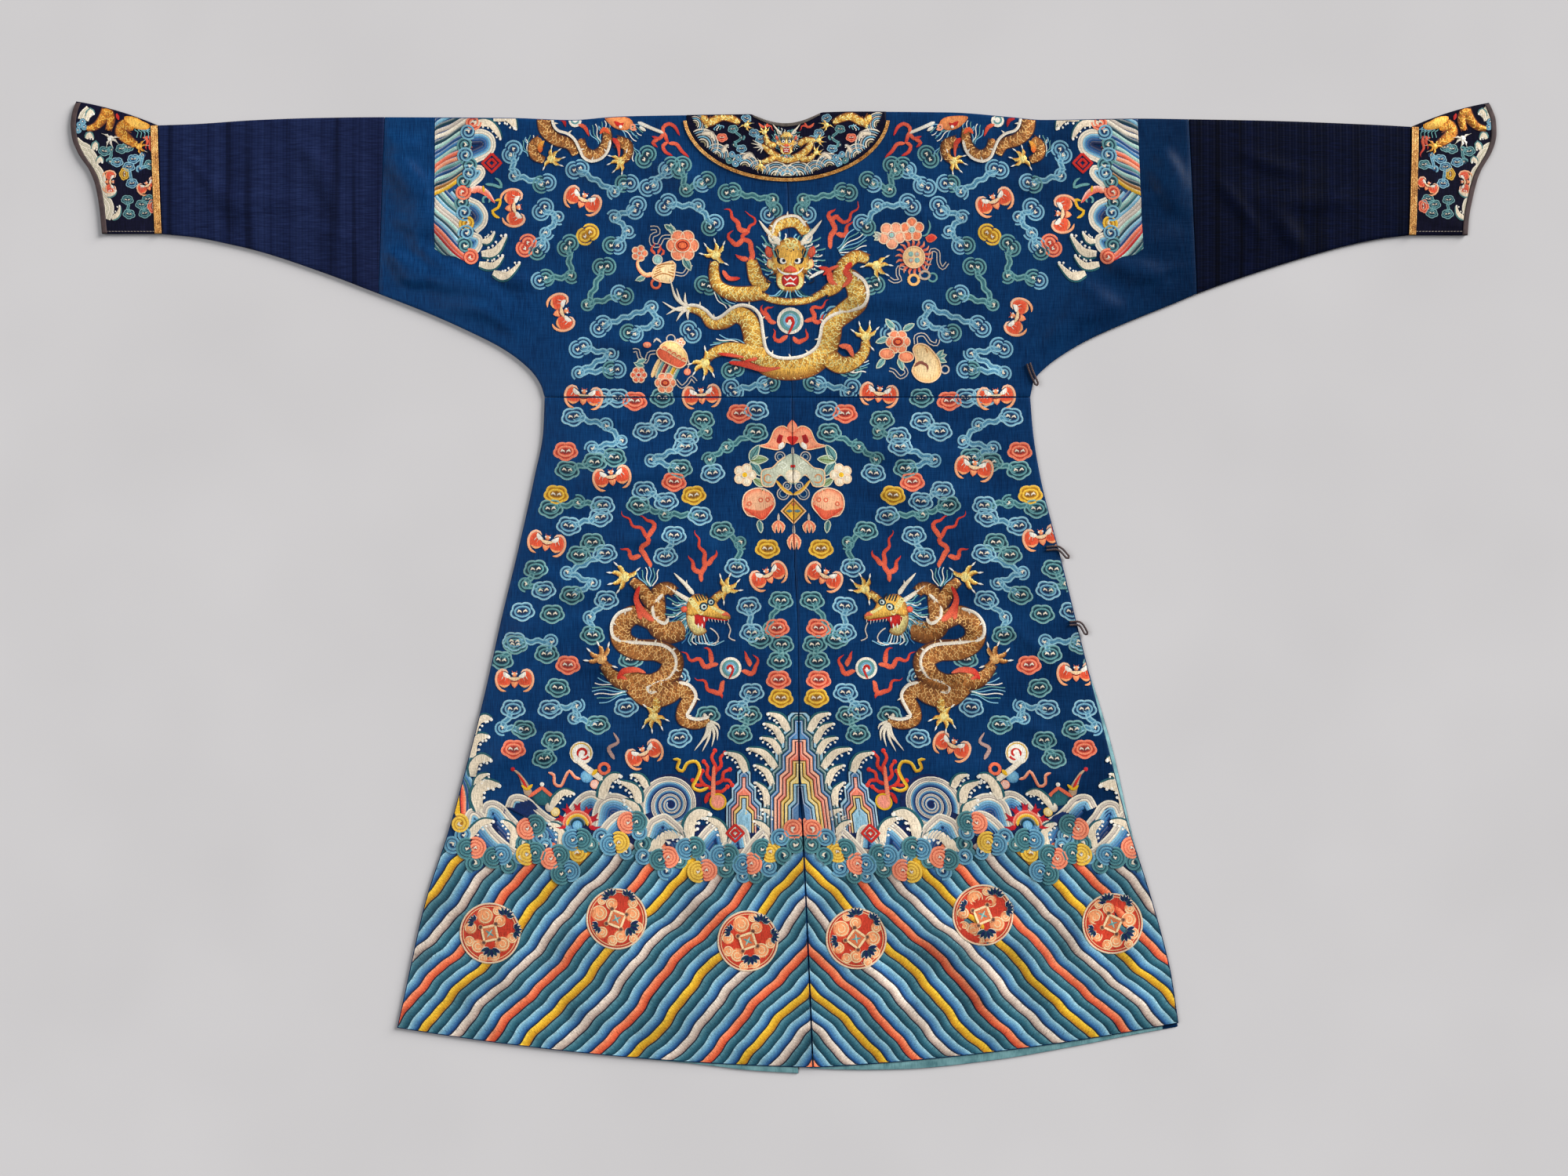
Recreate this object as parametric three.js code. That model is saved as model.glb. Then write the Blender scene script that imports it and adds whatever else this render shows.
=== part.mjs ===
// A court dragon robe of lined silk, laid flat on its front with its back up.
// Millimetres. +Z is up from the surface, +Y towards the neck, +X towards the wearer's right.
// The origin is the centre of the robe's outline, on the surface it lies on.
import * as THREE from "three";

// Thicknesses and gaps
const CLOTH = 1.4; // a lined silk panel
const LINING = 0.8; // the lining where it shows past the back
const BAND = 1.0; // bindings and the collar band
const PIPING = 1.8; // gold piping, at its middle
const LAYER_GAP = 0.3; // between layers that lie on each other
const SEAM = 0.4; // between panels sewn side by side
const UNDER = 0.8; // how far the front panels stay inside the back ones

// Main places
const WAIST_Y = 277; // the seam across the body, level with the armpits
const VENT = { top_y: -70, foot_y: -699, gap: 1.6 }; // the back is open below top_y, in the middle
const CENTRE_NECK = { x: 4, y: 690 };
const SLEEVE_SEAM = { left: { top: -581, bottom: -590 }, right: { top: 590, bottom: 602 } };
const CUFF_SEAM = { left: { top: -911, bottom: -905 }, right: { top: 914, bottom: 910 } };
const CUFF_BOTTOM = { left: 515, right: 513 };
const NECK = { half_width: 52, back_depth: 14, front_depth: 75 };
const COLLAR = { half_width: 146, back_depth: 94, front_depth: 158 };
const COLLAR_ENDS = 0.035; // share of the half turn left off at each end of the collar
const PIPING_WIDTH = 5;
const CUFF_BINDING_WIDTH = 7.5;
const NECK_BINDING_WIDTH = 5;

// How far the middle of an edge stands out past the straight line between its ends
const HEM_BOW = { left: 11, right: 9.5 };
const CUFF_TOP_BOW = 4;

const columns = (names, rows) =>
  rows.map((row) => Object.fromEntries(names.map((name, i) => [name, row[i]])));

// The folded shoulder line, from cuff to cuff, without the neck's dip
const SHOULDER = columns(["x", "y"], [
  [-911, 673], [-857, 675], [-765, 681], [-674, 684], [-586, 685], [-400, 684],
  [-308, 681], [-240, 686], [-137, 688], [4, 690], [103, 693], [240, 692],
  [332, 685], [378, 681], [518, 683], [590, 682], [698, 680], [858, 674], [914, 671],
]);
// The underarm seam from cuff to armpit
const LEFT_UNDERARM = columns(["x", "y"], [
  [-905, 515], [-857, 510], [-811, 501], [-765, 490], [-674, 460], [-590, 428],
  [-521, 401], [-458, 373], [-406, 346], [-370, 318], [-358, 303], [-351, 289], [-348, 277],
]);
const RIGHT_UNDERARM = columns(["x", "y"], [
  [359, 277], [361, 290], [366, 304], [379, 318], [396, 332], [442, 360],
  [502, 387], [569, 414], [602, 428], [692, 460], [783, 488], [829, 500], [875, 509], [910, 513],
]);
// The side edges of the back, from hem to waist seam
const LEFT_SIDE = columns(["y", "x"], [
  [-641, -563], [-596, -553], [-458, -522], [-354, -488], [-252, -460], [-149, -434],
  [-46, -411], [57, -386], [160, -363], [228, -350], [277, -348],
]);
const RIGHT_SIDE = columns(["y", "x"], [
  [-634, 575], [-561, 564], [-492, 547], [-424, 527], [-354, 504], [-286, 486], [-218, 469],
  [-149, 451], [-81, 434], [57, 400], [91, 391], [160, 374], [228, 363], [277, 359],
]);
// The middle of the back, from hem to neck
const BACK_MIDDLE = columns(["y", "x"], [
  [-699, 43], [-355, 28], [-268, 23], [-70, 21], [34, 16], [277, 12], [676, 4],
]);
const FRONT_MIDDLE = columns(["y", "x"], [
  [-708, 22], [-70, 14], [277, 10], [676, 5],
]);
// How far the right front shows past the back, beside the slit
const SIDE_SHOWING = columns(["y", "out"], [
  [-420, -0.8], [-340, 3], [-250, 6], [-170, 4], [-110, -0.8],
]);
// The front's hem, a little longer than the back's
const FRONT_HEM_LEFT = columns(["x", "y"], [
  [-562, -640], [-481, -654], [-326, -672], [-233, -684], [-122, -695], [-45, -704], [22, -708],
]);
const FRONT_HEM_RIGHT = columns(["x", "y"], [
  [23, -699], [43, -701], [115, -703], [173, -702], [304, -689], [427, -668], [508, -652], [574, -640],
]);
// The horse-hoof cuffs' outer edges
const LEFT_CUFF_EDGE = columns(["y", "x"], [
  [515, -992.5], [551, -996], [585, -1002], [606, -1010], [632, -1027], [655, -1036],
  [675, -1038], [690, -1036], [708, -1030],
]);
const RIGHT_CUFF_EDGE = columns(["y", "x"], [
  [513, 996], [538, 998], [565, 1003], [593, 1010], [606, 1015], [634, 1031],
  [648, 1036], [661, 1038], [680, 1037], [693, 1033], [706, 1027],
]);
// The overlap's upper edge, from the neck to the right armpit
const OVERLAP_EDGE = columns(["x", "y"], [
  [5, 532], [60, 520], [130, 468], [200, 395], [270, 340], [357, 300],
]);

// The main folds of the back: each runs from one point to another, bowed sideways
const FOLDS = columns(["x0", "y0", "x1", "y1", "bow", "width", "height"], [
  [172, -458, 332, -652, 12, 24, 8.5],
  [285, -470, 425, -628, 10, 22, 6.5],
  [-195, -424, -228, -640, -14, 36, 4],
  [-412, -400, -455, -618, 10, 38, 3.5],
  [-80, -420, -82, -660, 10, 34, 3],
  [115, -450, 150, -660, -8, 34, 3],
  [-455, -272, -320, -225, 6, 20, 5],
  [285, -276, 460, -288, 8, 20, 5],
  [-548, 475, -410, 438, -10, 20, 5.5],
  [-520, 402, -352, 392, 8, 20, 5.5],
  [-566, 652, -502, 505, -8, 22, 5],
  [378, 330, 482, 434, 8, 20, 5.5],
  [458, 478, 585, 515, 6, 20, 4.5],
  [640, 455, 790, 616, 6, 20, 4.5],
  [-800, 520, -742, 650, 6, 24, 3.5],
  [-662, 478, -604, 628, 8, 22, 3.5],
  [138, 430, 264, 454, -6, 20, 4],
  [-194, 628, -112, 560, 6, 20, 4],
  [-412, -58, -270, -46, -6, 20, 3.5],
  [262, 60, 372, -20, 8, 24, 3.5],
  [-330, 190, -180, 150, 8, 26, 3],
]);
// Stitched ribs of the sleeve extensions
const RIBS = { count: 24, height: 0.45, columns_each: 3 };

// Loops of doubled braid on the right side: where each is sewn down, bends and ends
const LOOPS = columns(["name", "x0", "y0", "x1", "y1", "x2", "y2", "clearance"], [
  ["loop_armpit", 356, 326, 361, 312, 368, 297, 0.7],
  ["loop_hip", 382, 57, 400, 57, 413, 45, 0.3],
  ["loop_side", 416, -52, 431, -53, 440, -66, 0.3],
]);
// The cord's radius, half the distance between its strands, and how far its free end droops
const LOOP = { cord_radius: 1.6, half_spread: 2.4, steps: 5, droop: 1.2, droops_from: 0.8 };

const clamp = (value, low, high) => Math.min(high, Math.max(low, value));
const mix = (a, b, t) => a + (b - a) * t;
const smooth = (t) => clamp(t, 0, 1) ** 2 * (3 - 2 * clamp(t, 0, 1));
const range = (count) => Array.from({ length: count + 1 }, (_, i) => i / count);

// A smooth curve through a table's rows, with no overshoot between them.
function curveThrough(rows, across, value) {
  const t = rows.map((row) => row[across]);
  const v = rows.map((row) => row[value]);
  const last = t.length - 1;
  const slope = t.slice(1).map((next, i) => (v[i + 1] - v[i]) / (next - t[i]));
  const tangent = v.map((_, i) => {
    const before = slope[Math.max(i - 1, 0)];
    const after = slope[Math.min(i, last - 1)];
    return before * after <= 0 ? 0 : (2 * before * after) / (before + after);
  });
  return (at) => {
    const c = clamp(at, t[0], t[last]);
    let i = 0;
    while (i < last - 1 && c > t[i + 1]) i++;
    const h = t[i + 1] - t[i];
    const s = (c - t[i]) / h;
    return v[i] * (1 + 2 * s) * (1 - s) ** 2 + h * tangent[i] * s * (1 - s) ** 2
      + v[i + 1] * s * s * (3 - 2 * s) + h * tangent[i + 1] * s * s * (s - 1);
  };
}

const shoulderAt = curveThrough(SHOULDER, "x", "y");
const underarmAt = {
  left: curveThrough(LEFT_UNDERARM, "x", "y"),
  right: curveThrough(RIGHT_UNDERARM, "x", "y"),
};
const sideAt = { left: curveThrough(LEFT_SIDE, "y", "x"), right: curveThrough(RIGHT_SIDE, "y", "x") };
const backMiddleAt = curveThrough(BACK_MIDDLE, "y", "x");
const frontMiddleAt = curveThrough(FRONT_MIDDLE, "y", "x");
const sideShowingAt = curveThrough(SIDE_SHOWING, "y", "out");
const frontHemAt = {
  left: curveThrough(FRONT_HEM_LEFT, "x", "y"),
  right: curveThrough(FRONT_HEM_RIGHT, "x", "y"),
};
const cuffEdgeAt = {
  left: curveThrough(LEFT_CUFF_EDGE, "y", "x"),
  right: curveThrough(RIGHT_CUFF_EDGE, "y", "x"),
};
const overlapEdgeAt = curveThrough(OVERLAP_EDGE, "x", "y");

// The back's top edge: the shoulder line with the neck's shallow dip.
function topAt(x) {
  const across = (x - CENTRE_NECK.x) / NECK.half_width;
  return shoulderAt(x) - NECK.back_depth * Math.max(0, 1 - across * across) ** 1.2;
}

// The back's hem between the side corner and the vent, bowed below its straight line.
function hemPoint(side, u) {
  const corner = side === "left" ? LEFT_SIDE[0] : RIGHT_SIDE[0];
  const middle = BACK_MIDDLE[0];
  const bow = HEM_BOW[side] * 4 * u * (1 - u);
  return [mix(corner.x, middle.x, u), mix(corner.y, middle.y, u) - bow];
}

// The cuff's top edge, from its tip (u = 0) to the sleeve seam (u = 1).
function cuffTopPoint(side, u) {
  const tip = (side === "left" ? LEFT_CUFF_EDGE : RIGHT_CUFF_EDGE).at(-1);
  const seam_x = CUFF_SEAM[side].top;
  return [mix(tip.x, seam_x, u), mix(tip.y, shoulderAt(seam_x), u) + CUFF_TOP_BOW * 4 * u * (1 - u)];
}

// The back's whole outline, clockwise from the left cuff's tip.
function backOutline() {
  const between = (low, high, count, point) => range(count).map((u) => point(mix(low, high, u)));
  const left = LEFT_CUFF_EDGE;
  const right = RIGHT_CUFF_EDGE;
  return [
    ...range(6).map((u) => cuffTopPoint("left", u)),
    ...between(CUFF_SEAM.left.top, CUFF_SEAM.right.top, 90, (x) => [x, topAt(x)]),
    ...range(6).map((u) => cuffTopPoint("right", 1 - u)),
    ...between(right.at(-1).y, right[0].y, 16, (y) => [cuffEdgeAt.right(y), y]),
    ...between(CUFF_SEAM.right.bottom, RIGHT_UNDERARM[0].x, 50, (x) => [x, underarmAt.right(x)]),
    ...between(WAIST_Y, RIGHT_SIDE[0].y, 36, (y) => [sideAt.right(y), y]),
    ...range(20).map((u) => hemPoint("right", u)),
    ...range(20).map((u) => hemPoint("left", 1 - u)),
    ...between(LEFT_SIDE[0].y, WAIST_Y, 36, (y) => [sideAt.left(y), y]),
    ...between(LEFT_UNDERARM.at(-1).x, CUFF_SEAM.left.bottom, 50, (x) => [x, underarmAt.left(x)]),
    ...between(left[0].y, left.at(-1).y, 16, (y) => [cuffEdgeAt.left(y), y]),
  ];
}
const OUTLINE = backOutline();

function distanceToOutline(x, y) {
  return OUTLINE.reduce((least, [x0, y0], i) => {
    const [x1, y1] = OUTLINE[(i + 1) % OUTLINE.length];
    const length2 = (x1 - x0) ** 2 + (y1 - y0) ** 2 || 1;
    const s = clamp(((x - x0) * (x1 - x0) + (y - y0) * (y1 - y0)) / length2, 0, 1);
    return Math.min(least, Math.hypot(x - mix(x0, x1, s), y - mix(y0, y1, s)));
  }, Infinity);
}

function foldHeight(x, y) {
  return FOLDS.reduce((sum, fold) => {
    const length = Math.hypot(fold.x1 - fold.x0, fold.y1 - fold.y0);
    const [ax, ay] = [(fold.x1 - fold.x0) / length, (fold.y1 - fold.y0) / length];
    const s = ((x - fold.x0) * ax + (y - fold.y0) * ay) / length;
    if (s <= 0 || s >= 1) return sum;
    const sideways = (y - fold.y0) * ax - (x - fold.x0) * ay - fold.bow * 4 * s * (1 - s);
    return sum + fold.height * Math.sin(Math.PI * s) * Math.exp(-((sideways / fold.width) ** 2));
  }, 0);
}

// Layers: the front lies on the surface, then its lining or the inner flap, then the back.
const LINING_Z = CLOTH + LAYER_GAP;
const FLAP_Z = CLOTH + LAYER_GAP;
const BACK_Z = LINING_Z + LINING + LAYER_GAP;
const FLAP_RISE = FLAP_Z + CLOTH + LAYER_GAP - BACK_Z + 0.1;
const FLAP_INSET = { hem: 34, side: 26, top: 24 };
const FLAP_SLOPE = 60; // the back rises to the flap over this distance
const LOFT = { height: 1.6, reach: 45 };
const FOLD_REACH = 32; // folds die away this near an edge

// How much the inner flap lifts the back: 1 over the flap and 0 well outside it.
function flapBlend(x, y) {
  const from_middle = smooth((x - frontMiddleAt(y) + FLAP_SLOPE / 2) / FLAP_SLOPE);
  const above = y - overlapEdgeAt(x);
  return from_middle * smooth(1 - above / FLAP_SLOPE);
}

// The underside and the upper side of the back's cloth.
function backBottom(x, y) {
  const edge = distanceToOutline(x, y);
  const near = 1 - Math.min(edge / LOFT.reach, 1);
  const rise = FLAP_RISE * flapBlend(x, y);
  return BACK_Z + rise + LOFT.height * (1 - near * near) + foldHeight(x, y) * smooth(edge / FOLD_REACH);
}
const backTop = (x, y) => backBottom(x, y) + CLOTH;

// A closed wall over a grid of [x, y] points, from bottom(x, y) up by thick(x, y, i, j).
function wall(grid, bottom, thick) {
  const rows = grid.length;
  const across = grid[0].length;
  const lower = [];
  const upper = [];
  grid.forEach((row, i) => row.forEach(([x, y], j) => {
    const z = bottom(x, y);
    lower.push(x, y, z);
    upper.push(x, y, z + (typeof thick === "function" ? thick(x, y, i, j) : thick));
  }));
  const at = (i, j) => i * across + j;
  const top = rows * across;
  const faces = [];
  const quad = (a, b, c, d) => faces.push([a, b, c], [a, c, d]);
  for (let i = 0; i < rows - 1; i++) {
    for (let j = 0; j < across - 1; j++) {
      quad(top + at(i, j), top + at(i, j + 1), top + at(i + 1, j + 1), top + at(i + 1, j));
      quad(at(i, j), at(i + 1, j), at(i + 1, j + 1), at(i, j + 1));
    }
  }
  const rim = [
    ...range(across - 1).slice(0, -1).map((_, j) => at(0, j)),
    ...range(rows - 1).slice(0, -1).map((_, i) => at(i, across - 1)),
    ...range(across - 1).slice(0, -1).map((_, j) => at(rows - 1, across - 1 - j)),
    ...range(rows - 1).slice(0, -1).map((_, i) => at(rows - 1 - i, 0)),
  ];
  rim.forEach((a, k) => {
    const b = rim[(k + 1) % rim.length];
    quad(a, b, top + b, top + a);
  });
  const [p, q, r] = [grid[0][0], grid[0][1], grid[1][0]];
  const turn = (q[0] - p[0]) * (r[1] - p[1]) - (q[1] - p[1]) * (r[0] - p[0]);
  const geometry = new THREE.BufferGeometry();
  geometry.setAttribute("position", new THREE.Float32BufferAttribute([...lower, ...upper], 3));
  geometry.setIndex(faces.flatMap(([a, b, c]) => (turn > 0 ? [a, b, c] : [a, c, b])));
  geometry.computeVertexNormals();
  return geometry;
}

// A flat plate of cloth, given its outline.
function plate(outline, z, thick) {
  const shape = new THREE.Shape(outline.map(([x, y]) => new THREE.Vector2(x, y)));
  return new THREE.ExtrudeGeometry(shape, { depth: thick, bevelEnabled: false }).translate(0, 0, z);
}

// Straight rows of points between two edges that have as many points as each other.
const ruled = (from, to, count) =>
  range(count).map((v) => from.map(([x, y], j) => [mix(x, to[j][0], v), mix(y, to[j][1], v)]));

// Points along a line of points, evenly spaced.
function evenly(points, count) {
  const reach = [0];
  points.slice(1).forEach(([x, y], i) => reach.push(reach[i] + Math.hypot(x - points[i][0], y - points[i][1])));
  return range(count).map((u) => {
    const want = u * reach.at(-1);
    const i = Math.min(reach.findLastIndex((r) => r <= want), points.length - 2);
    const s = clamp((want - reach[i]) / (reach[i + 1] - reach[i] || 1), 0, 1);
    return [mix(points[i][0], points[i + 1][0], s), mix(points[i][1], points[i + 1][1], s)];
  });
}

const line = (from, to, count, point) => range(count).map((u) => point(mix(from, to, u)));

// The upper back: half of the body with its cut-on upper sleeve.
function upperBackGrid(side) {
  const sign = side === "left" ? -1 : 1;
  const armpit = side === "left" ? LEFT_UNDERARM.at(-1) : RIGHT_UNDERARM[0];
  const seam = SLEEVE_SEAM[side];
  const middle = backMiddleAt(WAIST_Y) + (sign * SEAM) / 2;
  const waist = WAIST_Y + SEAM / 2;
  const sleeve_end = seam.bottom - (sign * SEAM) / 2;
  const over_armpit = armpit.x - sign * 20;
  const underarm = line(sleeve_end, armpit.x, 40, (x) => [x, underarmAt[side](x)]);
  underarm[underarm.length - 1] = [armpit.x, waist];
  const bottom = [...evenly(underarm, 11), ...line(armpit.x, middle, 11, (x) => [x, waist]).slice(1)];
  const top = [
    ...line(seam.top - (sign * SEAM) / 2, over_armpit, 11, (x) => [x, topAt(x)]),
    ...line(over_armpit, CENTRE_NECK.x + (sign * SEAM) / 2, 11, (x) => [x, topAt(x)]).slice(1),
  ];
  return ruled(top, bottom, 13);
}

// Half of the skirt, from the side to the middle, and down from the waist seam to the hem.
function skirtBackGrid(side) {
  const sign = side === "left" ? -1 : 1;
  const side_foot = side === "left" ? LEFT_SIDE[0].y : RIGHT_SIDE[0].y;
  const middle_foot = BACK_MIDDLE[0].y;
  const waist = WAIST_Y - SEAM / 2;
  return range(28).map((v) => {
    const side_y = mix(waist, side_foot, v);
    const middle_y = mix(waist, middle_foot, v);
    const opened = clamp((VENT.top_y - middle_y) / (VENT.top_y - VENT.foot_y), 0, 1);
    const middle_x = backMiddleAt(middle_y) + (sign * mix(SEAM, VENT.gap, opened)) / 2;
    return range(16).map((u) => {
      const bow = HEM_BOW[side] * 4 * u * (1 - u) * v * v;
      return [mix(sideAt[side](side_y), middle_x, u), mix(side_y, middle_y, u) - bow];
    });
  });
}

function sleeveEdges(side, count, inset) {
  const sign = side === "left" ? -1 : 1;
  const [outer, inner] = [CUFF_SEAM[side], SLEEVE_SEAM[side]];
  const ends = (key) => [outer[key] - (sign * SEAM) / 2, inner[key] + (sign * SEAM) / 2];
  const top = line(...ends("top"), count, (x) => [x, shoulderAt(x) - inset]);
  const bottom = line(...ends("bottom"), count, (x) => [x, underarmAt[side](x) + inset]);
  return { top, bottom };
}

// The cuff, from its shaped outer edge to the sleeve seam, in rows from top to bottom.
function cuffGrid(side, rows, across, inset = 0) {
  const sign = side === "left" ? -1 : 1;
  const tip = (side === "left" ? LEFT_CUFF_EDGE : RIGHT_CUFF_EDGE).at(-1);
  const seam = CUFF_SEAM[side];
  const foot = CUFF_BOTTOM[side] + inset;
  return range(rows).map((v) => {
    const outer_y = mix(tip.y - inset, foot, v);
    const outer_x = cuffEdgeAt[side](outer_y) - sign * inset;
    const inner_y = mix(shoulderAt(seam.top) - inset, foot, v);
    const inner_x = mix(seam.top, seam.bottom, v) + (sign * SEAM) / 2;
    return range(across).map((u) => {
      const bow = CUFF_TOP_BOW * 4 * u * (1 - u) * (1 - v) ** 2;
      return [mix(outer_x, inner_x, u), mix(outer_y, inner_y, u) + bow];
    });
  });
}

// A half ellipse below the neck's centre; u runs from its left end to its right end.
function neckArc(half_width, depth, u) {
  const angle = Math.PI * u;
  return [CENTRE_NECK.x - half_width * Math.cos(angle), CENTRE_NECK.y - depth * Math.sin(angle)];
}

// The half ellipse's part below the shoulder line, with its ends left off.
const collarSpan = (count) => range(count).map((u) => mix(COLLAR_ENDS, 1 - COLLAR_ENDS, u));

function collarBackGrid() {
  const outer = collarSpan(26).map((u) => neckArc(COLLAR.half_width, COLLAR.back_depth, u));
  const first = outer[0][0];
  const last = outer.at(-1)[0];
  const inner = line(first, last, 26, (x) => [x, topAt(x)]);
  return ruled(inner, outer, 5);
}

function arcStripGrid(half_width, depth, width, count) {
  return range(2).map((v) =>
    collarSpan(count).map((u) => neckArc(half_width + width * v, depth + width * v, u)));
}

const ridge = (height) => (x, y, i) => height * (i === 1 ? 1 : 0.45);

function neckBindingGrid() {
  const reach = NECK.half_width - 3;
  const edge = line(CENTRE_NECK.x - reach, CENTRE_NECK.x + reach, 16, (x) => [x, topAt(x) - 0.3]);
  const lower = edge.map(([x, y]) => {
    const across = (x - CENTRE_NECK.x) / NECK.half_width;
    return [x, y - NECK_BINDING_WIDTH * (1 - 0.5 * across * across)];
  });
  return ruled(edge, lower, 1);
}

// A band along the cuff's outer edge.
function cuffBindingGrid(side) {
  const sign = side === "left" ? -1 : 1;
  const rows = side === "left" ? LEFT_CUFF_EDGE : RIGHT_CUFF_EDGE;
  return line(rows[0].y + 0.4, rows.at(-1).y - 2.4, 16, (y) => {
    const x = cuffEdgeAt[side](y) - sign * 0.2;
    return [[x, y], [x - sign * CUFF_BINDING_WIDTH, y]];
  });
}

function cuffPipingGrid(side) {
  const sign = side === "left" ? -1 : 1;
  const seam = CUFF_SEAM[side];
  const top_y = shoulderAt(seam.top) - 0.6;
  return range(10).map((v) => {
    const x = mix(seam.top, seam.bottom, v) + sign * 0.4;
    const y = mix(top_y, CUFF_BOTTOM[side] + 0.4, v);
    return range(2).map((u) => [x + sign * PIPING_WIDTH * u, y]);
  });
}

// Outlines of the front's flat plates, which lie just inside the back's outline.
const RING = { first: 0.02, steps: 36 }; // the front collar's ends, and its straight pieces
const ringStep = (i) => mix(RING.first, 1 - RING.first, i / RING.steps);
const ringOuter = (from, to, gap = SEAM) =>
  line(from, to, Math.abs(to - from), (i) =>
    neckArc(COLLAR.half_width + gap, COLLAR.front_depth + gap, ringStep(i)));
const overlapEdge = (shift) =>
  line(OVERLAP_EDGE[0].x + SEAM / 2, OVERLAP_EDGE.at(-1).x, 24, (x) => [x, overlapEdgeAt(x) + shift]);

function frontSide(side, from_y, to_y, count) {
  return line(from_y, to_y, count, (y) => {
    const out = side === "right" ? Math.max(sideShowingAt(y), -UNDER) : 0;
    const x = sideAt[side](y) + (side === "left" ? UNDER : out);
    return [x, y];
  });
}

function frontUpperLeft() {
  const seam = SLEEVE_SEAM.left;
  const waist = WAIST_Y + SEAM / 2;
  const ring = ringOuter(0, RING.steps / 2);
  return [
    ...line(seam.top + SEAM / 2, ring[0][0], 12, (x) => [x, shoulderAt(x) - UNDER]),
    ...ring,
    [frontMiddleAt(waist) - SEAM / 2, waist],
    ...line(LEFT_UNDERARM.at(-1).x + UNDER, seam.bottom + SEAM / 2, 22, (x) => [x, underarmAt.left(x) + UNDER])
      .map(([x, y]) => [x, Math.max(y, waist)]),
  ];
}

function frontSkirtLeft() {
  const waist = WAIST_Y - SEAM / 2;
  const hem = FRONT_HEM_LEFT;
  return [
    ...frontSide("left", waist, hem[0].y + 1, 20),
    ...line(hem[0].x + UNDER, hem.at(-1).x - SEAM, 14, (x) => [x, frontHemAt.left(x)]),
    ...line(hem.at(-1).y, waist, 6, (y) => [frontMiddleAt(y) - SEAM / 2, y]).slice(1),
  ];
}

function frontOverlapUpper() {
  const waist = WAIST_Y + SEAM / 2;
  return [
    ...overlapEdge(-SEAM / 2),
    [RIGHT_UNDERARM[0].x - UNDER, waist],
    [frontMiddleAt(waist) + SEAM / 2, waist],
  ];
}

function frontOverlapSkirt() {
  const waist = WAIST_Y - SEAM / 2;
  const hem = FRONT_HEM_RIGHT;
  return [
    ...line(waist, hem[0].y, 6, (y) => [frontMiddleAt(y) + SEAM / 2, y]),
    ...line(hem[0].x + SEAM, hem.at(-1).x - UNDER, 16, (x) => [x, frontHemAt.right(x)]),
    ...frontSide("right", hem.at(-1).y + 1, waist, 30),
  ];
}

function frontShoulderRight() {
  const seam = SLEEVE_SEAM.right;
  const ring = ringOuter(RING.steps, RING.steps / 2 + 1);
  return [
    ...line(seam.top - SEAM / 2, ring[0][0], 12, (x) => [x, shoulderAt(x) - UNDER]),
    ...ring,
    ...overlapEdge(SEAM / 2).filter(([x]) => x > ring.at(-1)[0] + 4),
    ...line(RIGHT_UNDERARM[2].x + UNDER, seam.bottom - SEAM / 2, 18, (x) => [x, underarmAt.right(x) + UNDER]),
  ];
}

// The inner flap lies on the overlap, under the back.
function innerFlap() {
  const { hem, side, top } = FLAP_INSET;
  const foot = FRONT_HEM_RIGHT;
  return [
    ...line(OVERLAP_EDGE[0].x + SEAM, OVERLAP_EDGE.at(-1).x - side, 12, (x) => [x, overlapEdgeAt(x) - top]),
    ...line(WAIST_Y - top, foot.at(-1).y + hem, 14, (y) => [sideAt.right(y) - side, y]),
    ...line(foot.at(-1).x - side, foot[0].x + side, 12, (x) => [x, frontHemAt.right(x) + hem]).slice(1),
    ...line(foot[0].y + hem, OVERLAP_EDGE[0].y - 2 * top, 6, (y) => [frontMiddleAt(y) + side / 4, y]).slice(1),
  ];
}

function collarRing() {
  const inner = line(RING.first, 1 - RING.first, 20, (u) => neckArc(NECK.half_width, NECK.front_depth, u));
  return [...inner, ...ringOuter(RING.steps, 0, 0)];
}

// Strips of the front's lining that show past the back.
const LINING_WIDTH = 22;
const liningStrip = (edge, shift) => [...edge, ...edge.map(shift).reverse()];

function hemLining(side) {
  const rows = side === "left" ? FRONT_HEM_LEFT : FRONT_HEM_RIGHT;
  const from = side === "left" ? -230 : rows[0].x + 3;
  const to = side === "left" ? rows.at(-1).x - 1 : rows.at(-1).x - LINING_WIDTH;
  const edge = line(from, to, 14, (x) => [x, frontHemAt[side](x) + 0.5]);
  return liningStrip(edge, ([x, y]) => [x, y + LINING_WIDTH]);
}

function sideLining() {
  const edge = frontSide("right", SIDE_SHOWING.at(-1).y, SIDE_SHOWING[0].y, 16).map(([x, y]) => [x - 0.5, y]);
  return liningStrip(edge, ([x, y]) => [x - LINING_WIDTH * 0.7, y]);
}

// A loop of doubled braid: down one strand, round the tip and back up the other.
function loopRoute(loop) {
  const middle = new THREE.CatmullRomCurve3([
    new THREE.Vector3(loop.x0, loop.y0, 0),
    new THREE.Vector3(loop.x1, loop.y1, 0),
    new THREE.Vector3(loop.x2, loop.y2, 0),
  ]);
  const beside = (u, reach) => {
    const at = middle.getPoint(u);
    const along = middle.getTangent(u);
    return { x: at.x - along.y * reach, y: at.y + along.x * reach, u };
  };
  const end = middle.getPoint(1);
  const along = middle.getTangent(1);
  const tip = { x: end.x + along.x * LOOP.half_spread, y: end.y + along.y * LOOP.half_spread, u: 1 };
  const down = range(LOOP.steps).map((u) => beside(u, LOOP.half_spread));
  const up = range(LOOP.steps).map((u) => beside(1 - u, -LOOP.half_spread));
  return [...down, tip, ...up];
}

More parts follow.
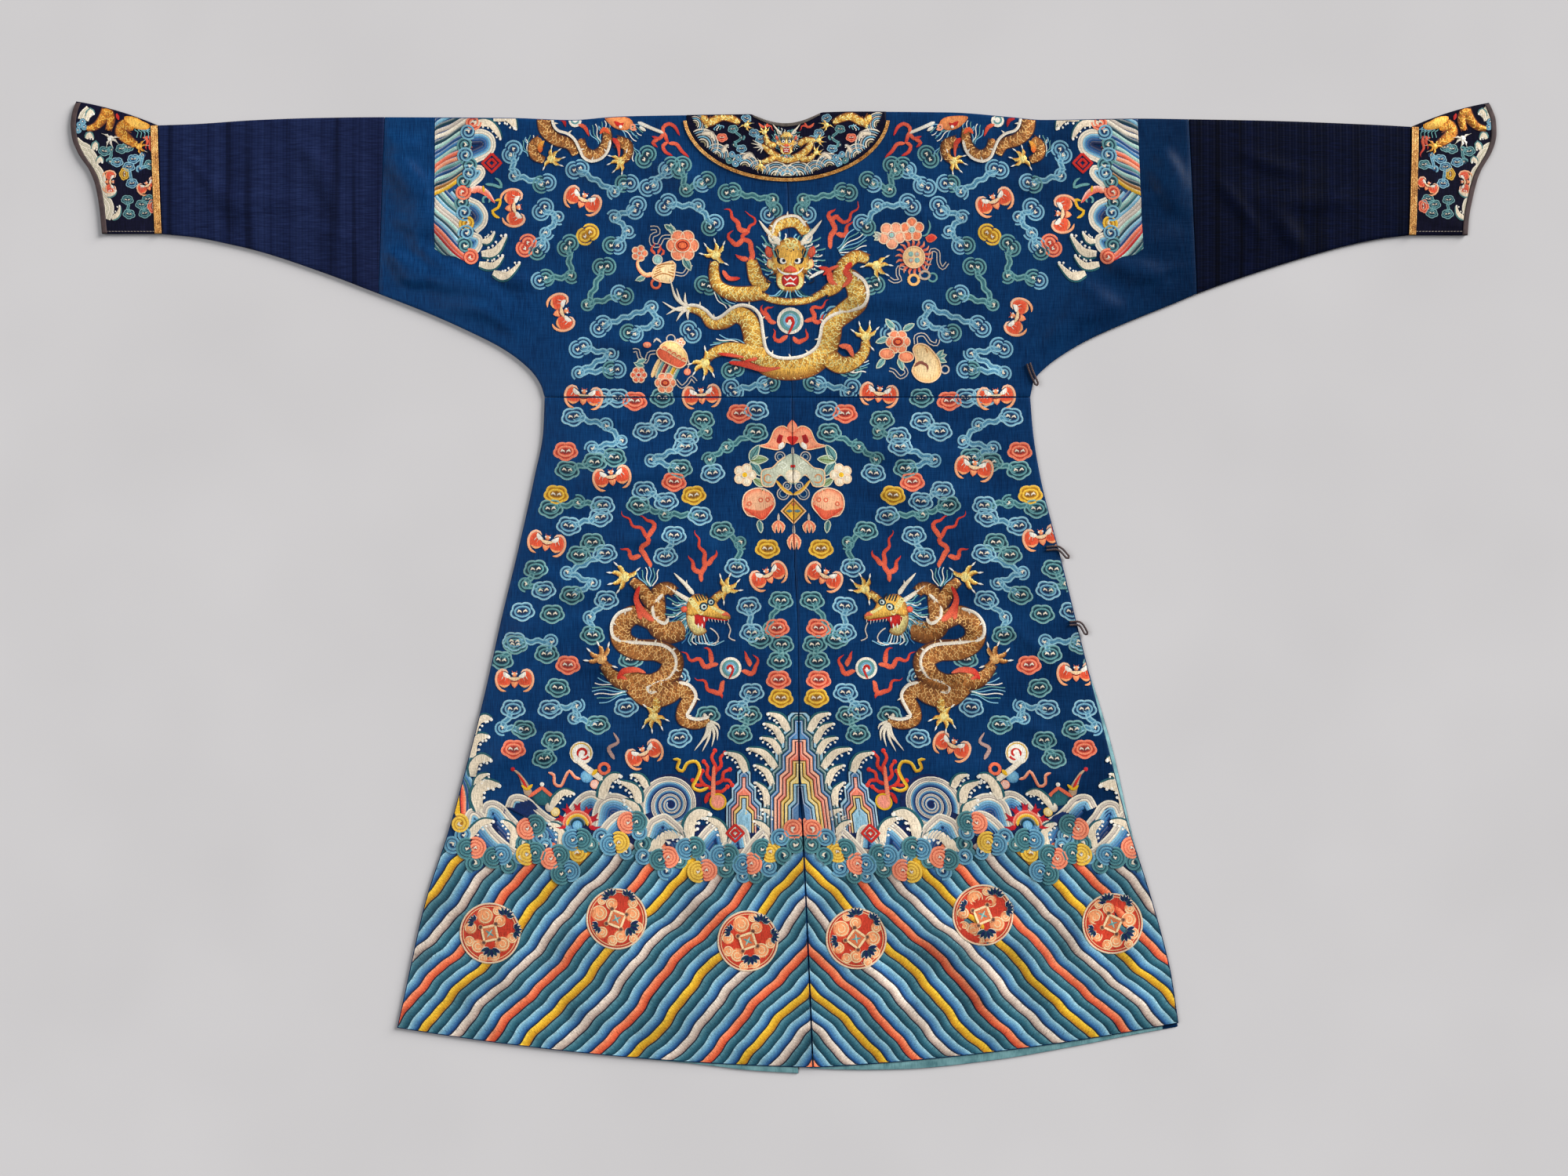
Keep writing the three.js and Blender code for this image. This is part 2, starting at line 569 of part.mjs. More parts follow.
// The height of a loop's cord: on the back until it passes the edge, then drooping.
function loopHeight({ x, y, u }, clearance) {
  const near = [[0, 0], [1, 0], [-1, 0], [0, 1], [0, -1]].map(([dx, dy]) =>
    backTop(x + dx * LOOP.cord_radius, y + dy * LOOP.cord_radius));
  const droop = LOOP.droop * smooth((u - LOOP.droops_from) / (1 - LOOP.droops_from));
  return Math.max(...near) + clearance + LOOP.cord_radius - droop;
}

function loopGeometry(loop) {
  const placed = loopRoute(loop).map((at) => new THREE.Vector3(at.x, at.y, loopHeight(at, loop.clearance)));
  const turn = (u) => 2 * Math.PI * u;
  const section = new THREE.Shape(range(6).slice(0, -1).map((u) =>
    new THREE.Vector2(Math.cos(turn(u)) * LOOP.cord_radius, Math.sin(turn(u)) * LOOP.cord_radius)));
  return new THREE.ExtrudeGeometry(section, {
    steps: 24, bevelEnabled: false, extrudePath: new THREE.CatmullRomCurve3(placed),
  });
}

// Colour and roughness of each material; none is metal
const LOOKS = {
  blue_satin: { color: "#123a66", roughness: 0.42 },
  navy_ribbed: { color: "#141c44", roughness: 0.55 },
  black_satin: { color: "#0f0d1e", roughness: 0.45 },
  gold_piping: { color: "#b8813a", roughness: 0.55 },
  brown_braid: { color: "#3a2527", roughness: 0.8 },
  grey_braid: { color: "#4b443f", roughness: 0.8 },
  pale_lining: { color: "#5f9aa5", roughness: 0.5 },
};

const robe = new THREE.Group();
function add(name, look, geometry) {
  const mesh = new THREE.Mesh(geometry, new THREE.MeshStandardMaterial({ ...LOOKS[look], metalness: 0 }));
  mesh.name = name;
  robe.add(mesh);
}

const onBack = (x, y) => backTop(x, y) + LAYER_GAP;
const onCollar = (x, y) => onBack(x, y) + BAND + LAYER_GAP;
const rib = (x, y, i, j) => CLOTH + (j % RIBS.columns_each === 1 ? RIBS.height : 0);

for (const side of ["left", "right"]) {
  // The back, as it shows
  add(`back_upper_${side}`, "blue_satin", wall(upperBackGrid(side), backBottom, CLOTH));
  add(`back_skirt_${side}`, "blue_satin", wall(skirtBackGrid(side), backBottom, CLOTH));
  const ribbed = sleeveEdges(side, RIBS.count * RIBS.columns_each, 0);
  add(`sleeve_back_${side}`, "navy_ribbed", wall(ruled(ribbed.top, ribbed.bottom, 5), backBottom, rib));
  add(`cuff_back_${side}`, "black_satin", wall(cuffGrid(side, 10, 6), backBottom, CLOTH));
  add(`cuff_binding_${side}`, "brown_braid", wall(cuffBindingGrid(side), onBack, BAND));
  add(`cuff_piping_${side}`, "gold_piping",
    wall(cuffPipingGrid(side), onBack, (x, y, i, j) => PIPING * (j === 1 ? 1 : 0.45)));

  // The front, flat on the surface
  const plain = sleeveEdges(side, 14, UNDER);
  add(`sleeve_front_${side}`, "navy_ribbed", plate([...plain.top, ...plain.bottom.reverse()], 0, CLOTH));
  const cuff = cuffGrid(side, 10, 4, UNDER);
  const cuff_outline = [
    ...cuff[0], ...cuff.slice(1, -1).map((row) => row.at(-1)),
    ...[...cuff.at(-1)].reverse(), ...cuff.slice(1, -1).map((row) => row[0]).reverse(),
  ];
  add(`cuff_front_${side}`, "black_satin", plate(cuff_outline, 0, CLOTH));
  add(`hem_lining_${side}`, "pale_lining", plate(hemLining(side), LINING_Z, LINING));
}
add("collar_back", "black_satin", wall(collarBackGrid(), onBack, BAND));
add("collar_piping", "gold_piping",
  wall(arcStripGrid(COLLAR.half_width + SEAM, COLLAR.back_depth + SEAM, PIPING_WIDTH / 2, 30), onBack, ridge(PIPING)));
add("neck_binding", "grey_braid", wall(neckBindingGrid(), onCollar, BAND));
add("front_upper_left", "blue_satin", plate(frontUpperLeft(), 0, CLOTH));
add("front_skirt_left", "blue_satin", plate(frontSkirtLeft(), 0, CLOTH));
add("front_overlap_upper", "blue_satin", plate(frontOverlapUpper(), 0, CLOTH));
add("front_overlap_skirt", "blue_satin", plate(frontOverlapSkirt(), 0, CLOTH));
add("front_shoulder_right", "blue_satin", plate(frontShoulderRight(), 0, CLOTH));
add("front_inner_flap", "blue_satin", plate(innerFlap(), FLAP_Z, CLOTH));
add("collar_front", "black_satin", plate(collarRing(), 0, CLOTH));
add("side_lining", "pale_lining", plate(sideLining(), LINING_Z, LINING));
LOOPS.forEach((loop) => add(loop.name, "brown_braid", loopGeometry(loop)));

export default robe;
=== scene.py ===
"""A dragon robe laid flat on its front: cloth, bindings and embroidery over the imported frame.

The robe's tables are in millimetres. The embroidery's layout is in pixels of the 2000 x 1500
photograph, because that is how its places were read; from_photo() turns them into millimetres.
"""
import math

import bpy
import numpy as np
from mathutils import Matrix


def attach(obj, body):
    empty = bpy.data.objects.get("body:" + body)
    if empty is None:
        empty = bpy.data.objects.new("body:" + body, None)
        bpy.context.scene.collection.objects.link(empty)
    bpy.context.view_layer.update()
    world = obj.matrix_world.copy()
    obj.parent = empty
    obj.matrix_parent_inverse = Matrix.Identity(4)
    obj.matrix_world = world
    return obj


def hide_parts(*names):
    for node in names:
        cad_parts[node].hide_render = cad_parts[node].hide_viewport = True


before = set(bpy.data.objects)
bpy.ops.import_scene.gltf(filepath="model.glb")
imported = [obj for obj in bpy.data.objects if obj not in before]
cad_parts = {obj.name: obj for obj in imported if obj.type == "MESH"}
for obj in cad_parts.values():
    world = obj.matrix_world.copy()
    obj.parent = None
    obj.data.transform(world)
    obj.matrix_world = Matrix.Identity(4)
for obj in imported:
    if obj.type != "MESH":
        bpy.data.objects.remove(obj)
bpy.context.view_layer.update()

# The robe's sizes, in millimetres
MM = 0.001
CLOTH = 1.4
LINING = 0.8
BAND = 1.0
LAYER_GAP = 0.3
SEAM = 0.4
UNDER = 0.8
WAIST_Y = 277
VENT = {"top_y": -70, "foot_y": -699, "gap": 1.6}
NECK_CENTRE = (4, 690)
NECK = {"half_width": 52, "back_depth": 14, "front_depth": 75, "roundness": 1.2}
COLLAR = {"half_width": 146, "back_depth": 94, "front_depth": 158}
SLEEVE_SEAM = {"left": (-581, -590), "right": (590, 602)}
CUFF_SEAM = {"left": (-911, -905), "right": (914, 910)}
CUFF_BOTTOM = {"left": 515, "right": 513}
CUFF_TOP_BOW = 4
HEM_BOW = {"left": 11, "right": 9.5}
PIPING_WIDTH = 5
CUFF_BINDING_WIDTH = 7.5
NECK_BINDING_WIDTH = 5
LINING_WIDTH = 22
SIDES = ("left", "right")
SIGN = {"left": -1, "right": 1}

# x, y along the shoulder line and the underarm seams
SHOULDER = [
    (-911, 673), (-857, 675), (-765, 681), (-674, 684), (-586, 685), (-400, 684),
    (-308, 681), (-240, 686), (-137, 688), (4, 690), (103, 693), (240, 692),
    (332, 685), (378, 681), (518, 683), (590, 682), (698, 680), (858, 674), (914, 671),
]
UNDERARM = {
    "left": [
        (-905, 515), (-857, 510), (-811, 501), (-765, 490), (-674, 460), (-590, 428), (-521, 401),
        (-458, 373), (-406, 346), (-370, 318), (-358, 303), (-351, 289), (-348, 277),
    ],
    "right": [
        (359, 277), (361, 290), (366, 304), (379, 318), (396, 332), (442, 360), (502, 387),
        (569, 414), (602, 428), (692, 460), (783, 488), (829, 500), (875, 509), (910, 513),
    ],
}
# y, x up the sides and the middle, from the hem
SIDE = {
    "left": [
        (-641, -563), (-596, -553), (-458, -522), (-354, -488), (-252, -460), (-149, -434),
        (-46, -411), (57, -386), (160, -363), (228, -350), (277, -348),
    ],
    "right": [
        (-634, 575), (-561, 564), (-492, 547), (-424, 527), (-354, 504), (-286, 486), (-218, 469),
        (-149, 451), (-81, 434), (57, 400), (91, 391), (160, 374), (228, 363), (277, 359),
    ],
}
BACK_MIDDLE = [(-699, 43), (-355, 28), (-268, 23), (-70, 21), (34, 16), (277, 12), (676, 4)]
FRONT_MIDDLE = [(-708, 22), (-70, 14), (277, 10), (676, 5)]
SIDE_SHOWING = [(-420, -0.8), (-340, 3), (-250, 6), (-170, 4), (-110, -0.8)]
FRONT_HEM = {
    "left": [
        (-562, -640), (-481, -654), (-326, -672), (-233, -684), (-122, -695), (-45, -704), (22, -708),
    ],
    "right": [
        (23, -699), (43, -701), (115, -703), (173, -702), (304, -689), (427, -668), (508, -652),
        (574, -640),
    ],
}
CUFF_EDGE = {
    "left": [
        (515, -992.5), (551, -996), (585, -1002), (606, -1010), (632, -1027), (655, -1036),
        (675, -1038), (690, -1036), (708, -1030),
    ],
    "right": [
        (513, 996), (538, 998), (565, 1003), (593, 1010), (606, 1015), (634, 1031),
        (648, 1036), (661, 1038), (680, 1037), (693, 1033), (706, 1027),
    ],
}
OVERLAP_EDGE = [(5, 532), (60, 520), (130, 468), (200, 395), (270, 340), (357, 300)]

# x0, y0, x1, y1, bow, width, height of the main folds, then of the lesser creases
FOLDS = [
    (172, -458, 332, -652, 12, 24, 8.5), (285, -470, 425, -628, 10, 22, 6.5),
    (-195, -424, -228, -640, -14, 36, 4), (-412, -400, -455, -618, 10, 38, 3.5),
    (-80, -420, -82, -660, 10, 34, 3), (115, -450, 150, -660, -8, 34, 3),
    (-455, -272, -320, -225, 6, 20, 5), (285, -276, 460, -288, 8, 20, 5),
    (-548, 475, -410, 438, -10, 20, 5.5), (-520, 402, -352, 392, 8, 20, 5.5),
    (-566, 652, -502, 505, -8, 22, 5), (378, 330, 482, 434, 8, 20, 5.5),
    (458, 478, 585, 515, 6, 20, 4.5), (640, 455, 790, 616, 6, 20, 4.5),
    (-800, 520, -742, 650, 6, 24, 3.5), (-662, 478, -604, 628, 8, 22, 3.5),
    (138, 430, 264, 454, -6, 20, 4), (-194, 628, -112, 560, 6, 20, 4),
    (-412, -58, -270, -46, -6, 20, 3.5), (262, 60, 372, -20, 8, 24, 3.5),
    (-330, 190, -180, 150, 8, 26, 3),
]
CREASES = [
    (-575, 630, -515, 560, 5, 9, 4.5), (-560, 600, -470, 590, -4, 8, 3.1),
    (-570, 540, -520, 500, 4, 8, 3.9), (-545, 515, -470, 455, -6, 9, 4.5),
    (-500, 470, -430, 420, 4, 8, 3.5), (-560, 450, -480, 440, 3, 8, 3.5), (-470, 420, -380, 360, 5, 8, 3.5),
    (-430, 470, -330, 440, -5, 8, 2.8), (-310, 540, -250, 470, 5, 9, 2.8), (520, 620, 575, 540, 5, 9, 3.9),
    (470, 560, 560, 575, -5, 8, 2.8), (440, 500, 520, 440, 4, 8, 3.5), (400, 400, 470, 380, 4, 8, 3.1),
    (380, 360, 430, 430, -4, 8, 3.1), (500, 440, 590, 470, 4, 8, 3.5), (620, 600, 700, 500, 6, 9, 3.5),
    (650, 640, 780, 600, -6, 9, 2.8), (760, 520, 860, 620, 5, 9, 2.6), (-880, 640, -820, 560, 4, 9, 2.1),
    (-720, 660, -640, 600, -5, 9, 2.4), (-700, 520, -610, 500, 4, 8, 2.4),
    (-320, 250, -200, 235, 5, 9, 2.4), (-250, 130, -110, 110, -5, 9, 1.9), (60, 120, 190, 95, 5, 9, 1.9),
    (-380, 30, -300, -10, 5, 9, 2.8), (180, 10, 330, -20, 6, 9, 2.3), (-150, -60, -40, -90, 4, 9, 1.8),
    (-410, -190, -300, -215, 5, 9, 2.8), (-250, -200, -130, -240, -5, 9, 2.1),
    (300, -190, 430, -230, 5, 9, 2.8), (330, -60, 400, -120, 4, 9, 2.6),
    (-440, -330, -350, -300, 5, 10, 2.8), (350, -320, 470, -330, 5, 10, 2.8),
    (-300, -420, -320, -560, 6, 11, 2.4), (-140, -480, -150, -640, 6, 11, 2.4),
    (90, -520, 190, -640, 6, 11, 3.1), (230, -440, 330, -560, 5, 10, 3.9),
    (400, -420, 450, -560, 5, 11, 2.8), (470, -440, 520, -580, 5, 11, 2.4),
    (-500, -450, -530, -600, 5, 11, 2.1), (-60, 420, 60, 400, 5, 9, 1.8), (-220, 360, -120, 330, 5, 9, 2.1),
    (150, 560, 240, 520, 5, 9, 2.1), (-330, 620, -250, 580, 5, 9, 2.8), (300, 600, 380, 570, 5, 9, 2.4),
    (90, 300, 200, 310, 4, 8, 2.1), (240, 330, 330, 300, 4, 8, 2.4), (-579, 655, -521, 638, -5, 13, 6.6),
    (-572, 622, -536, 570, 5, 12, 7.4), (-552, 545, -515, 512, 4, 12, 5.9),
    (-578, 494, -532, 462, -5, 10, 6.9), (-562, 463, -520, 446, -4, 10, 5.9),
    (-520, 446, -455, 440, 5, 10, 6.9), (-430, 452, -368, 436, 4, 10, 6.6),
    (-700, 640, -640, 520, 7, 13, 4.3), (-840, 600, -770, 540, -6, 13, 4.0),
    (545, 640, 585, 560, 5, 12, 6.3), (420, 450, 500, 400, -5, 12, 5.9), (700, 560, 760, 470, 6, 13, 4.9),
    (-300, 200, -120, 190, 4, 12, 4.3), (80, 205, 280, 195, -4, 12, 4.3), (-280, 70, -90, 60, 5, 12, 4.0),
    (60, 20, 200, 8, 5, 12, 4.0), (-330, -110, -180, -125, 4, 12, 4.3), (150, -120, 320, -140, 5, 12, 4.3),
    (-120, 330, 130, 322, 3, 12, 3.6), (-60, 500, 70, 492, 3, 12, 3.3), (-575, 646, -505, 560, -9, 15, 8.0),
    (-540, 560, -468, 470, 10, 15, 7.5), (-570, 480, -500, 452, -8, 13, 6.5),
    (-510, 440, -400, 418, 9, 13, 6.0), (548, 640, 586, 540, -8, 14, 7.0), (470, 470, 560, 440, 8, 13, 6.5),
    (410, 415, 500, 400, -8, 13, 6.0), (-260, 452, -60, 424, 8, 13, 5.0), (40, 430, 260, 418, -8, 13, 5.0),
    (-300, 352, -120, 340, 7, 13, 4.5), (120, 372, 300, 350, -7, 13, 4.5),
    (-340, 300, 340, 292, 5, 10, 3.0), (-300, 150, -100, 168, 7, 14, 4.5),
    (100, 150, 300, 130, -7, 14, 4.5), (-360, -20, -160, 8, 7, 14, 4.5), (140, -40, 360, -60, -7, 14, 4.5),
    (-400, -240, -200, -225, 7, 15, 4.0), (180, -255, 420, -262, -7, 15, 4.0),
    (-860, 560, -660, 552, 7, 14, 3.4), (640, 572, 860, 566, -7, 14, 3.4),
]

LINING_Z = CLOTH + LAYER_GAP
BACK_Z = LINING_Z + LINING + LAYER_GAP
FLAP_Z = CLOTH + LAYER_GAP
FLAP_RISE = FLAP_Z + CLOTH + LAYER_GAP - BACK_Z + 0.1
FLAP_SLOPE = 60
LOFT = {"height": 1.6, "reach": 45}
FOLD_REACH = 32
CREASE_LIMIT = 6.5
# A fold this high hides the creases on it, up to this share of them
FOLD_HIDES = {"height": 10, "most": 0.8}
GRID = 2.5
GRID_REACH = {"x": 1055, "y": 727}
OUTLINE_POINTS = {"cuff_top": 7, "top": 91, "cuff": 17, "arm": 51, "side": 37, "hem": 21}


def mix(a, b, t):
    return a + (b - a) * t


def smooth(t):
    t = np.clip(t, 0, 1)
    return t * t * (3 - 2 * t)


def curve_through(table):
    """A smooth curve through a table's rows, with no overshoot between them."""
    t, v = np.array(table, float).T
    slope = np.diff(v) / np.diff(t)
    before, after = np.r_[slope[0], slope], np.r_[slope, slope[-1]]
    product, total = before * after, before + after
    tangent = np.where(product > 0, 2 * product / np.where(total == 0, 1, total), 0)

    def at(c):
        c = np.clip(c, t[0], t[-1])
        i = np.clip(np.searchsorted(t, c, side="right") - 1, 0, len(t) - 2)
        h = t[i + 1] - t[i]
        s = (c - t[i]) / h
        rise = h * (tangent[i] * s * (1 - s) ** 2 + tangent[i + 1] * s * s * (s - 1))
        return v[i] * (1 + 2 * s) * (1 - s) ** 2 + v[i + 1] * s * s * (3 - 2 * s) + rise

    return at


shoulder_at = curve_through(SHOULDER)
back_middle_at = curve_through(BACK_MIDDLE)
front_middle_at = curve_through(FRONT_MIDDLE)
side_showing_at = curve_through(SIDE_SHOWING)
overlap_edge_at = curve_through(OVERLAP_EDGE)
underarm_at = {side: curve_through(rows) for side, rows in UNDERARM.items()}
side_at = {side: curve_through(rows) for side, rows in SIDE.items()}
front_hem_at = {side: curve_through(rows) for side, rows in FRONT_HEM.items()}
cuff_edge_at = {side: curve_through(rows) for side, rows in CUFF_EDGE.items()}


def top_at(x):
    """The back's top edge: the shoulder line with the neck's shallow dip."""
    across = (x - NECK_CENTRE[0]) / NECK["half_width"]
    return shoulder_at(x) - NECK["back_depth"] * np.maximum(0, 1 - across * across) ** NECK["roundness"]


def hem_at(side, x):
    """The back's hem on one side of the middle."""
    corner_y, corner_x = SIDE[side][0]
    middle_y, middle_x = BACK_MIDDLE[0]
    u = np.clip((x - corner_x) / (middle_x - corner_x), 0, 1)
    return mix(corner_y, middle_y, u) - HEM_BOW[side] * 4 * u * (1 - u)


def cuff_top_at(side, u):
    """A cuff's bowed upper edge, from its tip to the seam, in shares from 0 to 1."""
    tip_y, tip_x = CUFF_EDGE[side][-1]
    seam_x = CUFF_SEAM[side][0]
    y = mix(tip_y, shoulder_at(seam_x), u) + CUFF_TOP_BOW * 4 * u * (1 - u)
    return np.stack([mix(tip_x, seam_x, u), y], -1)


def back_outline():
    """The back's whole outline, clockwise from the left cuff's tip."""
    def edge(curve, low, high, part):
        at = np.linspace(low, high, OUTLINE_POINTS[part])
        return np.stack([at, curve(at)], -1)

    flip = lambda rows: rows[:, ::-1]
    u = np.linspace(0, 1, OUTLINE_POINTS["cuff_top"])
    left, right = CUFF_EDGE["left"], CUFF_EDGE["right"]
    return np.vstack([
        cuff_top_at("left", u),
        edge(top_at, CUFF_SEAM["left"][0], CUFF_SEAM["right"][0], "top"),
        cuff_top_at("right", 1 - u),
        flip(edge(cuff_edge_at["right"], right[-1][0], right[0][0], "cuff")),
        edge(underarm_at["right"], CUFF_SEAM["right"][1], UNDERARM["right"][0][0], "arm"),
        flip(edge(side_at["right"], WAIST_Y, SIDE["right"][0][0], "side")),
        edge(lambda x: hem_at("right", x), SIDE["right"][0][1], BACK_MIDDLE[0][1], "hem"),
        edge(lambda x: hem_at("left", x), BACK_MIDDLE[0][1], SIDE["left"][0][1], "hem"),
        flip(edge(side_at["left"], SIDE["left"][0][0], WAIST_Y, "side")),
        edge(underarm_at["left"], UNDERARM["left"][-1][0], CUFF_SEAM["left"][1], "arm"),
        flip(edge(cuff_edge_at["left"], left[0][0], left[-1][0], "cuff")),
    ])


def ridge(x, y, x0, y0, x1, y1, bow, width, height):
    """A soft ridge from one point to another, highest halfway."""
    length = math.hypot(x1 - x0, y1 - y0)
    ax, ay = (x1 - x0) / length, (y1 - y0) / length
    s = np.clip(((x - x0) * ax + (y - y0) * ay) / length, 0, 1)
    sideways = (y - y0) * ax - (x - x0) * ay - bow * 4 * s * (1 - s)
    return height * np.sin(np.pi * s) * np.exp(-((sideways / width) ** 2))


def near_line(x, y, x0, y0, x1, y1, reach):
    """The part of a grid within reach of a line between two points."""
    cols = (x[0] > min(x0, x1) - reach) & (x[0] < max(x0, x1) + reach)
    rows = (y[:, 0] > min(y0, y1) - reach) & (y[:, 0] < max(y0, y1) + reach)
    return np.ix_(rows, cols)


def add_ridges(total, x, y, table):
    """Adds each ridge to the part of the grid that it reaches."""
    for row in table:
        *ends, bow, width, _ = row
        part = near_line(x, y, *ends, 3 * width + abs(bow))
        total[part] += ridge(x[part], y[part], *row)
    return total


def edge_distance(x, y, outline, reach):
    """Each grid point's distance to the outline, up to a reach."""
    least = np.full(x.shape, float(reach))
    for (x0, y0), (x1, y1) in zip(outline, np.roll(outline, -1, axis=0)):
        part = near_line(x, y, x0, y0, x1, y1, reach)
        length2 = (x1 - x0) ** 2 + (y1 - y0) ** 2 or 1
        s = np.clip(((x[part] - x0) * (x1 - x0) + (y[part] - y0) * (y1 - y0)) / length2, 0, 1)
        away = np.hypot(x[part] - mix(x0, x1, s), y[part] - mix(y0, y1, s))
        least[part] = np.minimum(least[part], away)
    return least


# Waves across x, across y, their start and height
SLUB_WAVES = [
    (0.021, 0.034, 0.3, 0.22), (0.053, -0.017, 1.1, 0.16), (-0.029, 0.071, 2.0, 0.14),
    (0.094, 0.061, 4.2, 0.08),
]


def slub(x, y):
    """The cloth's slight unevenness, the same each run."""
    return sum(high * np.sin(kx * x + ky * y + phase) for kx, ky, phase, high in SLUB_WAVES)


def make_heights():
    """The upper side of the back's cloth, on a grid."""
    xs, ys = (np.arange(-reach, reach + 1, GRID) for reach in GRID_REACH.values())
    x, y = np.meshgrid(xs, ys)
    edge = edge_distance(x, y, back_outline(), LOFT["reach"])
    over_flap = smooth((x - front_middle_at(y) + FLAP_SLOPE / 2) / FLAP_SLOPE)
    over_flap = over_flap * smooth(1 - (y - overlap_edge_at(x)) / FLAP_SLOPE)
    loft = LOFT["height"] * (1 - (1 - edge / LOFT["reach"]) ** 2)
    folds = add_ridges(np.zeros(x.shape), x, y, FOLDS)
    creases = CREASE_LIMIT * np.tanh(add_ridges(np.zeros(x.shape), x, y, CREASES) / CREASE_LIMIT)
    hidden = np.clip(folds / FOLD_HIDES["height"], 0, FOLD_HIDES["most"])
    folds = folds + creases * (1 - hidden) + slub(x, y)
    return xs, ys, BACK_Z + FLAP_RISE * over_flap + loft + folds * smooth(edge / FOLD_REACH) + CLOTH


GRID_X, GRID_Y, HEIGHTS = make_heights()


def surface(x, y):
    """The height of the back's cloth at any point, in millimetres."""
    i = np.clip((x - GRID_X[0]) / GRID, 0, len(GRID_X) - 1.001)
    j = np.clip((y - GRID_Y[0]) / GRID, 0, len(GRID_Y) - 1.001)
    i0, j0 = i.astype(int), j.astype(int)
    s, t = i - i0, j - j0
    low = mix(HEIGHTS[j0, i0], HEIGHTS[j0, i0 + 1], s)
    high = mix(HEIGHTS[j0 + 1, i0], HEIGHTS[j0 + 1, i0 + 1], s)
    return mix(low, high, t)


# Colours, given as they look on screen and kept as light
def light(*rgb):
    c = np.array(rgb, float) / 255
    return np.where(c <= 0.04045, c / 12.92, ((c + 0.055) / 1.055) ** 2.4)


# Materials
class Looks:
    """A small helper for building node materials."""

    def __init__(self, name):
        self.material = bpy.data.materials.new(name)
        self.material.use_nodes = True
        self.tree = self.material.node_tree
        self.shader = self.tree.nodes["Principled BSDF"]

    def node(self, kind, **values):
        made = self.tree.nodes.new("ShaderNode" + kind)
        for key, value in values.items():
            if hasattr(made, key):
                setattr(made, key, value)
            else:
                made.inputs[key].default_value = value
        return made

    def link(self, start, end):
        self.tree.links.new(start, end)

    def set(self, **values):
        for key, value in values.items():
            self.shader.inputs[key.replace("_", " ")].default_value = value

    def noise(self, vector, scale, detail=3.0, stretch=None):
        if stretch:
            mapping = self.node("Mapping", vector_type="POINT")
            mapping.inputs["Scale"].default_value = stretch
            self.link(vector, mapping.inputs["Vector"])
            vector = mapping.outputs["Vector"]
        noise = self.node("TexNoise", Scale=scale, Detail=detail)
        self.link(vector, noise.inputs["Vector"])
        return noise.outputs["Fac"]

    def ramp(self, factor, stops):
        ramp = self.node("ValToRGB")
        elements = ramp.color_ramp.elements
        while len(elements) < len(stops):
            elements.new(0.5)
        for element, (at, colour) in zip(elements, stops):
            element.position = at
            element.color = (*colour, 1)
        self.link(factor, ramp.inputs["Fac"])
        return ramp.outputs["Color"]

    def math(self, operation, a, b):
        made = self.node("Math", operation=operation)
        for socket, value in zip(made.inputs, (a, b)):
            if isinstance(value, (int, float)):
                socket.default_value = value
            else:
                self.link(value, socket)
        return made.outputs["Value"]

    def weighed(self, first, first_share, second, second_share):
        """Two factors, each by its share, added up."""
        return self.math("ADD", self.math("MULTIPLY", first, first_share),
                         self.math("MULTIPLY", second, second_share))

    def darkened(self, colour, shade, strength=1.0):
        """A colour multiplied by a shade."""
        made = self.node("MixRGB", blend_type="MULTIPLY")
        share, *ends = made.inputs
        share.default_value = strength
        for socket, value in zip(ends, (colour, shade)):
            self.link(value, socket)
        return made.outputs["Color"]

    def bump(self, height, distance, strength=1.0, under=None):
        bump = self.node("Bump", Strength=strength, Distance=distance)
        self.link(height, bump.inputs["Height"])
        if under is not None:
            self.link(under, bump.inputs["Normal"])
        return bump.outputs["Normal"]

    def place(self):
        return self.node("TexCoord").outputs["Object"]

    def finish(self, colour=None, rough=None, normal=None):
        if colour is not None:
            self.link(colour, self.shader.inputs["Base Color"])
        if rough is not None:
            self.link(rough, self.shader.inputs["Roughness"])
        if normal is not None:
            self.link(normal, self.shader.inputs["Normal"])
        return self.material


def grey_ramp(look, factor, low, high):
    return look.ramp(factor, [(0.3, (low,) * 3), (0.7, (high,) * 3)])


def satin(name, deep, body, bright, rough=0.38, right_side_shade=0.4):
    """Silk satin: floats that run up and down, slubs across, and painted shade that darkens it towards the
    robe's right, where it catches less light.
    """
    look = Looks(name)
    at = look.place()
    threads = look.noise(at, 1.0, 2.0, (2600, 60, 60))
    slubs = look.noise(at, 1.0, 3.0, (45, 900, 60))
    clouds = look.noise(at, 9.0, 4.0)
    mixed = look.weighed(threads, 0.6, slubs, 0.15)
    mixed = look.math("ADD", mixed, look.math("MULTIPLY", clouds, 0.25))
    colour = look.ramp(mixed, [(0.38, deep), (0.5, body), (0.66, bright)])
    across = look.node("SeparateXYZ")
    look.link(at, across.inputs["Vector"])
    # Painted shade: the satin's colour is darkened from the middle towards the robe's right, where it
    # catches less light.
    shift = look.math("ADD", look.math("MULTIPLY", across.outputs["X"], 0.8), 0.5)
    painted_side_shade = look.ramp(shift, [(0.1, (1.0,) * 3), (0.75, (0.86,) * 3), (0.98, (right_side_shade,) * 3)])
    colour = look.darkened(colour, painted_side_shade)
    roughness = grey_ramp(look, slubs, rough - 0.06, rough + 0.1)
    weave = look.bump(threads, 0.00012, 0.5)
    weave = look.bump(slubs, 0.00018, 0.5, weave)
    look.set(Specular_IOR_Level=0.07)
    return look.finish(colour, roughness, weave)


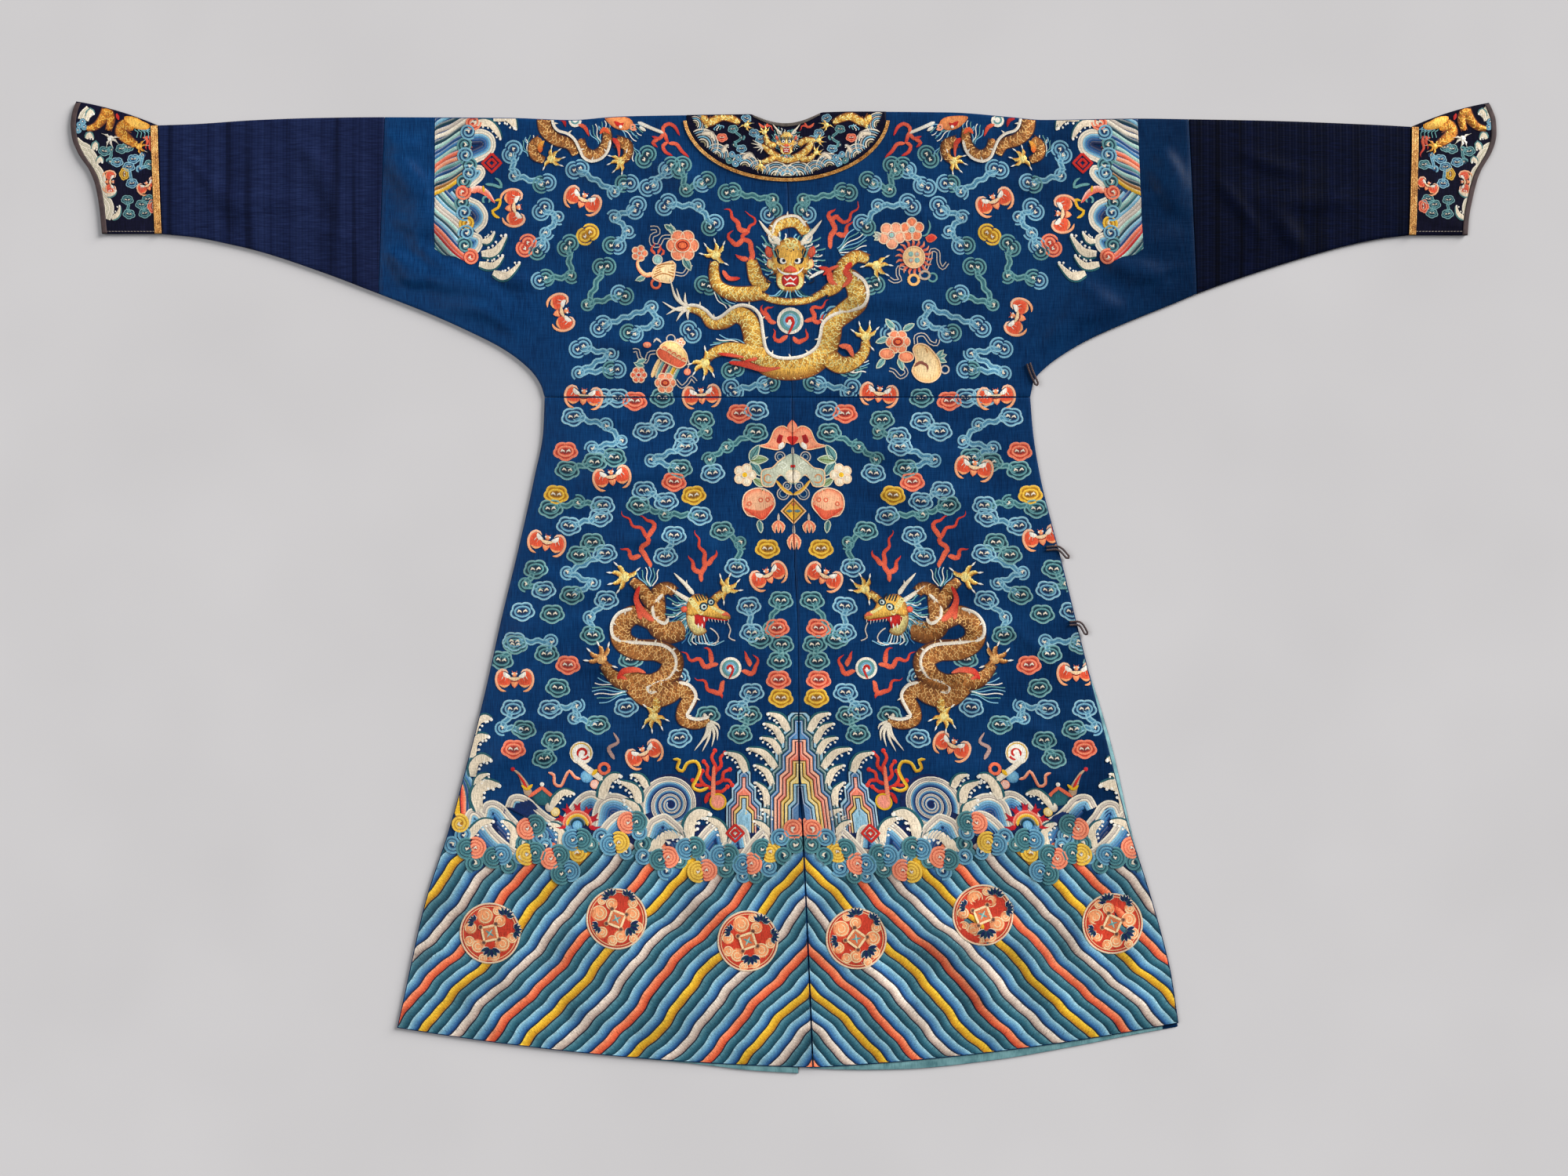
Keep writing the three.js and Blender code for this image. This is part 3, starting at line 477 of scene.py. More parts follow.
def ribbed_silk(name, deep, body, bright, rib):
    """Silk set in fine upright ribs, with darker lines at uneven places and pale worn threads."""
    look = Looks(name)
    at = look.place()
    fine = look.node("TexWave", wave_type="BANDS", bands_direction="X", Scale=rib, Distortion=0.6,
                     Detail=1.0)
    look.link(at, fine.inputs["Vector"])
    uneven = look.noise(at, 1.0, 2.0, (70, 1.2, 1))
    weave = look.noise(at, 1.0, 2.0, (60, 1500, 60))
    tone = look.weighed(uneven, 0.35, weave, 0.65)
    colour = look.ramp(tone, [(0.36, deep), (0.5, body), (0.66, bright)])
    groove = look.ramp(uneven, [(0.33, (0.55,) * 3), (0.37, (1,) * 3)])
    colour = look.darkened(colour, groove, 0.7)
    normal = look.bump(fine.outputs["Fac"], 0.0003, 0.6)
    normal = look.bump(weave, 0.0002, 0.5, normal)
    look.set(Roughness=0.62, Specular_IOR_Level=0.05)
    return look.finish(colour, None, normal)


def braid(name, dark, pale, pitch):
    """Braid woven on the slant."""
    look = Looks(name)
    at = look.place()
    weave = look.node("TexWave", wave_type="BANDS", bands_direction="DIAGONAL", Scale=pitch, Distortion=2.0,
                      Detail=2.0)
    look.link(at, weave.inputs["Vector"])
    wear = look.noise(at, 120.0, 4.0)
    tone = look.math("MULTIPLY", weave.outputs["Fac"], wear)
    colour = look.ramp(tone, [(0.1, dark), (0.55, pale)])
    look.set(Roughness=0.75, Sheen_Weight=0.1)
    return look.finish(colour, None, look.bump(tone, 0.0004, 0.8))


def plain_silk(name, deep, pale):
    """The lining's plain weave, with rubbed patches."""
    look = Looks(name)
    at = look.place()
    rubbed = look.noise(at, 60.0, 5.0)
    warp = look.noise(at, 1.0, 2.0, (1800, 90, 60))
    tone = look.weighed(rubbed, 0.6, warp, 0.4)
    colour = look.ramp(tone, [(0.36, deep), (0.6, pale)])
    look.set(Roughness=0.55, Sheen_Weight=0.2)
    return look.finish(colour, None, look.bump(warp, 0.00015, 0.5))


def thread_look(name, gleam, metal):
    """Embroidery in floss or gold thread; the stitches lie across each stroke."""
    look = Looks(name)
    silk = look.node("Attribute", attribute_name="silk").outputs["Color"]
    stitch = look.node("UVMap", uv_map="stitch").outputs["UV"]
    floats = look.noise(stitch, 1.0, 2.0, (1500, 90, 1))
    loops = look.noise(stitch, 1.0, 3.0, (420, 420, 1))
    tone = look.weighed(floats, 0.65, loops, 0.35)
    low, high = (0.45, 1.7) if metal else (0.56, 1.4)
    shade = look.ramp(tone, [(0.36, (low,) * 3), (0.5, (1,) * 3), (0.64, (high,) * 3)])
    colour = look.darkened(silk, shade)
    worn = grey_ramp(look, look.noise(look.place(), 18.0, 5.0), 0.7, 1.2)
    colour = look.darkened(colour, worn)
    normal = look.bump(tone, 0.0006 if metal else 0.00035, 0.8)
    look.set(Roughness=gleam, Metallic=metal, Specular_IOR_Level=0.5 if metal else 0.25)
    return look.finish(colour, None, normal)


def gold_cord(name):
    """Gold thread couched over a cord."""
    look = Looks(name)
    at = look.place()
    wraps = look.noise(at, 1.0, 2.0, (700, 700, 700))
    wear = look.noise(at, 90.0, 4.0)
    tone = look.weighed(wraps, 0.6, wear, 0.4)
    stops = [(0.36, light(120, 68, 28)), (0.5, light(222, 156, 76)), (0.64, light(255, 216, 140))]
    look.set(Roughness=0.42, Metallic=0.35)
    return look.finish(look.ramp(tone, stops), None, look.bump(wraps, 0.0006, 0.9))


LOOKS = {
    "blue_satin": satin("blue_satin", light(6, 36, 74), light(10, 52, 98), light(20, 72, 124)),
    # navy_right is navy_left's silk with painted shade: darker because the robe's right side catches less
    # light.
    "navy_left": ribbed_silk("navy_left", light(15, 22, 50), light(22, 32, 66), light(34, 46, 84), 34),
    "navy_right": ribbed_silk("navy_right", light(2, 5, 20), light(4, 10, 32), light(10, 19, 50), 34),
    "black_satin":
        satin("black_satin", light(7, 7, 22), light(13, 13, 34), light(26, 26, 54), 0.46, 0.9),
    "gold_piping": gold_cord("gold_piping"),
    "brown_braid": braid("brown_braid", light(34, 22, 26), light(96, 72, 70), 260),
    "grey_braid": braid("grey_braid", light(48, 42, 40), light(120, 108, 98), 260),
    "pale_lining": plain_silk("pale_lining", light(70, 122, 130), light(132, 182, 186)),
    "floss": thread_look("floss", 0.46, 0.0),
    "gold_thread": thread_look("gold_thread", 0.42, 0.45),
}


# Meshes
def new_object(name, points_mm, faces, looks, slots=None):
    """A mesh object from points in millimetres and a list of arrays of faces."""
    mesh = bpy.data.meshes.new(name)
    points = np.asarray(points_mm, float) * MM
    loops = np.concatenate([np.asarray(part).ravel() for part in faces])
    corners = [np.shape(part)[1] if len(part) else 0 for part in faces]
    totals = np.repeat(corners, [len(part) for part in faces])
    mesh.vertices.add(len(points))
    mesh.vertices.foreach_set("co", points.ravel())
    mesh.loops.add(len(loops))
    mesh.loops.foreach_set("vertex_index", loops.astype(np.int32))
    mesh.polygons.add(len(totals))
    mesh.polygons.foreach_set("loop_start", np.r_[0, np.cumsum(totals)[:-1]].astype(np.int32))
    for look in looks:
        mesh.materials.append(LOOKS[look])
    if slots is not None:
        mesh.polygons.foreach_set("material_index", slots.astype(np.int32))
    mesh.polygons.foreach_set("use_smooth", np.ones(len(totals), bool))
    mesh.update(calc_edges=True)
    made = bpy.data.objects.new(name, mesh)
    bpy.context.scene.collection.objects.link(made)
    return made


RIM_TURN = 0.4
CLOTH_STEP = 6
BAND_ENDS = (0.035, 0.965)
UPPER_SIZE = {"arm": 270, "body": 350, "height": 410, "armpit": 20}
SKIRT_SIZE = {"height": 975, "width": 560}
SLEEVE_SIZE = {"length": 325, "height": 240}
CUFF_SIZE = {"length": 125, "height": 190}


def shell(name, grid, upper, lower, look):
    """A closed shell over a grid of points (rows, columns, 2), with its rim turned down a little."""
    rows, across = grid.shape[:2]
    x, y = grid[..., 0], grid[..., 1]
    high, low = upper(x, y), lower(x, y)
    turned = np.zeros((rows, across), bool)
    turned[[0, -1], :] = True
    turned[:, [0, -1]] = True
    high = np.where(turned, mix(high, low, RIM_TURN), high)
    points = np.concatenate([np.stack([x, y, low], -1).reshape(-1, 3),
                             np.stack([x, y, high], -1).reshape(-1, 3)])
    index = np.arange(rows * across).reshape(rows, across)
    a, b, c, d = index[:-1, :-1], index[:-1, 1:], index[1:, 1:], index[1:, :-1]
    under = np.stack([a, d, c, b], -1).reshape(-1, 4)
    over = np.stack([a, b, c, d], -1).reshape(-1, 4) + rows * across
    rim = np.concatenate([index[0, :-1], index[:-1, -1], index[-1, :0:-1], index[:0:-1, 0]])
    following = np.roll(rim, -1)
    sides = np.stack([rim, following, following + rows * across, rim + rows * across], -1)
    faces = np.concatenate([under, over, sides])
    p, q, r = grid[0, 0], grid[0, 1], grid[1, 0]
    turn = (q[0] - p[0]) * (r[1] - p[1]) - (q[1] - p[1]) * (r[0] - p[0])
    if turn < 0:
        faces = faces[:, ::-1]
    return new_object(name, points, [faces], [look])


def steps(length, spacing):
    """Values from 0 to 1 at an even spacing, with one more close to each end."""
    edge = 1.3
    count = max(2, round(length / spacing))
    inner = np.linspace(edge / length, 1 - edge / length, count)
    return np.r_[0, inner, 1]


def ruled(top, bottom, v):
    """Rows of points between two edges that have as many points as each other."""
    return mix(top[None], bottom[None], v[:, None, None])


def columns_xy(x, y):
    return np.stack(np.broadcast_arrays(np.asarray(x, float), np.asarray(y, float)), -1)


def reach_of(line):
    """How far along a line each of its points lies."""
    return np.r_[0, np.cumsum(np.hypot(*np.diff(line, axis=0).T))]


def shares_of(line):
    return reach_of(line) / reach_of(line)[-1]


def along(points, u):
    """Points at shares u of a line's length."""
    reach = reach_of(points)
    return np.stack([np.interp(u * reach[-1], reach, points[:, i]) for i in (0, 1)], -1)


def upper_back(side):
    """A grid over one half of the upper back with its upper sleeve."""
    sign = SIGN[side]
    armpit_x = UNDERARM["left"][-1][0] if side == "left" else UNDERARM["right"][0][0]
    seam_top, seam_foot = (x - sign * SEAM / 2 for x in SLEEVE_SEAM[side])
    middle = back_middle_at(WAIST_Y) + sign * SEAM / 2
    waist = WAIST_Y + SEAM / 2
    over_armpit = armpit_x - sign * UPPER_SIZE["armpit"]
    first = steps(UPPER_SIZE["arm"], CLOTH_STEP)
    second = steps(UPPER_SIZE["body"], CLOTH_STEP)[1:]
    xs = np.linspace(seam_foot, armpit_x, 60)
    arm = columns_xy(xs, underarm_at[side](xs))
    arm[-1] = (armpit_x, waist)
    bottom = np.vstack([along(arm, first), columns_xy(mix(armpit_x, middle, second), waist)])
    middle_top = NECK_CENTRE[0] + sign * SEAM / 2
    xs = np.r_[mix(seam_top, over_armpit, first), mix(over_armpit, middle_top, second)]
    return ruled(columns_xy(xs, top_at(xs)), bottom, steps(UPPER_SIZE["height"], CLOTH_STEP))


def skirt_back(side):
    """A grid over one half of the back's skirt, with its edge of the vent."""
    sign = SIGN[side]
    side_foot = SIDE[side][0][0]
    waist = WAIST_Y - SEAM / 2
    v = steps(SKIRT_SIZE["height"], CLOTH_STEP)[:, None]
    u = steps(SKIRT_SIZE["width"], CLOTH_STEP)[None, :]
    side_y, middle_y = mix(waist, side_foot, v), mix(waist, BACK_MIDDLE[0][0], v)
    opened = np.clip((VENT["top_y"] - middle_y) / (VENT["top_y"] - VENT["foot_y"]), 0, 1)
    middle_x = back_middle_at(middle_y) + sign * mix(SEAM, VENT["gap"], opened) / 2
    x = mix(side_at[side](side_y), middle_x, u)
    return np.stack([x, mix(side_y, middle_y, u) - HEM_BOW[side] * 4 * u * (1 - u) * v * v], -1)


def sleeve(side, inset, u, v):
    """A grid over a sleeve extension, kept inside its edges by an inset."""
    sign = SIGN[side]
    top_x = mix(CUFF_SEAM[side][0] - sign * SEAM / 2, SLEEVE_SEAM[side][0] + sign * SEAM / 2, u)
    foot_x = mix(CUFF_SEAM[side][1] - sign * SEAM / 2, SLEEVE_SEAM[side][1] + sign * SEAM / 2, u)
    top = columns_xy(top_x, shoulder_at(top_x) - inset)
    return ruled(top, columns_xy(foot_x, underarm_at[side](foot_x) + inset), v)


def cuff(side, inset, u, v):
    """A grid over a horse-hoof cuff, kept inside its edges by an inset."""
    sign = SIGN[side]
    u, v = u[None, :], v[:, None]
    tip_y = CUFF_EDGE[side][-1][0]
    foot = CUFF_BOTTOM[side] + inset
    outer_y = mix(tip_y - inset, foot, v)
    outer_x = cuff_edge_at[side](outer_y) - sign * inset
    inner_y = mix(shoulder_at(CUFF_SEAM[side][0]) - inset, foot, v)
    inner_x = mix(CUFF_SEAM[side][0], CUFF_SEAM[side][1], v) + sign * SEAM / 2
    bow = CUFF_TOP_BOW * 4 * u * (1 - u) * (1 - v) ** 2
    return np.stack([mix(outer_x, inner_x, u), mix(outer_y, inner_y, u) + bow], -1)


def neck_arc(half_width, depth, u):
    """Half an ellipse below the neck's middle, in shares from left to right."""
    angle = np.pi * u
    return columns_xy(NECK_CENTRE[0] - half_width * np.cos(angle), NECK_CENTRE[1] - depth * np.sin(angle))


def collar_band():
    """A grid over the band on the back of the neck."""
    outer = neck_arc(COLLAR["half_width"], COLLAR["back_depth"], np.linspace(*BAND_ENDS, 90))
    xs = np.linspace(outer[0, 0], outer[-1, 0], 90)
    return ruled(columns_xy(xs, top_at(xs)), outer, steps(80, 4))


PIECES = {}
STRIP_SHARE = 0.32


def keep(piece, node):
    """Registers a piece that stands for a node of the frame."""
    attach(piece, "root")
    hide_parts(node)
    PIECES[node] = piece
    return piece


def declare(node, extra=()):
    """Works out a piece's flat size, as large as its plan; the result is not used.

    A curved strip fills less than STRIP_SHARE of its plan, and is as wide as its area over its length.
    """
    mesh = PIECES[node].data
    points = np.empty(len(mesh.vertices) * 3)
    mesh.vertices.foreach_get("co", points)
    points = points.reshape(-1, 3)
    width, length = np.ptp(points[:, 0]), np.ptp(points[:, 1])
    area = sum(face.area for face in mesh.polygons) / 2
    if area < STRIP_SHARE * width * length:
        length = math.hypot(width, length)
        width = area / length
    flat, area = (width, length), min(area, width * length)
    list(extra)


def cloth_underside(x, y):
    return surface(x, y) - CLOTH


def raised(low, high):
    """Two height functions, at distances above the back's cloth."""
    return (lambda x, y: surface(x, y) + high), (lambda x, y: surface(x, y) + low)


def lay(node, grid, look, upper=surface):
    """One thickness of the back's cloth."""
    keep(shell(f"cloth_{node}", grid, upper, cloth_underside, look), node)


def make_back():
    """The back's cloth: its upper pieces, skirts, sleeve extensions and cuffs."""
    for side in SIDES:
        lay(f"back_upper_{side}", upper_back(side), "blue_satin")
        lay(f"back_skirt_{side}", skirt_back(side), "blue_satin")
        make_sleeve_back(side)
        grid = cuff(side, 0, steps(CUFF_SIZE["length"], 3), steps(CUFF_SIZE["height"], 4))
        lay(f"cuff_back_{side}", grid, "black_satin")


RIB_PITCH = 4.6
RIB_HEIGHT = 0.32


def make_sleeve_back(side):
    """The ribbed sleeve extension: its ribs run round the arm."""
    grid = sleeve(side, 0, steps(SLEEVE_SIZE["length"], RIB_PITCH / 4), steps(SLEEVE_SIZE["height"], 7))

    def ribs(x, y):
        return surface(x, y) + RIB_HEIGHT * (0.5 + 0.5 * np.cos(2 * np.pi * x / RIB_PITCH)) ** 1.5

    lay(f"sleeve_back_{side}", grid, f"navy_{side}", ribs)


make_back()


# Embroidery. Places are in pixels of the photograph, and lifts in millimetres above the cloth.
PIXEL = 1.143
PHOTO_WIDTH = 2000
PHOTO_CENTRE = (999.5, 749.5)
FLOSS, GOLD = 0, 1
# How narrow a stroke's ends are, how dark its edges, and the least face that is kept, in mm2
CAP = 0.35
EDGE_SHADE = 0.8
LEAST_FACE = 0.02


def from_photo(pixels):
    """Millimetres in the robe's plan from the photograph's pixels."""
    x, y = pixels.T
    return np.stack([(x - PHOTO_CENTRE[0]) * PIXEL, (PHOTO_CENTRE[1] - y) * PIXEL], -1)


def seam_pixel(y):
    """Where the middle seam lies in the photograph, at a pixel row."""
    return PHOTO_CENTRE[0] + back_middle_at((PHOTO_CENTRE[1] - y) * PIXEL) / PIXEL


def smooth_line(points, step=3.5, closed=False):
    """A curve through points, as a line of short steps."""
    p = np.asarray(points, float)
    if len(p) == 2 and not closed:
        count = max(1, round(math.dist(p[0], p[1]) / step))
        return mix(p[0], p[1], np.linspace(0, 1, count + 1)[:, None])
    ends = (p[-1:], p[:2]) if closed else ([2 * p[0] - p[1]], [2 * p[-1] - p[-2]])
    q = np.vstack([ends[0], p, ends[1]])
    line = []
    for a, b, c, d in zip(q[:-3], q[1:-2], q[2:-1], q[3:]):
        count = max(1, round(math.dist(b, c) / step))
        t = (np.arange(count) / count)[:, None]
        curve = 2 * b + (c - a) * t + (2 * a - 5 * b + 4 * c - d) * t**2 + (3 * b - a - 3 * c + d) * t**3
        line.append(0.5 * curve)
    return np.vstack([*line, q[-2:-1]])


def normals(line):
    along_it = np.gradient(line, axis=0)
    along_it /= np.maximum(np.hypot(*along_it.T), 1e-9)[:, None]
    return np.stack([-along_it[:, 1], along_it[:, 0]], -1)


def round_points(x, y, radius, angles, squash=1.0):
    return np.stack([x + radius * np.cos(angles), y + radius * squash * np.sin(angles)], -1)


def heading(degrees):
    """A step of length 1 in a direction."""
    angle = math.radians(degrees)
    return np.array((math.cos(angle), math.sin(angle)))


def crosswise(step):
    """A step turned by a quarter."""
    return np.array((-step[1], step[0]))


def shaded(colour, dark, pale):
    """A colour's two edges: darker by one share, and paler by the other."""
    return mix(colour, INK, dark), mix(colour, WHITE, pale)


class Spot:
    """A place for a motif: its own small coordinates, turned, sized and set down at x, y."""

    def __init__(self, x, y, turn=0, size=1.0):
        self.at, self.size = np.array((x, y), float), size
        angle = math.radians(turn)
        self.spin = np.array([[math.cos(angle), math.sin(angle)], [-math.sin(angle), math.cos(angle)]])

    def __call__(self, points):
        return (np.asarray(points, float) * self.size) @ self.spin + self.at


class Motif:
    """Stitches in a motif's own small coordinates, on a piece of needlework."""

    def __init__(self, needle, x, y, turn=0, size=1.0):
        self.needle, self.size, self.spot = needle, size, Spot(x, y, turn, size)

    def stroke(self, points, width, colour, **more):
        self.needle.stroke(self.spot(points), np.array(width) * self.size, colour, **more)

    def thread(self, points, width, colour, lift):
        self.needle.thread(self.spot(points), width * self.size, colour, lift)

    def patch(self, points, *tones, **more):
        self.needle.patch(self.spot(points), *tones, **more)

    def disc(self, x, y, r, *tones, **more):
        self.needle.disc(*self.spot([(x, y)])[0], r * self.size, *tones, **more)

    def ring(self, x, y, r, width, *tones, spread, slot):
        self.needle.ring(*self.spot([(x, y)])[0], r * self.size, width * self.size, *tones,
                         spread=spread * self.size, slot=slot)


class Needlework:
    """Embroidery on one stretch of cloth, gathered stroke by stroke into one mesh."""

    def __init__(self, name, bounds, height=surface):
        self.name, self.bounds, self.height = name, bounds, height
        self.mirrored = False
        self.cut = None
        self.count = 0
        self.points, self.lifts, self.colours, self.stitches, self.faces = [], [], [], [], []

    def add(self, pixels, lifts, colours, stitches, quads, slot):
        pixels = np.array(pixels, float)
        if self.cut is not None:
            pixels = self.cut(pixels)
        if self.mirrored:
            pixels[:, 0] = 2 * seam_pixel(pixels[:, 1]) - pixels[:, 0]
        self.points.append(from_photo(pixels))
        self.lifts.append(np.broadcast_to(lifts, len(pixels)))
        self.colours.append(np.broadcast_to(colours, (len(pixels), 3)))
        self.stitches.append(stitches)
        self.faces.append(np.column_stack([quads + self.count, np.full(len(quads), slot)]))
        self.count += len(pixels)

    def stroke(self, points, width, colour, tip=None, sides=None, lift=0.3, crown=0.22, step=3.5, cap=True,
               closed=False, slot=FLOSS, exact=False):
        """Satin stitch along a curve; width may list its widths, and sides colours its two edges."""
        line = np.asarray(points, float) if exact else smooth_line(points, step, closed)
        s = reach_of(line)
        share = s / max(s[-1], 1e-9)
        widths = np.atleast_1d(np.asarray(width, float))
        if len(widths) > 1:
            w = np.interp(share, np.linspace(0, 1, len(widths)), widths)
        else:
            w = np.full(len(line), widths[0])
        if cap and not closed:
            w[[0, -1]] *= CAP
        half = normals(line) * w[:, None] / 2
        middle = np.tile(colour, (len(line), 1)) if tip is None else mix(colour, tip, share[:, None])
        if sides is None:
            left = right = middle * EDGE_SHADE
        else:
            left, right = (np.tile(edge, (len(line), 1)) for edge in sides)
        points = np.stack([line + half, line, line - half], 1).reshape(-1, 2)
        colours = np.stack([left, middle, right], 1).reshape(-1, 3)
        lifts = np.tile([lift, lift + crown, lift], len(line))
        across = np.stack([w / 2, 0 * w, -w / 2], 1).reshape(-1)
        stitches = np.stack([np.repeat(s, 3), across], -1) * PIXEL * MM
        i = np.arange(len(line) - 1)[:, None] * 3
        quads = np.concatenate([i + [0, 1, 4, 3], i + [1, 2, 5, 4]])
        self.add(points, lifts, colours, stitches, quads, slot)

    def thread(self, points, width, colour, lift=0.6, closed=False, exact=False):
        """One couched thread or outline: a narrow flat strip."""
        line = np.asarray(points, float) if exact else smooth_line(points, 4.0, closed)
        half = normals(line) * width / 2
        points = np.stack([line + half, line - half], 1).reshape(-1, 2)
        s = np.repeat(reach_of(line), 2)
        stitches = np.stack([s, np.tile([width / 2, -width / 2], len(line))], -1) * PIXEL * MM
        i = np.arange(len(line) - 1)[:, None] * 2
        self.add(points, lift, colour, stitches, i + [0, 1, 3, 2], FLOSS)

    def patch(self, outline, colour, middle=None, lift=0.25, crown=0.3, slot=FLOSS, step=4.0, inner=0.7,
              heart=None, smoothed=True):
        """A filled, domed shape round its middle, shaded from its edge inwards."""
        ring = smooth_line(outline, step, True)[:-1] if smoothed else np.asarray(outline, float)
        heart = ring.mean(0) if heart is None else np.asarray(heart, float)
        n = len(ring)
        points = np.vstack([ring, mix(heart, ring, inner), heart])
        middle = colour if middle is None else middle
        inside = mix(colour, middle, 0.7)
        colours = np.vstack([np.tile(colour, (n, 1)), np.tile(inside, (n, 1)), middle])
        lifts = np.r_[np.full(n, lift), np.full(n, lift + 0.8 * crown), lift + crown]
        a = np.arange(n)
        b = np.roll(a, -1)
        ring_quads = np.stack([a, b, b + n, a + n], -1)
        fan = np.stack([a + n, b + n, np.full(n, 2 * n), np.full(n, 2 * n)], -1)
        self.add(points, lifts, colours, points * PIXEL * MM, np.concatenate([ring_quads, fan]), slot)

    def disc(self, x, y, r, colour, middle=None, lift=0.3, crown=0.3, sides=12, slot=FLOSS, squash=1.0):
        outline = round_points(x, y, r, np.arange(sides) * 2 * np.pi / sides, squash)
        self.patch(outline, colour, middle, lift, crown, slot, smoothed=False)

    def ring(self, x, y, r, width, colour, lift=0.3, crown=0.2, start=0, sweep=360, slot=FLOSS, squash=1.0,
             spread=0.0, sides=None):
        """An arc from an angle in degrees through a sweep; spread widens it as it goes."""
        count = max(5, round(abs(sweep) / 360 * (10 + r * 0.9)))
        u = np.linspace(0, 1, count + 1)
        line = round_points(x, y, r + spread * u, np.radians(start + sweep * u), squash)
        self.stroke(line, width, colour, lift=lift, crown=crown, cap=abs(sweep) < 360, slot=slot,
                    exact=True, sides=sides)

    def finish(self):
        points = np.concatenate(self.points)
        x, y = self.bounds(points[:, 0], points[:, 1])
        z = self.height(x, y) + np.concatenate(self.lifts)
        faces = np.concatenate(self.faces)
        quads, slots = faces[:, :4], faces[:, 4]
        corner = np.stack([x, y], -1)
        one = corner[quads[:, 2]] - corner[quads[:, 0]]
        other = corner[quads[:, 3]] - corner[quads[:, 1]]
        area = one[:, 0] * other[:, 1] - one[:, 1] * other[:, 0]
        kept = np.abs(area) > LEAST_FACE
        quads, slots, area = quads[kept], slots[kept], area[kept]
        quads = np.where((area < 0)[:, None], quads[:, ::-1], quads)
        used = np.unique(quads)
        number = np.zeros(len(x), int)
        number[used] = np.arange(len(used))
        three = (quads[:, 2] == quads[:, 3]) | (quads[:, 0] == quads[:, 1])
        thin = np.where((quads[:, 0] == quads[:, 1])[:, None], quads[:, 1:], quads[:, :3])
        points = np.stack([x, y, z], -1)[used]
        made = new_object(self.name, points, [number[quads[~three]], number[thin[three]]],
                          ["floss", "gold_thread"], np.r_[slots[~three], slots[three]])
        mesh = made.data
        silk = mesh.color_attributes.new("silk", "FLOAT_COLOR", "POINT")
        colours = np.column_stack([np.concatenate(self.colours)[used], np.ones(len(used))])
        silk.data.foreach_set("color", colours.ravel())
        loops = np.empty(len(mesh.loops), np.int32)
        mesh.loops.foreach_get("vertex_index", loops)
        stitch = mesh.uv_layers.new(name="stitch")
        stitch.data.foreach_set("uv", np.concatenate(self.stitches)[used][loops].ravel())
        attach(made, "root")
        return made


# Floss colours
CREAM = light(236, 224, 202)
WHITE = light(245, 240, 228)
CORAL = light(240, 112, 78)
PALE_CORAL = light(250, 160, 122)
RED = light(205, 40, 34)
DEEP_RED = light(140, 20, 30)
YELLOW = light(232, 180, 36)
TEAL = light(40, 104, 112)
LIGHT_TEAL = light(104, 160, 158)
DEEP_TEAL = light(18, 62, 76)
BLUE = light(52, 118, 172)
LIGHT_BLUE = light(128, 186, 212)
DEEP_BLUE = light(22, 74, 132)
NAVY = light(10, 32, 80)
MINT = light(160, 204, 192)
GREY_CREAM = light(202, 188, 174)
INK = light(14, 24, 44)
LEAF = light(128, 140, 60)
OUTLINE = light(250, 206, 160)
PALE_OUTLINE = light(250, 214, 178)
VERMILION = light(226, 84, 56)
STRAW = light(246, 206, 140)

# Outer band, inner band and ground of each kind of cloud
CLOUDS = {
    "blue": (light(140, 190, 206), light(78, 138, 170), light(14, 52, 92)),
    "teal": (light(112, 164, 164), light(56, 112, 122), light(12, 52, 70)),
    "coral": (light(243, 122, 88), light(250, 158, 122), light(196, 66, 48)),
    "yellow": (light(230, 180, 44), light(240, 198, 84), light(176, 118, 20)),
}


def scroll(needle, x, y, family, turn=0, r=10.0, rise=0.3, width=2.7, pitch=4.3, depth=0.35):
    """One curl: a band wound in to a pearl."""
    outer, inner, deep = CLOUDS[family]
    needle.disc(x, y, r - width / 2, deep, lift=rise - 0.14, crown=0.06, sides=12)
    turns = (r - 2.6) / pitch
    needle.ring(x, y, r, width, mix(outer, inner, depth), rise, 0.2, turn, 360 * turns,
                spread=-pitch * turns, sides=(mix(inner, deep, depth), mix(outer, inner, 0.6 * depth)))
    comma = Spot(x, y, turn, r / 10)
    needle.stroke(comma([(1.8, 0.6), (0, -1.4), (-2.2, -0.2), (-3.4, 2.0)]),
                  np.array([3.4, 3.3, 2.0, 1.0]) * r / 10, CREAM, lift=rise + 0.3, crown=0.2)


def scroll_pair(needle, x, y, families, turn=0, size=1.0, rise=0.3, radii=(9.8, 5.6), width=2.6,
                spacing=3.7, depth=0.35):
    """Two curls that meet along a line, each with bands round its own pearl."""
    angle = math.radians(turn)
    for side, family in zip((-1, 1), families):
        outer, inner, deep = CLOUDS[family]
        apart = spacing * size * side
        cx, cy = x + apart * math.cos(angle), y + apart * math.sin(angle)
        outward = turn + (180 if side < 0 else 0)
        needle.disc(cx, cy, (radii[0] - 1.5) * size, deep, lift=rise - 0.14, crown=0.06, sides=12)
        for k, radius in enumerate(radii):
            opening = math.degrees(math.acos(min(1.0, abs(apart) / (radius * size))))
            reach = 178 - opening
            needle.ring(cx, cy, (radius + 0.7) * size, width * size, mix(outer, inner, depth + 0.15 * k),
                        rise, 0.2, outward - reach, 2 * reach, spread=-1.4 * size,
                        sides=(mix(inner, deep, depth), mix(outer, inner, 0.6 * depth)))
        comma = Spot(cx, cy, outward, size)
        needle.stroke(comma([(1.9, 0.8), (0.6, -1.5), (-1.2, -0.4), (-1.8, 1.6)]),
                      np.array([3.0, 3.3, 2.0, 0.8]) * size, CREAM, lift=rise + 0.3, crown=0.2)


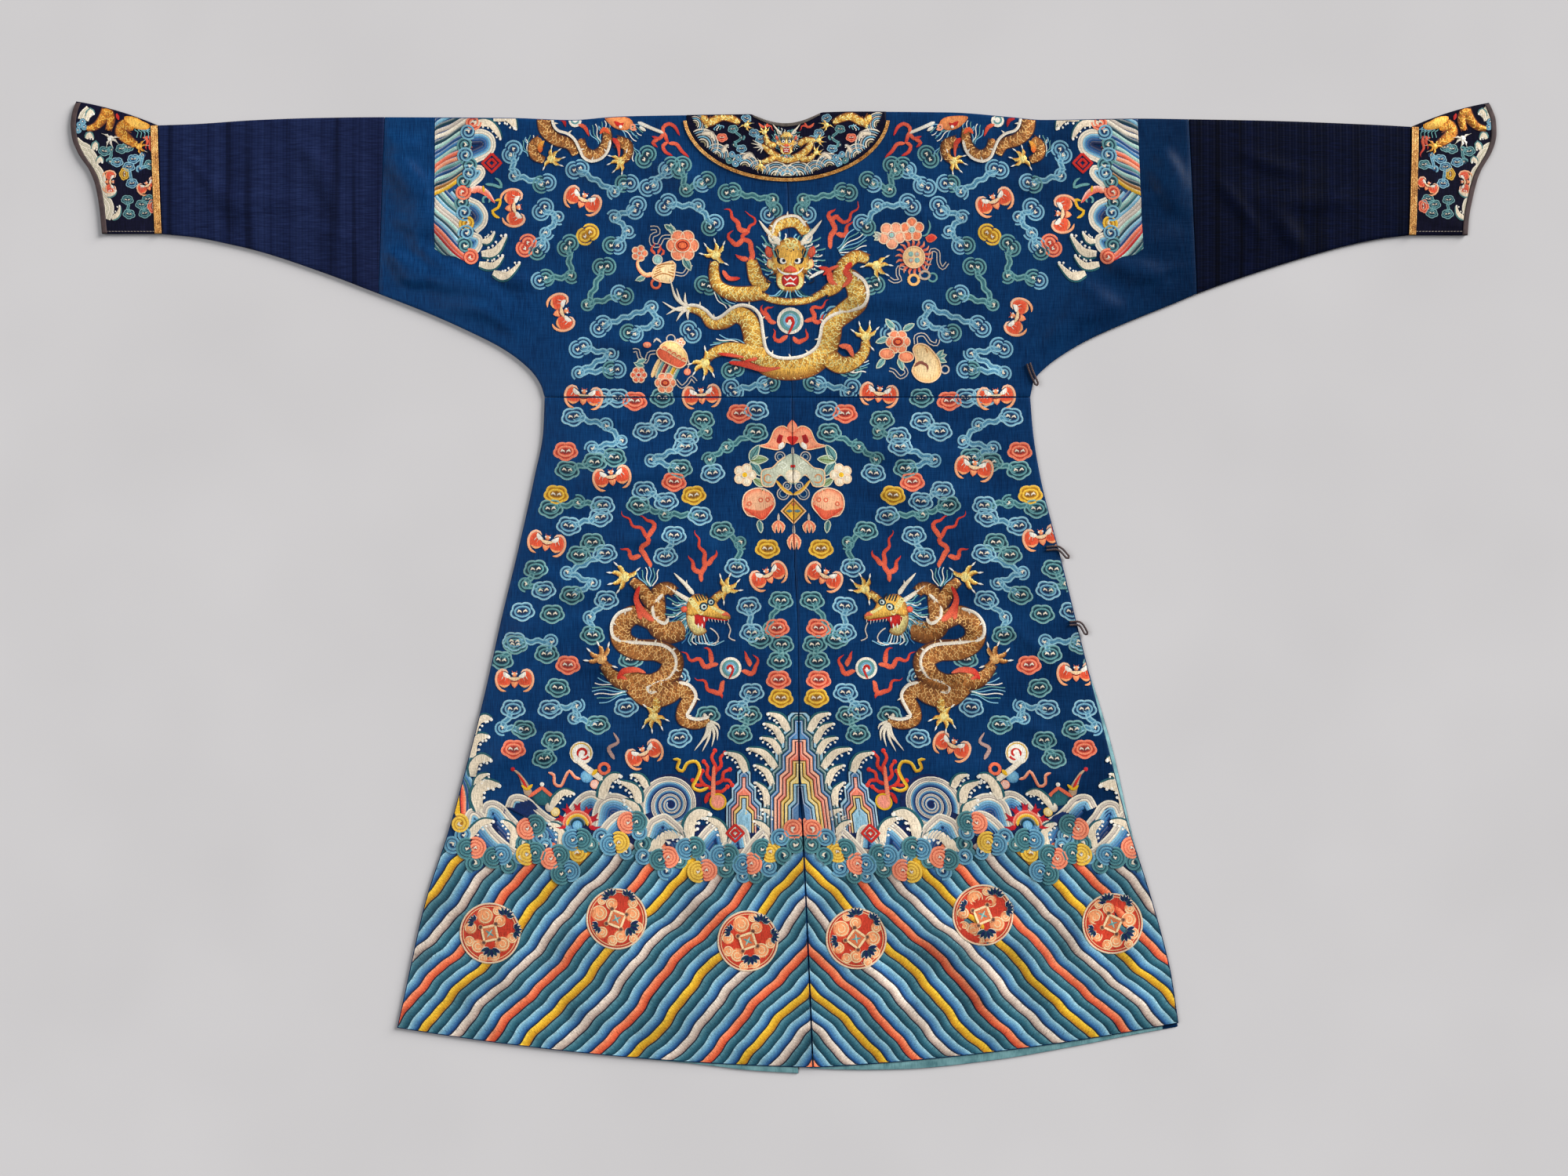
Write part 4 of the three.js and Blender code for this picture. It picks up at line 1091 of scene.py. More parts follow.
def cloud_head(needle, x, y, family, turn=0, size=1.0):
    """A head with a lobed rim, a band inside it and two white curls in a dark eye."""
    outer, inner, deep = CLOUDS[family]
    motif = Motif(needle, x, y, turn, size)
    a = np.radians(np.arange(0, 360, 10))
    lobes = 11.6 + 2.4 * np.abs(np.sin(2.5 * a + 0.8))
    rim = np.stack([lobes * np.cos(a) * 1.08, lobes * np.sin(a) * 0.82], -1)
    band = np.stack([9.4 * np.cos(a[::2]), 6.2 * np.sin(a[::2])], -1)
    motif.patch(rim, deep, lift=0.14, crown=0.05, smoothed=False)
    motif.stroke(rim, 2.8, outer, lift=0.3, closed=True, cap=False, step=4.5,
                 sides=(mix(inner, deep, 0.3), mix(outer, WHITE, 0.14)))
    motif.stroke(band, 2.6, mix(outer, inner, 0.55), lift=0.3, closed=True, cap=False,
                 sides=(mix(inner, deep, 0.35), outer))
    motif.patch([(-7.4, 0.6), (0, -3.6), (7.4, 0.6), (0, 3.4)], mix(deep, INK, 0.5), lift=0.34, crown=0.05)
    for side in (-1, 1):
        curl = np.array([(6.4, 0.6), (4.4, -1.6), (2.0, -0.4), (1.0, 1.4)]) * (side, 1)
        motif.stroke(curl, [2.6, 3.2, 2.0, 1.0], CREAM, lift=0.55, crown=0.2)


def cloud_curl(needle, x, y, family, turn=0, size=1.0):
    """A smaller head: one band wound into a curl."""
    scroll(needle, x, y, family, turn, 9.4 * size)


def cloud_tail(needle, start, end, family, size=1.0):
    """A wavy ribbon of three strands that joins two heads."""
    outer, inner, deep = CLOUDS[family]
    line = smooth_line([start, end], 4)
    s = reach_of(line)
    wave = np.sin(s * 2 * np.pi / (17 * size))[:, None] * 1.6 * size
    normal = normals(line)
    line = line + normal * wave
    needle.stroke(line, 8 * size, deep, lift=0.1, crown=0.05, exact=True)
    for offset, colour in ((-2.7, outer), (0, inner), (2.7, outer)):
        needle.stroke(line + normal * offset * size, 2.4 * size, colour, lift=0.24, crown=0.18, exact=True)


def cloud_chain(needle, family, heads, size=1.0, lobed=True):
    """Heads joined by tails; the first and last are lobed or paired and the others single curls."""
    for start, end in zip(heads[:-1], heads[1:]):
        cloud_tail(needle, start, end, family, size)
    other = "teal" if family == "blue" else "blue"
    for i, (x, y) in enumerate(heads):
        at_end = i in (0, len(heads) - 1)
        own = other if i == len(heads) - 1 and len(heads) > 2 else family
        if at_end and lobed:
            cloud_head(needle, x, y, own, ((i * 37 + x) % 17) - 8, size)
        elif at_end:
            alike = i == 0 or family in ("coral", "yellow")
            mate = own if alike else ("teal" if own == "blue" else "blue")
            scroll_pair(needle, x, y, (own, mate), (x * 7 + y * 3) % 120 - 60, size * 1.06)
        else:
            cloud_curl(needle, x, y, own, (x * 7 + y * 3) % 360, size)


def bat(needle, x, y, turn=0, size=1.0):
    """A bat with its wings curled in over a small head."""
    motif = Motif(needle, x, y, turn, size)
    deep_coral, peach, rim = light(222, 74, 42), light(252, 168, 112), light(255, 202, 170)
    for side in (-1, 1):
        def half(points):
            return np.array(points, float) * (side, 1)

        motif.patch(half([(4, -1), (9, -5), (14, -10), (20, -9), (23, -1), (21, 7), (14, 9.5), (6, 7)]),
                    CORAL, deep_coral, lift=0.3, crown=0.35)
        motif.stroke(half([(7, 7.4), (13, 9.6), (19, 7.4)]), [2, 3, 2.4], peach, lift=0.6, crown=0.2)
        motif.stroke(half([(8, -8), (11, -11), (16, -12), (21.6, -8), (23.8, 0), (22, 8), (17, 14),
                           (11, 15.6)]), [1.6, 3.2, 3.2, 3, 3, 3.4, 3.4, 2], rim, tip=peach, lift=0.6,
                     crown=0.25)
        motif.patch(half([(5, -3), (9, -7), (14, -9.4), (14, -4), (9, -1)]), CREAM, WHITE, lift=0.62,
                    crown=0.2, step=3)
        motif.stroke(half([(11, -2), (12.6, 2.6)]), [1.5, 0.8], CREAM, lift=0.75, crown=0.1)
        motif.stroke(half([(14, -4), (16.6, 0.6)]), [1.5, 0.8], CREAM, lift=0.75, crown=0.1)
        motif.stroke(half([(1.4, -7), (3.4, -10.6)]), [2.6, 1], CORAL, lift=0.8)
    motif.stroke([(-8, -1.6), (0, 0.2), (8, -1.6)], [2.4, 5.4, 2.4], light(250, 214, 168),
                 lift=0.75, crown=0.4)
    motif.patch([(-4.6, 3.4), (0, 2), (4.6, 3.4), (3, 8.6), (0, 11.4), (-3, 8.6)], CORAL, peach, lift=0.75,
                crown=0.4, step=3)
    motif.thread([(-5, 1.8), (0, 3.4), (5, 1.8)], 1.2, DEEP_RED, lift=1.2)
    motif.disc(0, -6, 3.2, CORAL, peach, 0.85, 0.4, sides=8)
    for side in (-1, 1):
        motif.disc(side * 2.6, -6.8, 1.3, WHITE, WHITE, 1.2, 0.2, sides=6)


def flame(needle, points, width):
    """A licking flame: a stroke that sways and thins to its tip."""
    line = smooth_line(points, 3)
    s = reach_of(line)
    share = s / s[-1]
    sway = np.sin(s * 2 * np.pi / 19 + points[0][0])[:, None] * (0.8 + 1.6 * share[:, None])
    needle.stroke(line + normals(line) * sway, np.array([0.8, 1.1, 1.0, 0.75, 0.5, 0.12]) * width,
                  CORAL, tip=RED, lift=0.35, crown=0.3, exact=True)


# Bindings, piping, loops, linings and the front
def line_of(low, high, count, point):
    return np.array([point(t) for t in np.linspace(low, high, count + 1)])


def make_collar():
    """The collar's band, its gold piping and the braid on the neck's edge."""
    keep(shell("cloth_collar_back", collar_band(), *raised(LAYER_GAP, LAYER_GAP + BAND), "black_satin"),
         "collar_back")
    reach = NECK["half_width"] - 3
    xs = np.linspace(-reach, reach, 60)
    depth = NECK_BINDING_WIDTH * (1 - 0.5 * (xs / NECK["half_width"]) ** 2)
    edge = columns_xy(NECK_CENTRE[0] + xs, top_at(NECK_CENTRE[0] + xs) - 0.3)
    lower = edge - np.stack([0 * xs, depth], -1)
    low = 2 * LAYER_GAP + BAND
    grid = ruled(edge, lower, np.linspace(0, 1, 6))
    keep(shell("braid_neck", grid, *raised(low, low + BAND), "grey_braid"), "neck_binding")
    u = np.linspace(*BAND_ENDS, 300)
    middle = SEAM + PIPING_WIDTH / 2
    route = neck_arc(COLLAR["half_width"] + middle, COLLAR["back_depth"] + middle, u)
    keep(cords("cord_collar", route, PIPING_WIDTH), "collar_piping")


CORD = {"sides": 6, "fill": 0.98, "pitch": 9.0, "swell": 0.12, "height": 0.8, "rise": 0.85}


def tube_faces(count, sides, first=0):
    """The faces of a tube whose rings of points follow each other from a first point on."""
    rows = np.arange(count - 1)[:, None] * sides + first
    k = np.arange(sides)[None]
    following = (k + 1) % sides
    return np.stack([rows + k, rows + sides + k, rows + sides + following, rows + following],
                    -1).reshape(-1, 4)


def cords(name, route, width, count=4):
    """Gold threads couched side by side: each is a fine half-round cord wrapped at an even pitch."""
    reach = reach_of(route)
    points, faces = [], []
    sides = CORD["sides"]
    radius = width / count / 2 * CORD["fill"]
    angles = np.linspace(0, 2 * np.pi, sides + 1)[:-1]
    for i in range(count):
        centre = route + normals(route) * ((i + 0.5) * width / count - width / 2)
        swell = 1 + CORD["swell"] * np.sin(reach * 2 * np.pi / CORD["pitch"] + i * 2.2)
        sideways = np.cos(angles)[None, :, None] * radius * swell[:, None, None]
        plan = centre[:, None] + normals(centre)[:, None] * sideways
        height = surface(centre[:, 0], centre[:, 1])[:, None] + LAYER_GAP + CORD["rise"]
        z = height + CORD["height"] * np.sin(angles)[None] * swell[:, None]
        points.append(np.concatenate([plan, z[..., None]], -1).reshape(-1, 3))
        first, last = i * len(route) * sides, (i + 1) * len(route) * sides - sides
        faces.append(tube_faces(len(route), sides, first))
        ends = [[first + a for a in (0, 1, 2, 3)], [first + a for a in (0, 3, 4, 5)],
                [last + a for a in (3, 2, 1, 0)], [last + a for a in (5, 4, 3, 0)]]
        faces.append(np.array(ends))
    return new_object(name, np.concatenate(points), faces, ["gold_piping"])


def make_cuff_edges(side):
    """A cuff's braid along its curved edge and its piping along the sleeve's seam."""
    sign = SIGN[side]
    rows = CUFF_EDGE[side]
    ys = np.linspace(rows[0][0] + 0.4, rows[-1][0] - 2.4, 90)
    x = cuff_edge_at[side](ys) - sign * 0.2
    edge = columns_xy(x, ys)
    grid = ruled(edge, columns_xy(x - sign * CUFF_BINDING_WIDTH, ys), np.linspace(0, 1, 7))
    piece = shell(f"braid_cuff_{side}", grid, *raised(LAYER_GAP, LAYER_GAP + BAND), "brown_braid")
    keep(piece, f"cuff_binding_{side}")
    seam_top, seam_foot = CUFF_SEAM[side]
    top_y, foot_y = shoulder_at(seam_top) - 0.6, CUFF_BOTTOM[side] + 0.4
    t = np.linspace(0, 1, 80)
    out = sign * (0.4 + PIPING_WIDTH)
    route = columns_xy(mix(seam_top, seam_foot, t) + out, mix(top_y, foot_y, t))
    keep(cords(f"cord_cuff_{side}", route, 2 * PIPING_WIDTH, 5), f"cuff_piping_{side}")


LOOPS = {
    "loop_armpit": ((356, 326), (361, 312), (368, 297), 0.7),
    "loop_hip": ((382, 57), (400, 57), (413, 45), 0.3),
    "loop_side": ((416, -52), (431, -53), (440, -66), 0.3),
}
LOOP = {"radius": 1.6, "half_spread": 2.4, "droop": 1.2, "droops_from": 0.8, "sides": 8, "fill": 0.92,
        "plait": 0.1, "pitch": 2.1}


def make_loop(name):
    """A loop of doubled braid: down one strand, round the tip and back up the other."""
    *places, clearance = LOOPS[name]
    middle = smooth_line(places, 0.8)
    share = shares_of(middle)
    side_way = normals(middle)
    ahead = middle[-1] - middle[-2]
    tip = middle[-1:] + ahead / np.hypot(*ahead) * LOOP["half_spread"]
    route = np.vstack([middle + side_way * LOOP["half_spread"], tip,
                       (middle - side_way * LOOP["half_spread"])[::-1]])
    share = np.r_[share, 1, share[::-1]]
    r, sides = LOOP["radius"], LOOP["sides"]
    around_it = ((0, 0), (r, 0), (-r, 0), (0, r), (0, -r))
    near = [surface(route[:, 0] + dx, route[:, 1] + dy) for dx, dy in around_it]
    droop = LOOP["droop"] * smooth((share - LOOP["droops_from"]) / (1 - LOOP["droops_from"]))
    z = np.max(near, 0) + clearance + r - droop
    path = np.column_stack([route, z])
    fine = smooth_line(path, 0.5)
    turned = normals(fine[:, :2])
    reach = reach_of(fine[:, :2])
    angles = np.linspace(0, 2 * np.pi, sides + 1)[:-1]
    plait = 1 + LOOP["plait"] * np.cos(3 * angles[None] + reach[:, None] * LOOP["pitch"])
    around = r * LOOP["fill"] * plait
    plan = fine[:, None, :2] + turned[:, None] * (np.cos(angles)[None] * around)[..., None]
    height = fine[:, 2:3] + np.sin(angles)[None] * around
    points = np.concatenate([plan, height[..., None]], -1).reshape(-1, 3)
    last = (len(fine) - 1) * sides
    ends = np.array([list(range(sides)), [last + a for a in range(sides - 1, -1, -1)]])
    piece = new_object(f"braid_{name}", points, [tube_faces(len(fine), sides), ends], ["brown_braid"])
    keep(piece, name)


def plate(node, outline, low=0, thick=CLOTH, look="blue_satin"):
    """A flat piece cut to an outline, with its edge rounded a little."""
    outline = np.asarray(outline, float)
    x, y = outline.T
    if np.sum(x * np.roll(y, -1) - np.roll(x, -1) * y) < 0:
        outline = outline[::-1]
    n = len(outline)
    inward = normals(np.vstack([outline[-1:], outline, outline[:1]]))[1:-1] * 0.35
    rings = [(outline + inward, low), (outline, low + 0.3 * thick), (outline, low + 0.7 * thick),
             (outline + inward, low + thick)]
    points = np.vstack([np.column_stack([ring, np.full(n, z)]) for ring, z in rings])
    i = np.arange(n)
    j = np.roll(i, -1)
    ring = np.stack([i, j, j + n, i + n], -1)
    sides = np.concatenate([ring + k * n for k in range(3)])
    caps = np.stack([i[::-1], i + 3 * n])
    keep(new_object(f"cloth_{node}", points, [sides, caps], [look]), node)


def front_side(side, from_y, to_y, count):
    """The front's edge at one side, which shows past the back on the right."""
    def point(y):
        out = max(float(side_showing_at(y)), -UNDER) if side == "right" else 0
        return side_at[side](y) + (UNDER if side == "left" else out), y

    return line_of(from_y, to_y, count, point)


RING_FIRST, RING_STEPS = 0.02, 36


def ring_outer(first, last, gap=SEAM):
    """Points along the front collar's outer edge, from one of its steps to another."""
    u = mix(RING_FIRST, 1 - RING_FIRST, np.linspace(first, last, abs(last - first) + 1) / RING_STEPS)
    return neck_arc(COLLAR["half_width"] + gap, COLLAR["front_depth"] + gap, u)


def overlap_edge(shift):
    """The overlap's slanting upper edge, moved up or down by a shift."""
    return line_of(OVERLAP_EDGE[0][0] + SEAM / 2, OVERLAP_EDGE[-1][0], 24,
                   lambda x: (x, overlap_edge_at(x) + shift))


def make_front():
    """The front's pieces, which lie hidden below the back."""
    above, below = WAIST_Y + SEAM / 2, WAIST_Y - SEAM / 2
    hem_left, hem_right = FRONT_HEM["left"], FRONT_HEM["right"]
    left, right = UNDERARM["left"], UNDERARM["right"]

    ring = ring_outer(0, RING_STEPS // 2)
    arm = line_of(left[-1][0] + UNDER, SLEEVE_SEAM["left"][1] + SEAM / 2, 30,
                  lambda x: (x, max(underarm_at["left"](x) + UNDER, above)))
    shoulder = line_of(SLEEVE_SEAM["left"][0] + SEAM / 2, ring[0, 0], 14,
                       lambda x: (x, shoulder_at(x) - UNDER))
    corner = [(front_middle_at(above) - SEAM / 2, above)]
    plate("front_upper_left", np.vstack([shoulder, ring, corner, arm]))

    middle = line_of(hem_left[-1][0], below, 6, lambda y: (front_middle_at(y) - SEAM / 2, y))[1:]
    hem = line_of(hem_left[0][0] + UNDER, hem_left[-1][0] - SEAM, 20,
                  lambda x: (x, front_hem_at["left"](x)))
    plate("front_skirt_left", np.vstack([front_side("left", below, hem_left[0][1] + 1, 30), hem, middle]))

    corners = [(right[0][0] - UNDER, above), (front_middle_at(above) + SEAM / 2, above)]
    plate("front_overlap_upper", np.vstack([overlap_edge(-SEAM / 2), corners]))

    middle = line_of(below, hem_right[0][1], 6, lambda y: (front_middle_at(y) + SEAM / 2, y))
    hem = line_of(hem_right[0][0] + SEAM, hem_right[-1][0] - UNDER, 20,
                  lambda x: (x, front_hem_at["right"](x)))
    outer = front_side("right", hem_right[-1][1] + 1, below, 40)
    plate("front_overlap_skirt", np.vstack([middle, hem, outer]))

    ring = ring_outer(RING_STEPS, RING_STEPS // 2 + 1)
    edge = overlap_edge(SEAM / 2)
    edge = edge[edge[:, 0] > ring[-1, 0] + 4]
    arm = line_of(right[2][0] + UNDER, SLEEVE_SEAM["right"][1] - SEAM / 2, 24,
                  lambda x: (x, underarm_at["right"](x) + UNDER))
    shoulder = line_of(SLEEVE_SEAM["right"][0] - SEAM / 2, ring[0, 0], 14,
                       lambda x: (x, shoulder_at(x) - UNDER))
    plate("front_shoulder_right", np.vstack([shoulder, ring, edge, arm]))

    hem_in, side_in, top_in = 34, 26, 24
    flap = np.vstack([
        line_of(OVERLAP_EDGE[0][0] + SEAM, OVERLAP_EDGE[-1][0] - side_in, 12,
                lambda x: (x, overlap_edge_at(x) - top_in)),
        line_of(WAIST_Y - top_in, hem_right[-1][1] + hem_in, 14,
                lambda y: (side_at["right"](y) - side_in, y)),
        line_of(hem_right[-1][0] - side_in, hem_right[0][0] + side_in, 12,
                lambda x: (x, front_hem_at["right"](x) + hem_in))[1:],
        line_of(hem_right[0][1] + hem_in, OVERLAP_EDGE[0][1] - 2 * top_in, 6,
                lambda y: (front_middle_at(y) + side_in / 4, y))[1:],
    ])
    plate("front_inner_flap", flap, FLAP_Z)

    u = np.linspace(RING_FIRST, 1 - RING_FIRST, 31)
    inner = neck_arc(NECK["half_width"], NECK["front_depth"], u)
    plate("collar_front", np.vstack([inner, ring_outer(RING_STEPS, 0, 0)]), look="black_satin")

    for side in SIDES:
        u, v = np.linspace(0, 1, 30), np.array([0.0, 1.0])
        grid = sleeve(side, UNDER, u, v)
        plate(f"sleeve_front_{side}", np.vstack([grid[0], grid[1, ::-1]]), look=f"navy_{side}")
        grid = cuff(side, UNDER, np.linspace(0, 1, 9), np.linspace(0, 1, 16))
        rim = np.vstack([grid[0], grid[1:-1, -1], grid[-1, ::-1], grid[-2:0:-1, 0]])
        plate(f"cuff_front_{side}", rim, look="black_satin")


def make_linings():
    """The front's lining where it shows past the back's hem and side."""
    for side in SIDES:
        rows = FRONT_HEM[side]
        first = -230 if side == "left" else rows[0][0] + 3
        last = rows[-1][0] - 1 if side == "left" else rows[-1][0] - LINING_WIDTH
        edge = line_of(first, last, 40, lambda x: (x, front_hem_at[side](x) + 0.5))
        plate(f"hem_lining_{side}", np.vstack([edge, (edge + (0, LINING_WIDTH))[::-1]]), LINING_Z, LINING,
              "pale_lining")
    edge = front_side("right", SIDE_SHOWING[-1][0], SIDE_SHOWING[0][0], 40) - (0.5, 0)
    plate("side_lining", np.vstack([edge, (edge - (LINING_WIDTH * 0.7, 0))[::-1]]), LINING_Z, LINING,
          "pale_lining")


make_collar()
for side in SIDES:
    make_cuff_edges(side)
for name in LOOPS:
    make_loop(name)
make_front()
make_linings()


# Dragons
def tuft(needle, start, end, strands=5, spread=9, colour=LIGHT_BLUE, width=1.3, lift=0.8):
    """Loose wavy hair from one point towards another."""
    a, b = np.array(start, float), np.array(end, float)
    ahead = (b - a) / np.hypot(*(b - a))
    across = crosswise(ahead)
    for k in range(strands):
        share = k / max(strands - 1, 1) - 0.5
        reach = np.hypot(*(b - a)) * (1 - 0.5 * abs(share))
        t = np.linspace(0, 1, 9)[:, None]
        line = a + across * share * spread * 0.6 + ahead * reach * t + across * spread * share * t * 1.5
        line = line + across * np.sin(t * 7 + k) * 1.6
        tint = (colour, LIGHT_TEAL, WHITE)[k % 3]
        needle.thread(line, width, tint, lift, exact=True)


def scaled_body(needle, points, widths, palette, lift=0.5):
    """A body of couched gold thread, with scales in offset rows and a dark edge."""
    dark, body, bright = palette
    line = smooth_line(points, 3.0)
    share = shares_of(line)
    width = np.interp(share, np.linspace(0, 1, len(widths)), widths)
    normal = normals(line)
    needle.stroke(line, width, body, sides=(mix(body, dark, 0.35), dark), lift=lift, crown=1.1, exact=True,
                  slot=GOLD)
    along_it = np.stack([normal[:, 1], -normal[:, 0]], -1)
    for i in range(1, len(line) - 1):
        scales = max(2, round(width[i] / 6.5))
        offset = 0.5 * (i % 2)
        for k in range(scales):
            centre = (k + 0.5 + offset) / scales * 2 - 1
            if abs(centre) > 0.92:
                continue
            half_turn = np.array([-1, -0.55, 0, 0.55, 1.0])
            across = (centre + half_turn * 0.9 / scales) * width[i] * 0.48
            ahead = 2.3 * (1 - half_turn**2)
            row = line[i] + normal[i] * across[:, None] + along_it[i] * ahead[:, None]
            tint = bright if (i + k) % 3 else mix(dark, body, 0.3)
            rise = lift + 0.22 + 1.05 * (1 - np.abs(across) / (width[i] / 2))
            half = normals(row) * 0.5
            pair = np.stack([row + half, row - half], 1).reshape(-1, 2)
            strip = np.arange(len(row) - 1)[:, None] * 2 + [0, 1, 3, 2]
            needle.add(pair, np.repeat(rise, 2), tint, pair * PIXEL * MM, strip, GOLD)
    for side in (-1, 1):
        needle.thread(line + normal * (side * (width / 2 + 0.2))[:, None], 1.2, mix(dark, INK, 0.4),
                      lift + 0.1, exact=True)


def spines(needle, points, side=1, width=4.2, lift=1.5):
    """The pale ridge along a dragon's back; side says where its barbs point."""
    line = smooth_line(points, 3.0)
    normal = normals(line)
    needle.stroke(line, width, CREAM, lift=lift, crown=0.4, exact=True, sides=(WHITE, GREY_CREAM))
    for i in range(3, len(line) - 2, 8):
        tip = line[i] + normal[i] * side * 6 + (line[i] - line[i - 1]) * 0.7
        needle.stroke([line[i], tip], [3.4, 1], CREAM, lift=lift)


def paw(needle, x, y, turn, palette, size=1.0, lift=1.0, claws=WHITE):
    """A five-clawed foot."""
    dark, body, bright = palette
    needle.disc(x, y, 6.5 * size, body, bright, lift, 0.7, sides=9, slot=GOLD)
    for finger in (-75, -35, 5, 45, 140):
        ahead = heading(turn + finger)
        bent = crosswise(ahead) * (2.5 if finger > 0 else -2.5) * size
        joints = ((3, 0), (10, 1), (15, 0.4))
        base, knuckle, tip = (np.array((x, y)) + ahead * reach * size + bent * b for reach, b in joints)
        needle.stroke([base, knuckle, tip], np.array([6.5, 5.2, 4]) * size, body, lift=lift, crown=0.7,
                      slot=GOLD, sides=(bright, dark))
        nail = tip + ahead * 6.5 * size - bent * 0.5
        needle.stroke([tip, nail], np.array([3.6, 1]) * size, claws, lift=lift + 0.4, crown=0.4)


def leg(needle, points, widths, palette, lift=0.8):
    """A limb, scaled like the body and worked over it."""
    scaled_body(needle, points, widths, palette, lift)


BRIGHT_GOLD = (light(150, 84, 30), light(255, 196, 86), light(255, 238, 156))
BROWN_GOLD = (light(96, 50, 24), light(194, 124, 60), light(246, 192, 120))


def pearl(needle, x, y, r):
    """A flaming pearl's round heart, with a whirl in it."""
    needle.disc(x, y, r, CREAM, WHITE, 0.5, 0.5, sides=20)
    needle.ring(x, y, r * 0.66, r * 0.22, LIGHT_TEAL, 1.0, 0.15)
    needle.ring(x, y, r * 0.46, r * 0.2, LIGHT_BLUE, 1.05, 0.15)
    needle.ring(x, y, r * 0.28, r * 0.24, RED, 1.15, 0.2, 150, 250, spread=-2)
    needle.stroke([(x + r * 0.3, y), (x + r * 0.1, y + r * 0.5), (x - r * 0.15, y + r)],
                  [r * 0.22, r * 0.2, r * 0.14], RED, lift=1.2)


def front_face(needle, x, y, palette, size=1.0):
    """A dragon's face seen from in front."""
    dark, body, bright = palette
    motif = Motif(needle, x, y, 0, size)

    def both(points):
        return [np.asarray(points, float) * (side, 1) for side in (-1, 1)]

    for k, angle in enumerate(range(-66, 66, 11)):
        a = math.radians(angle)
        for side in (-1, 1):
            root = motif.spot([(side * 18 * math.cos(a), 20 * math.sin(a) - 4)])[0]
            reach = 36 + 9 * (k % 2)
            end = motif.spot([(side * reach * math.cos(a), (reach - 6) * math.sin(a) - 14)])[0]
            tuft(needle, root, end, 3, 6 * size, (LIGHT_BLUE, DEEP_TEAL, TEAL)[k % 3], 1.7 * size, 0.6)
    for points in both([(14, -24), (20, -33), (30, -43), (40, -56)]):
        motif.stroke(points, [6, 6, 4.4, 1.5], CREAM, lift=1.0, crown=0.6)
    for points in both([(16, -26), (25, -29), (28, -37)]):
        motif.stroke(points, [4, 3.4, 1.4], CREAM, lift=1.0, crown=0.5)
    for points in both([(21, -16), (30, -23), (32, -14), (26, -8)]):
        motif.patch(points, RED, CORAL, 0.9, 0.5)
    for points in both([(22, -4), (28, -7), (30, 2), (24, 6)]):
        motif.patch(points, RED, bright, 0.9, 0.5)
    half = [(0, -34), (11, -30), (18, -22), (24, -8), (24, 5), (18, 14), (17, 26), (9, 34), (0, 36)]
    motif.patch(half + [(-a, b) for a, b in half[-2:0:-1]], dark, body, 0.9, 1.1, GOLD, inner=0.82)
    for points in both([(20, 2), (17, -20)]):
        motif.ring(*points[0], 4.6, 2.2, bright, 1.6, 0.2, 0, 330, slot=GOLD, spread=-2)
    for k, (px, py) in enumerate(((0, -24), (-8, -20), (8, -20), (-4, -28), (5, -28))):
        motif.ring(px, py, 4.4, 2, bright, 1.7, 0.2, 70 * k, 400, slot=GOLD, spread=-3)
    for side in (-1, 1):
        for k in range(8):
            start, end = (side * (3 + k * 2.2), -8.5), (side * (1 + k * 3.1), -17 - 2 * (k % 2))
            motif.thread([start, end], 1.9, (INK, DEEP_TEAL, INK, LIGHT_TEAL)[k % 4], 2.0)
        motif.patch(np.array([(2.5, -6), (8, -10.5), (17, -8), (15, -1), (7, 0)]) * (side, 1), INK, INK,
                    1.95, 0.1)
        eye_x, eye_y = motif.spot([(side * 9, -4.6)])[0]
        needle.disc(eye_x, eye_y, 4.4 * size, WHITE, WHITE, 2.1, 0.3, sides=11)
        needle.disc(eye_x - side * 0.8 * size, eye_y, 2.3 * size, INK, INK, 2.45, 0.15, sides=8)
        for k in range(4):
            motif.thread([(side * (11 + k * 2.6), 4 + k), (side * (13 + k * 2.8), 10 + k)], 1.2, dark, 2.0)
        motif.thread([(side * 4.5, -3), (side * 5.5, 2)], 1.4, dark, 2.0)
    motif.stroke([(0, -12), (0, -4), (0, 4)], [3, 4, 7], bright, lift=1.8, crown=0.6, slot=GOLD)
    nose = [(-9, 9), (-5, 4), (0, 1.5), (5, 4), (9, 9), (4, 10.5), (-4, 10.5)]
    motif.patch(nose, RED, CORAL, 2.3, 0.6)
    mouth = [(-10, 15), (0, 13.5), (10, 15), (9.5, 27), (0, 29), (-9.5, 27)]
    motif.patch(mouth, DEEP_RED, RED, 1.9, 0.3)
    for points in both([(0, 12.6), (7, 12.4), (13, 9), (17, 4)]):
        motif.stroke(points, [2.6, 2.8, 2.2, 1], WHITE, lift=2.4, crown=0.3)
    for points in ([(-8, 17), (-4, 20.5), (0, 17), (4, 20.5), (8, 17)],
                   [(-7, 27), (-3, 24.5), (3, 24.5), (7, 27)]):
        motif.stroke(points, 2.3, WHITE, lift=2.25, exact=True)
    for points in both([(12, 15), (13.5, 24), (8, 32)]):
        motif.stroke(points, [5, 6, 5], bright, lift=1.6, crown=0.5, slot=GOLD)
    for points in both([(17, 12), (27, 14), (30, 22), (24, 24)]):
        motif.thread(points, 1.5, INK, 1.4)
    for k in range(-4, 5):
        motif.thread([(k * 3, 33), (k * 5, 40), (k * 7 + 1, 44 - abs(k))], 1.6,
                     (LIGHT_TEAL, DEEP_TEAL, LIGHT_BLUE)[k % 3], 1.2)


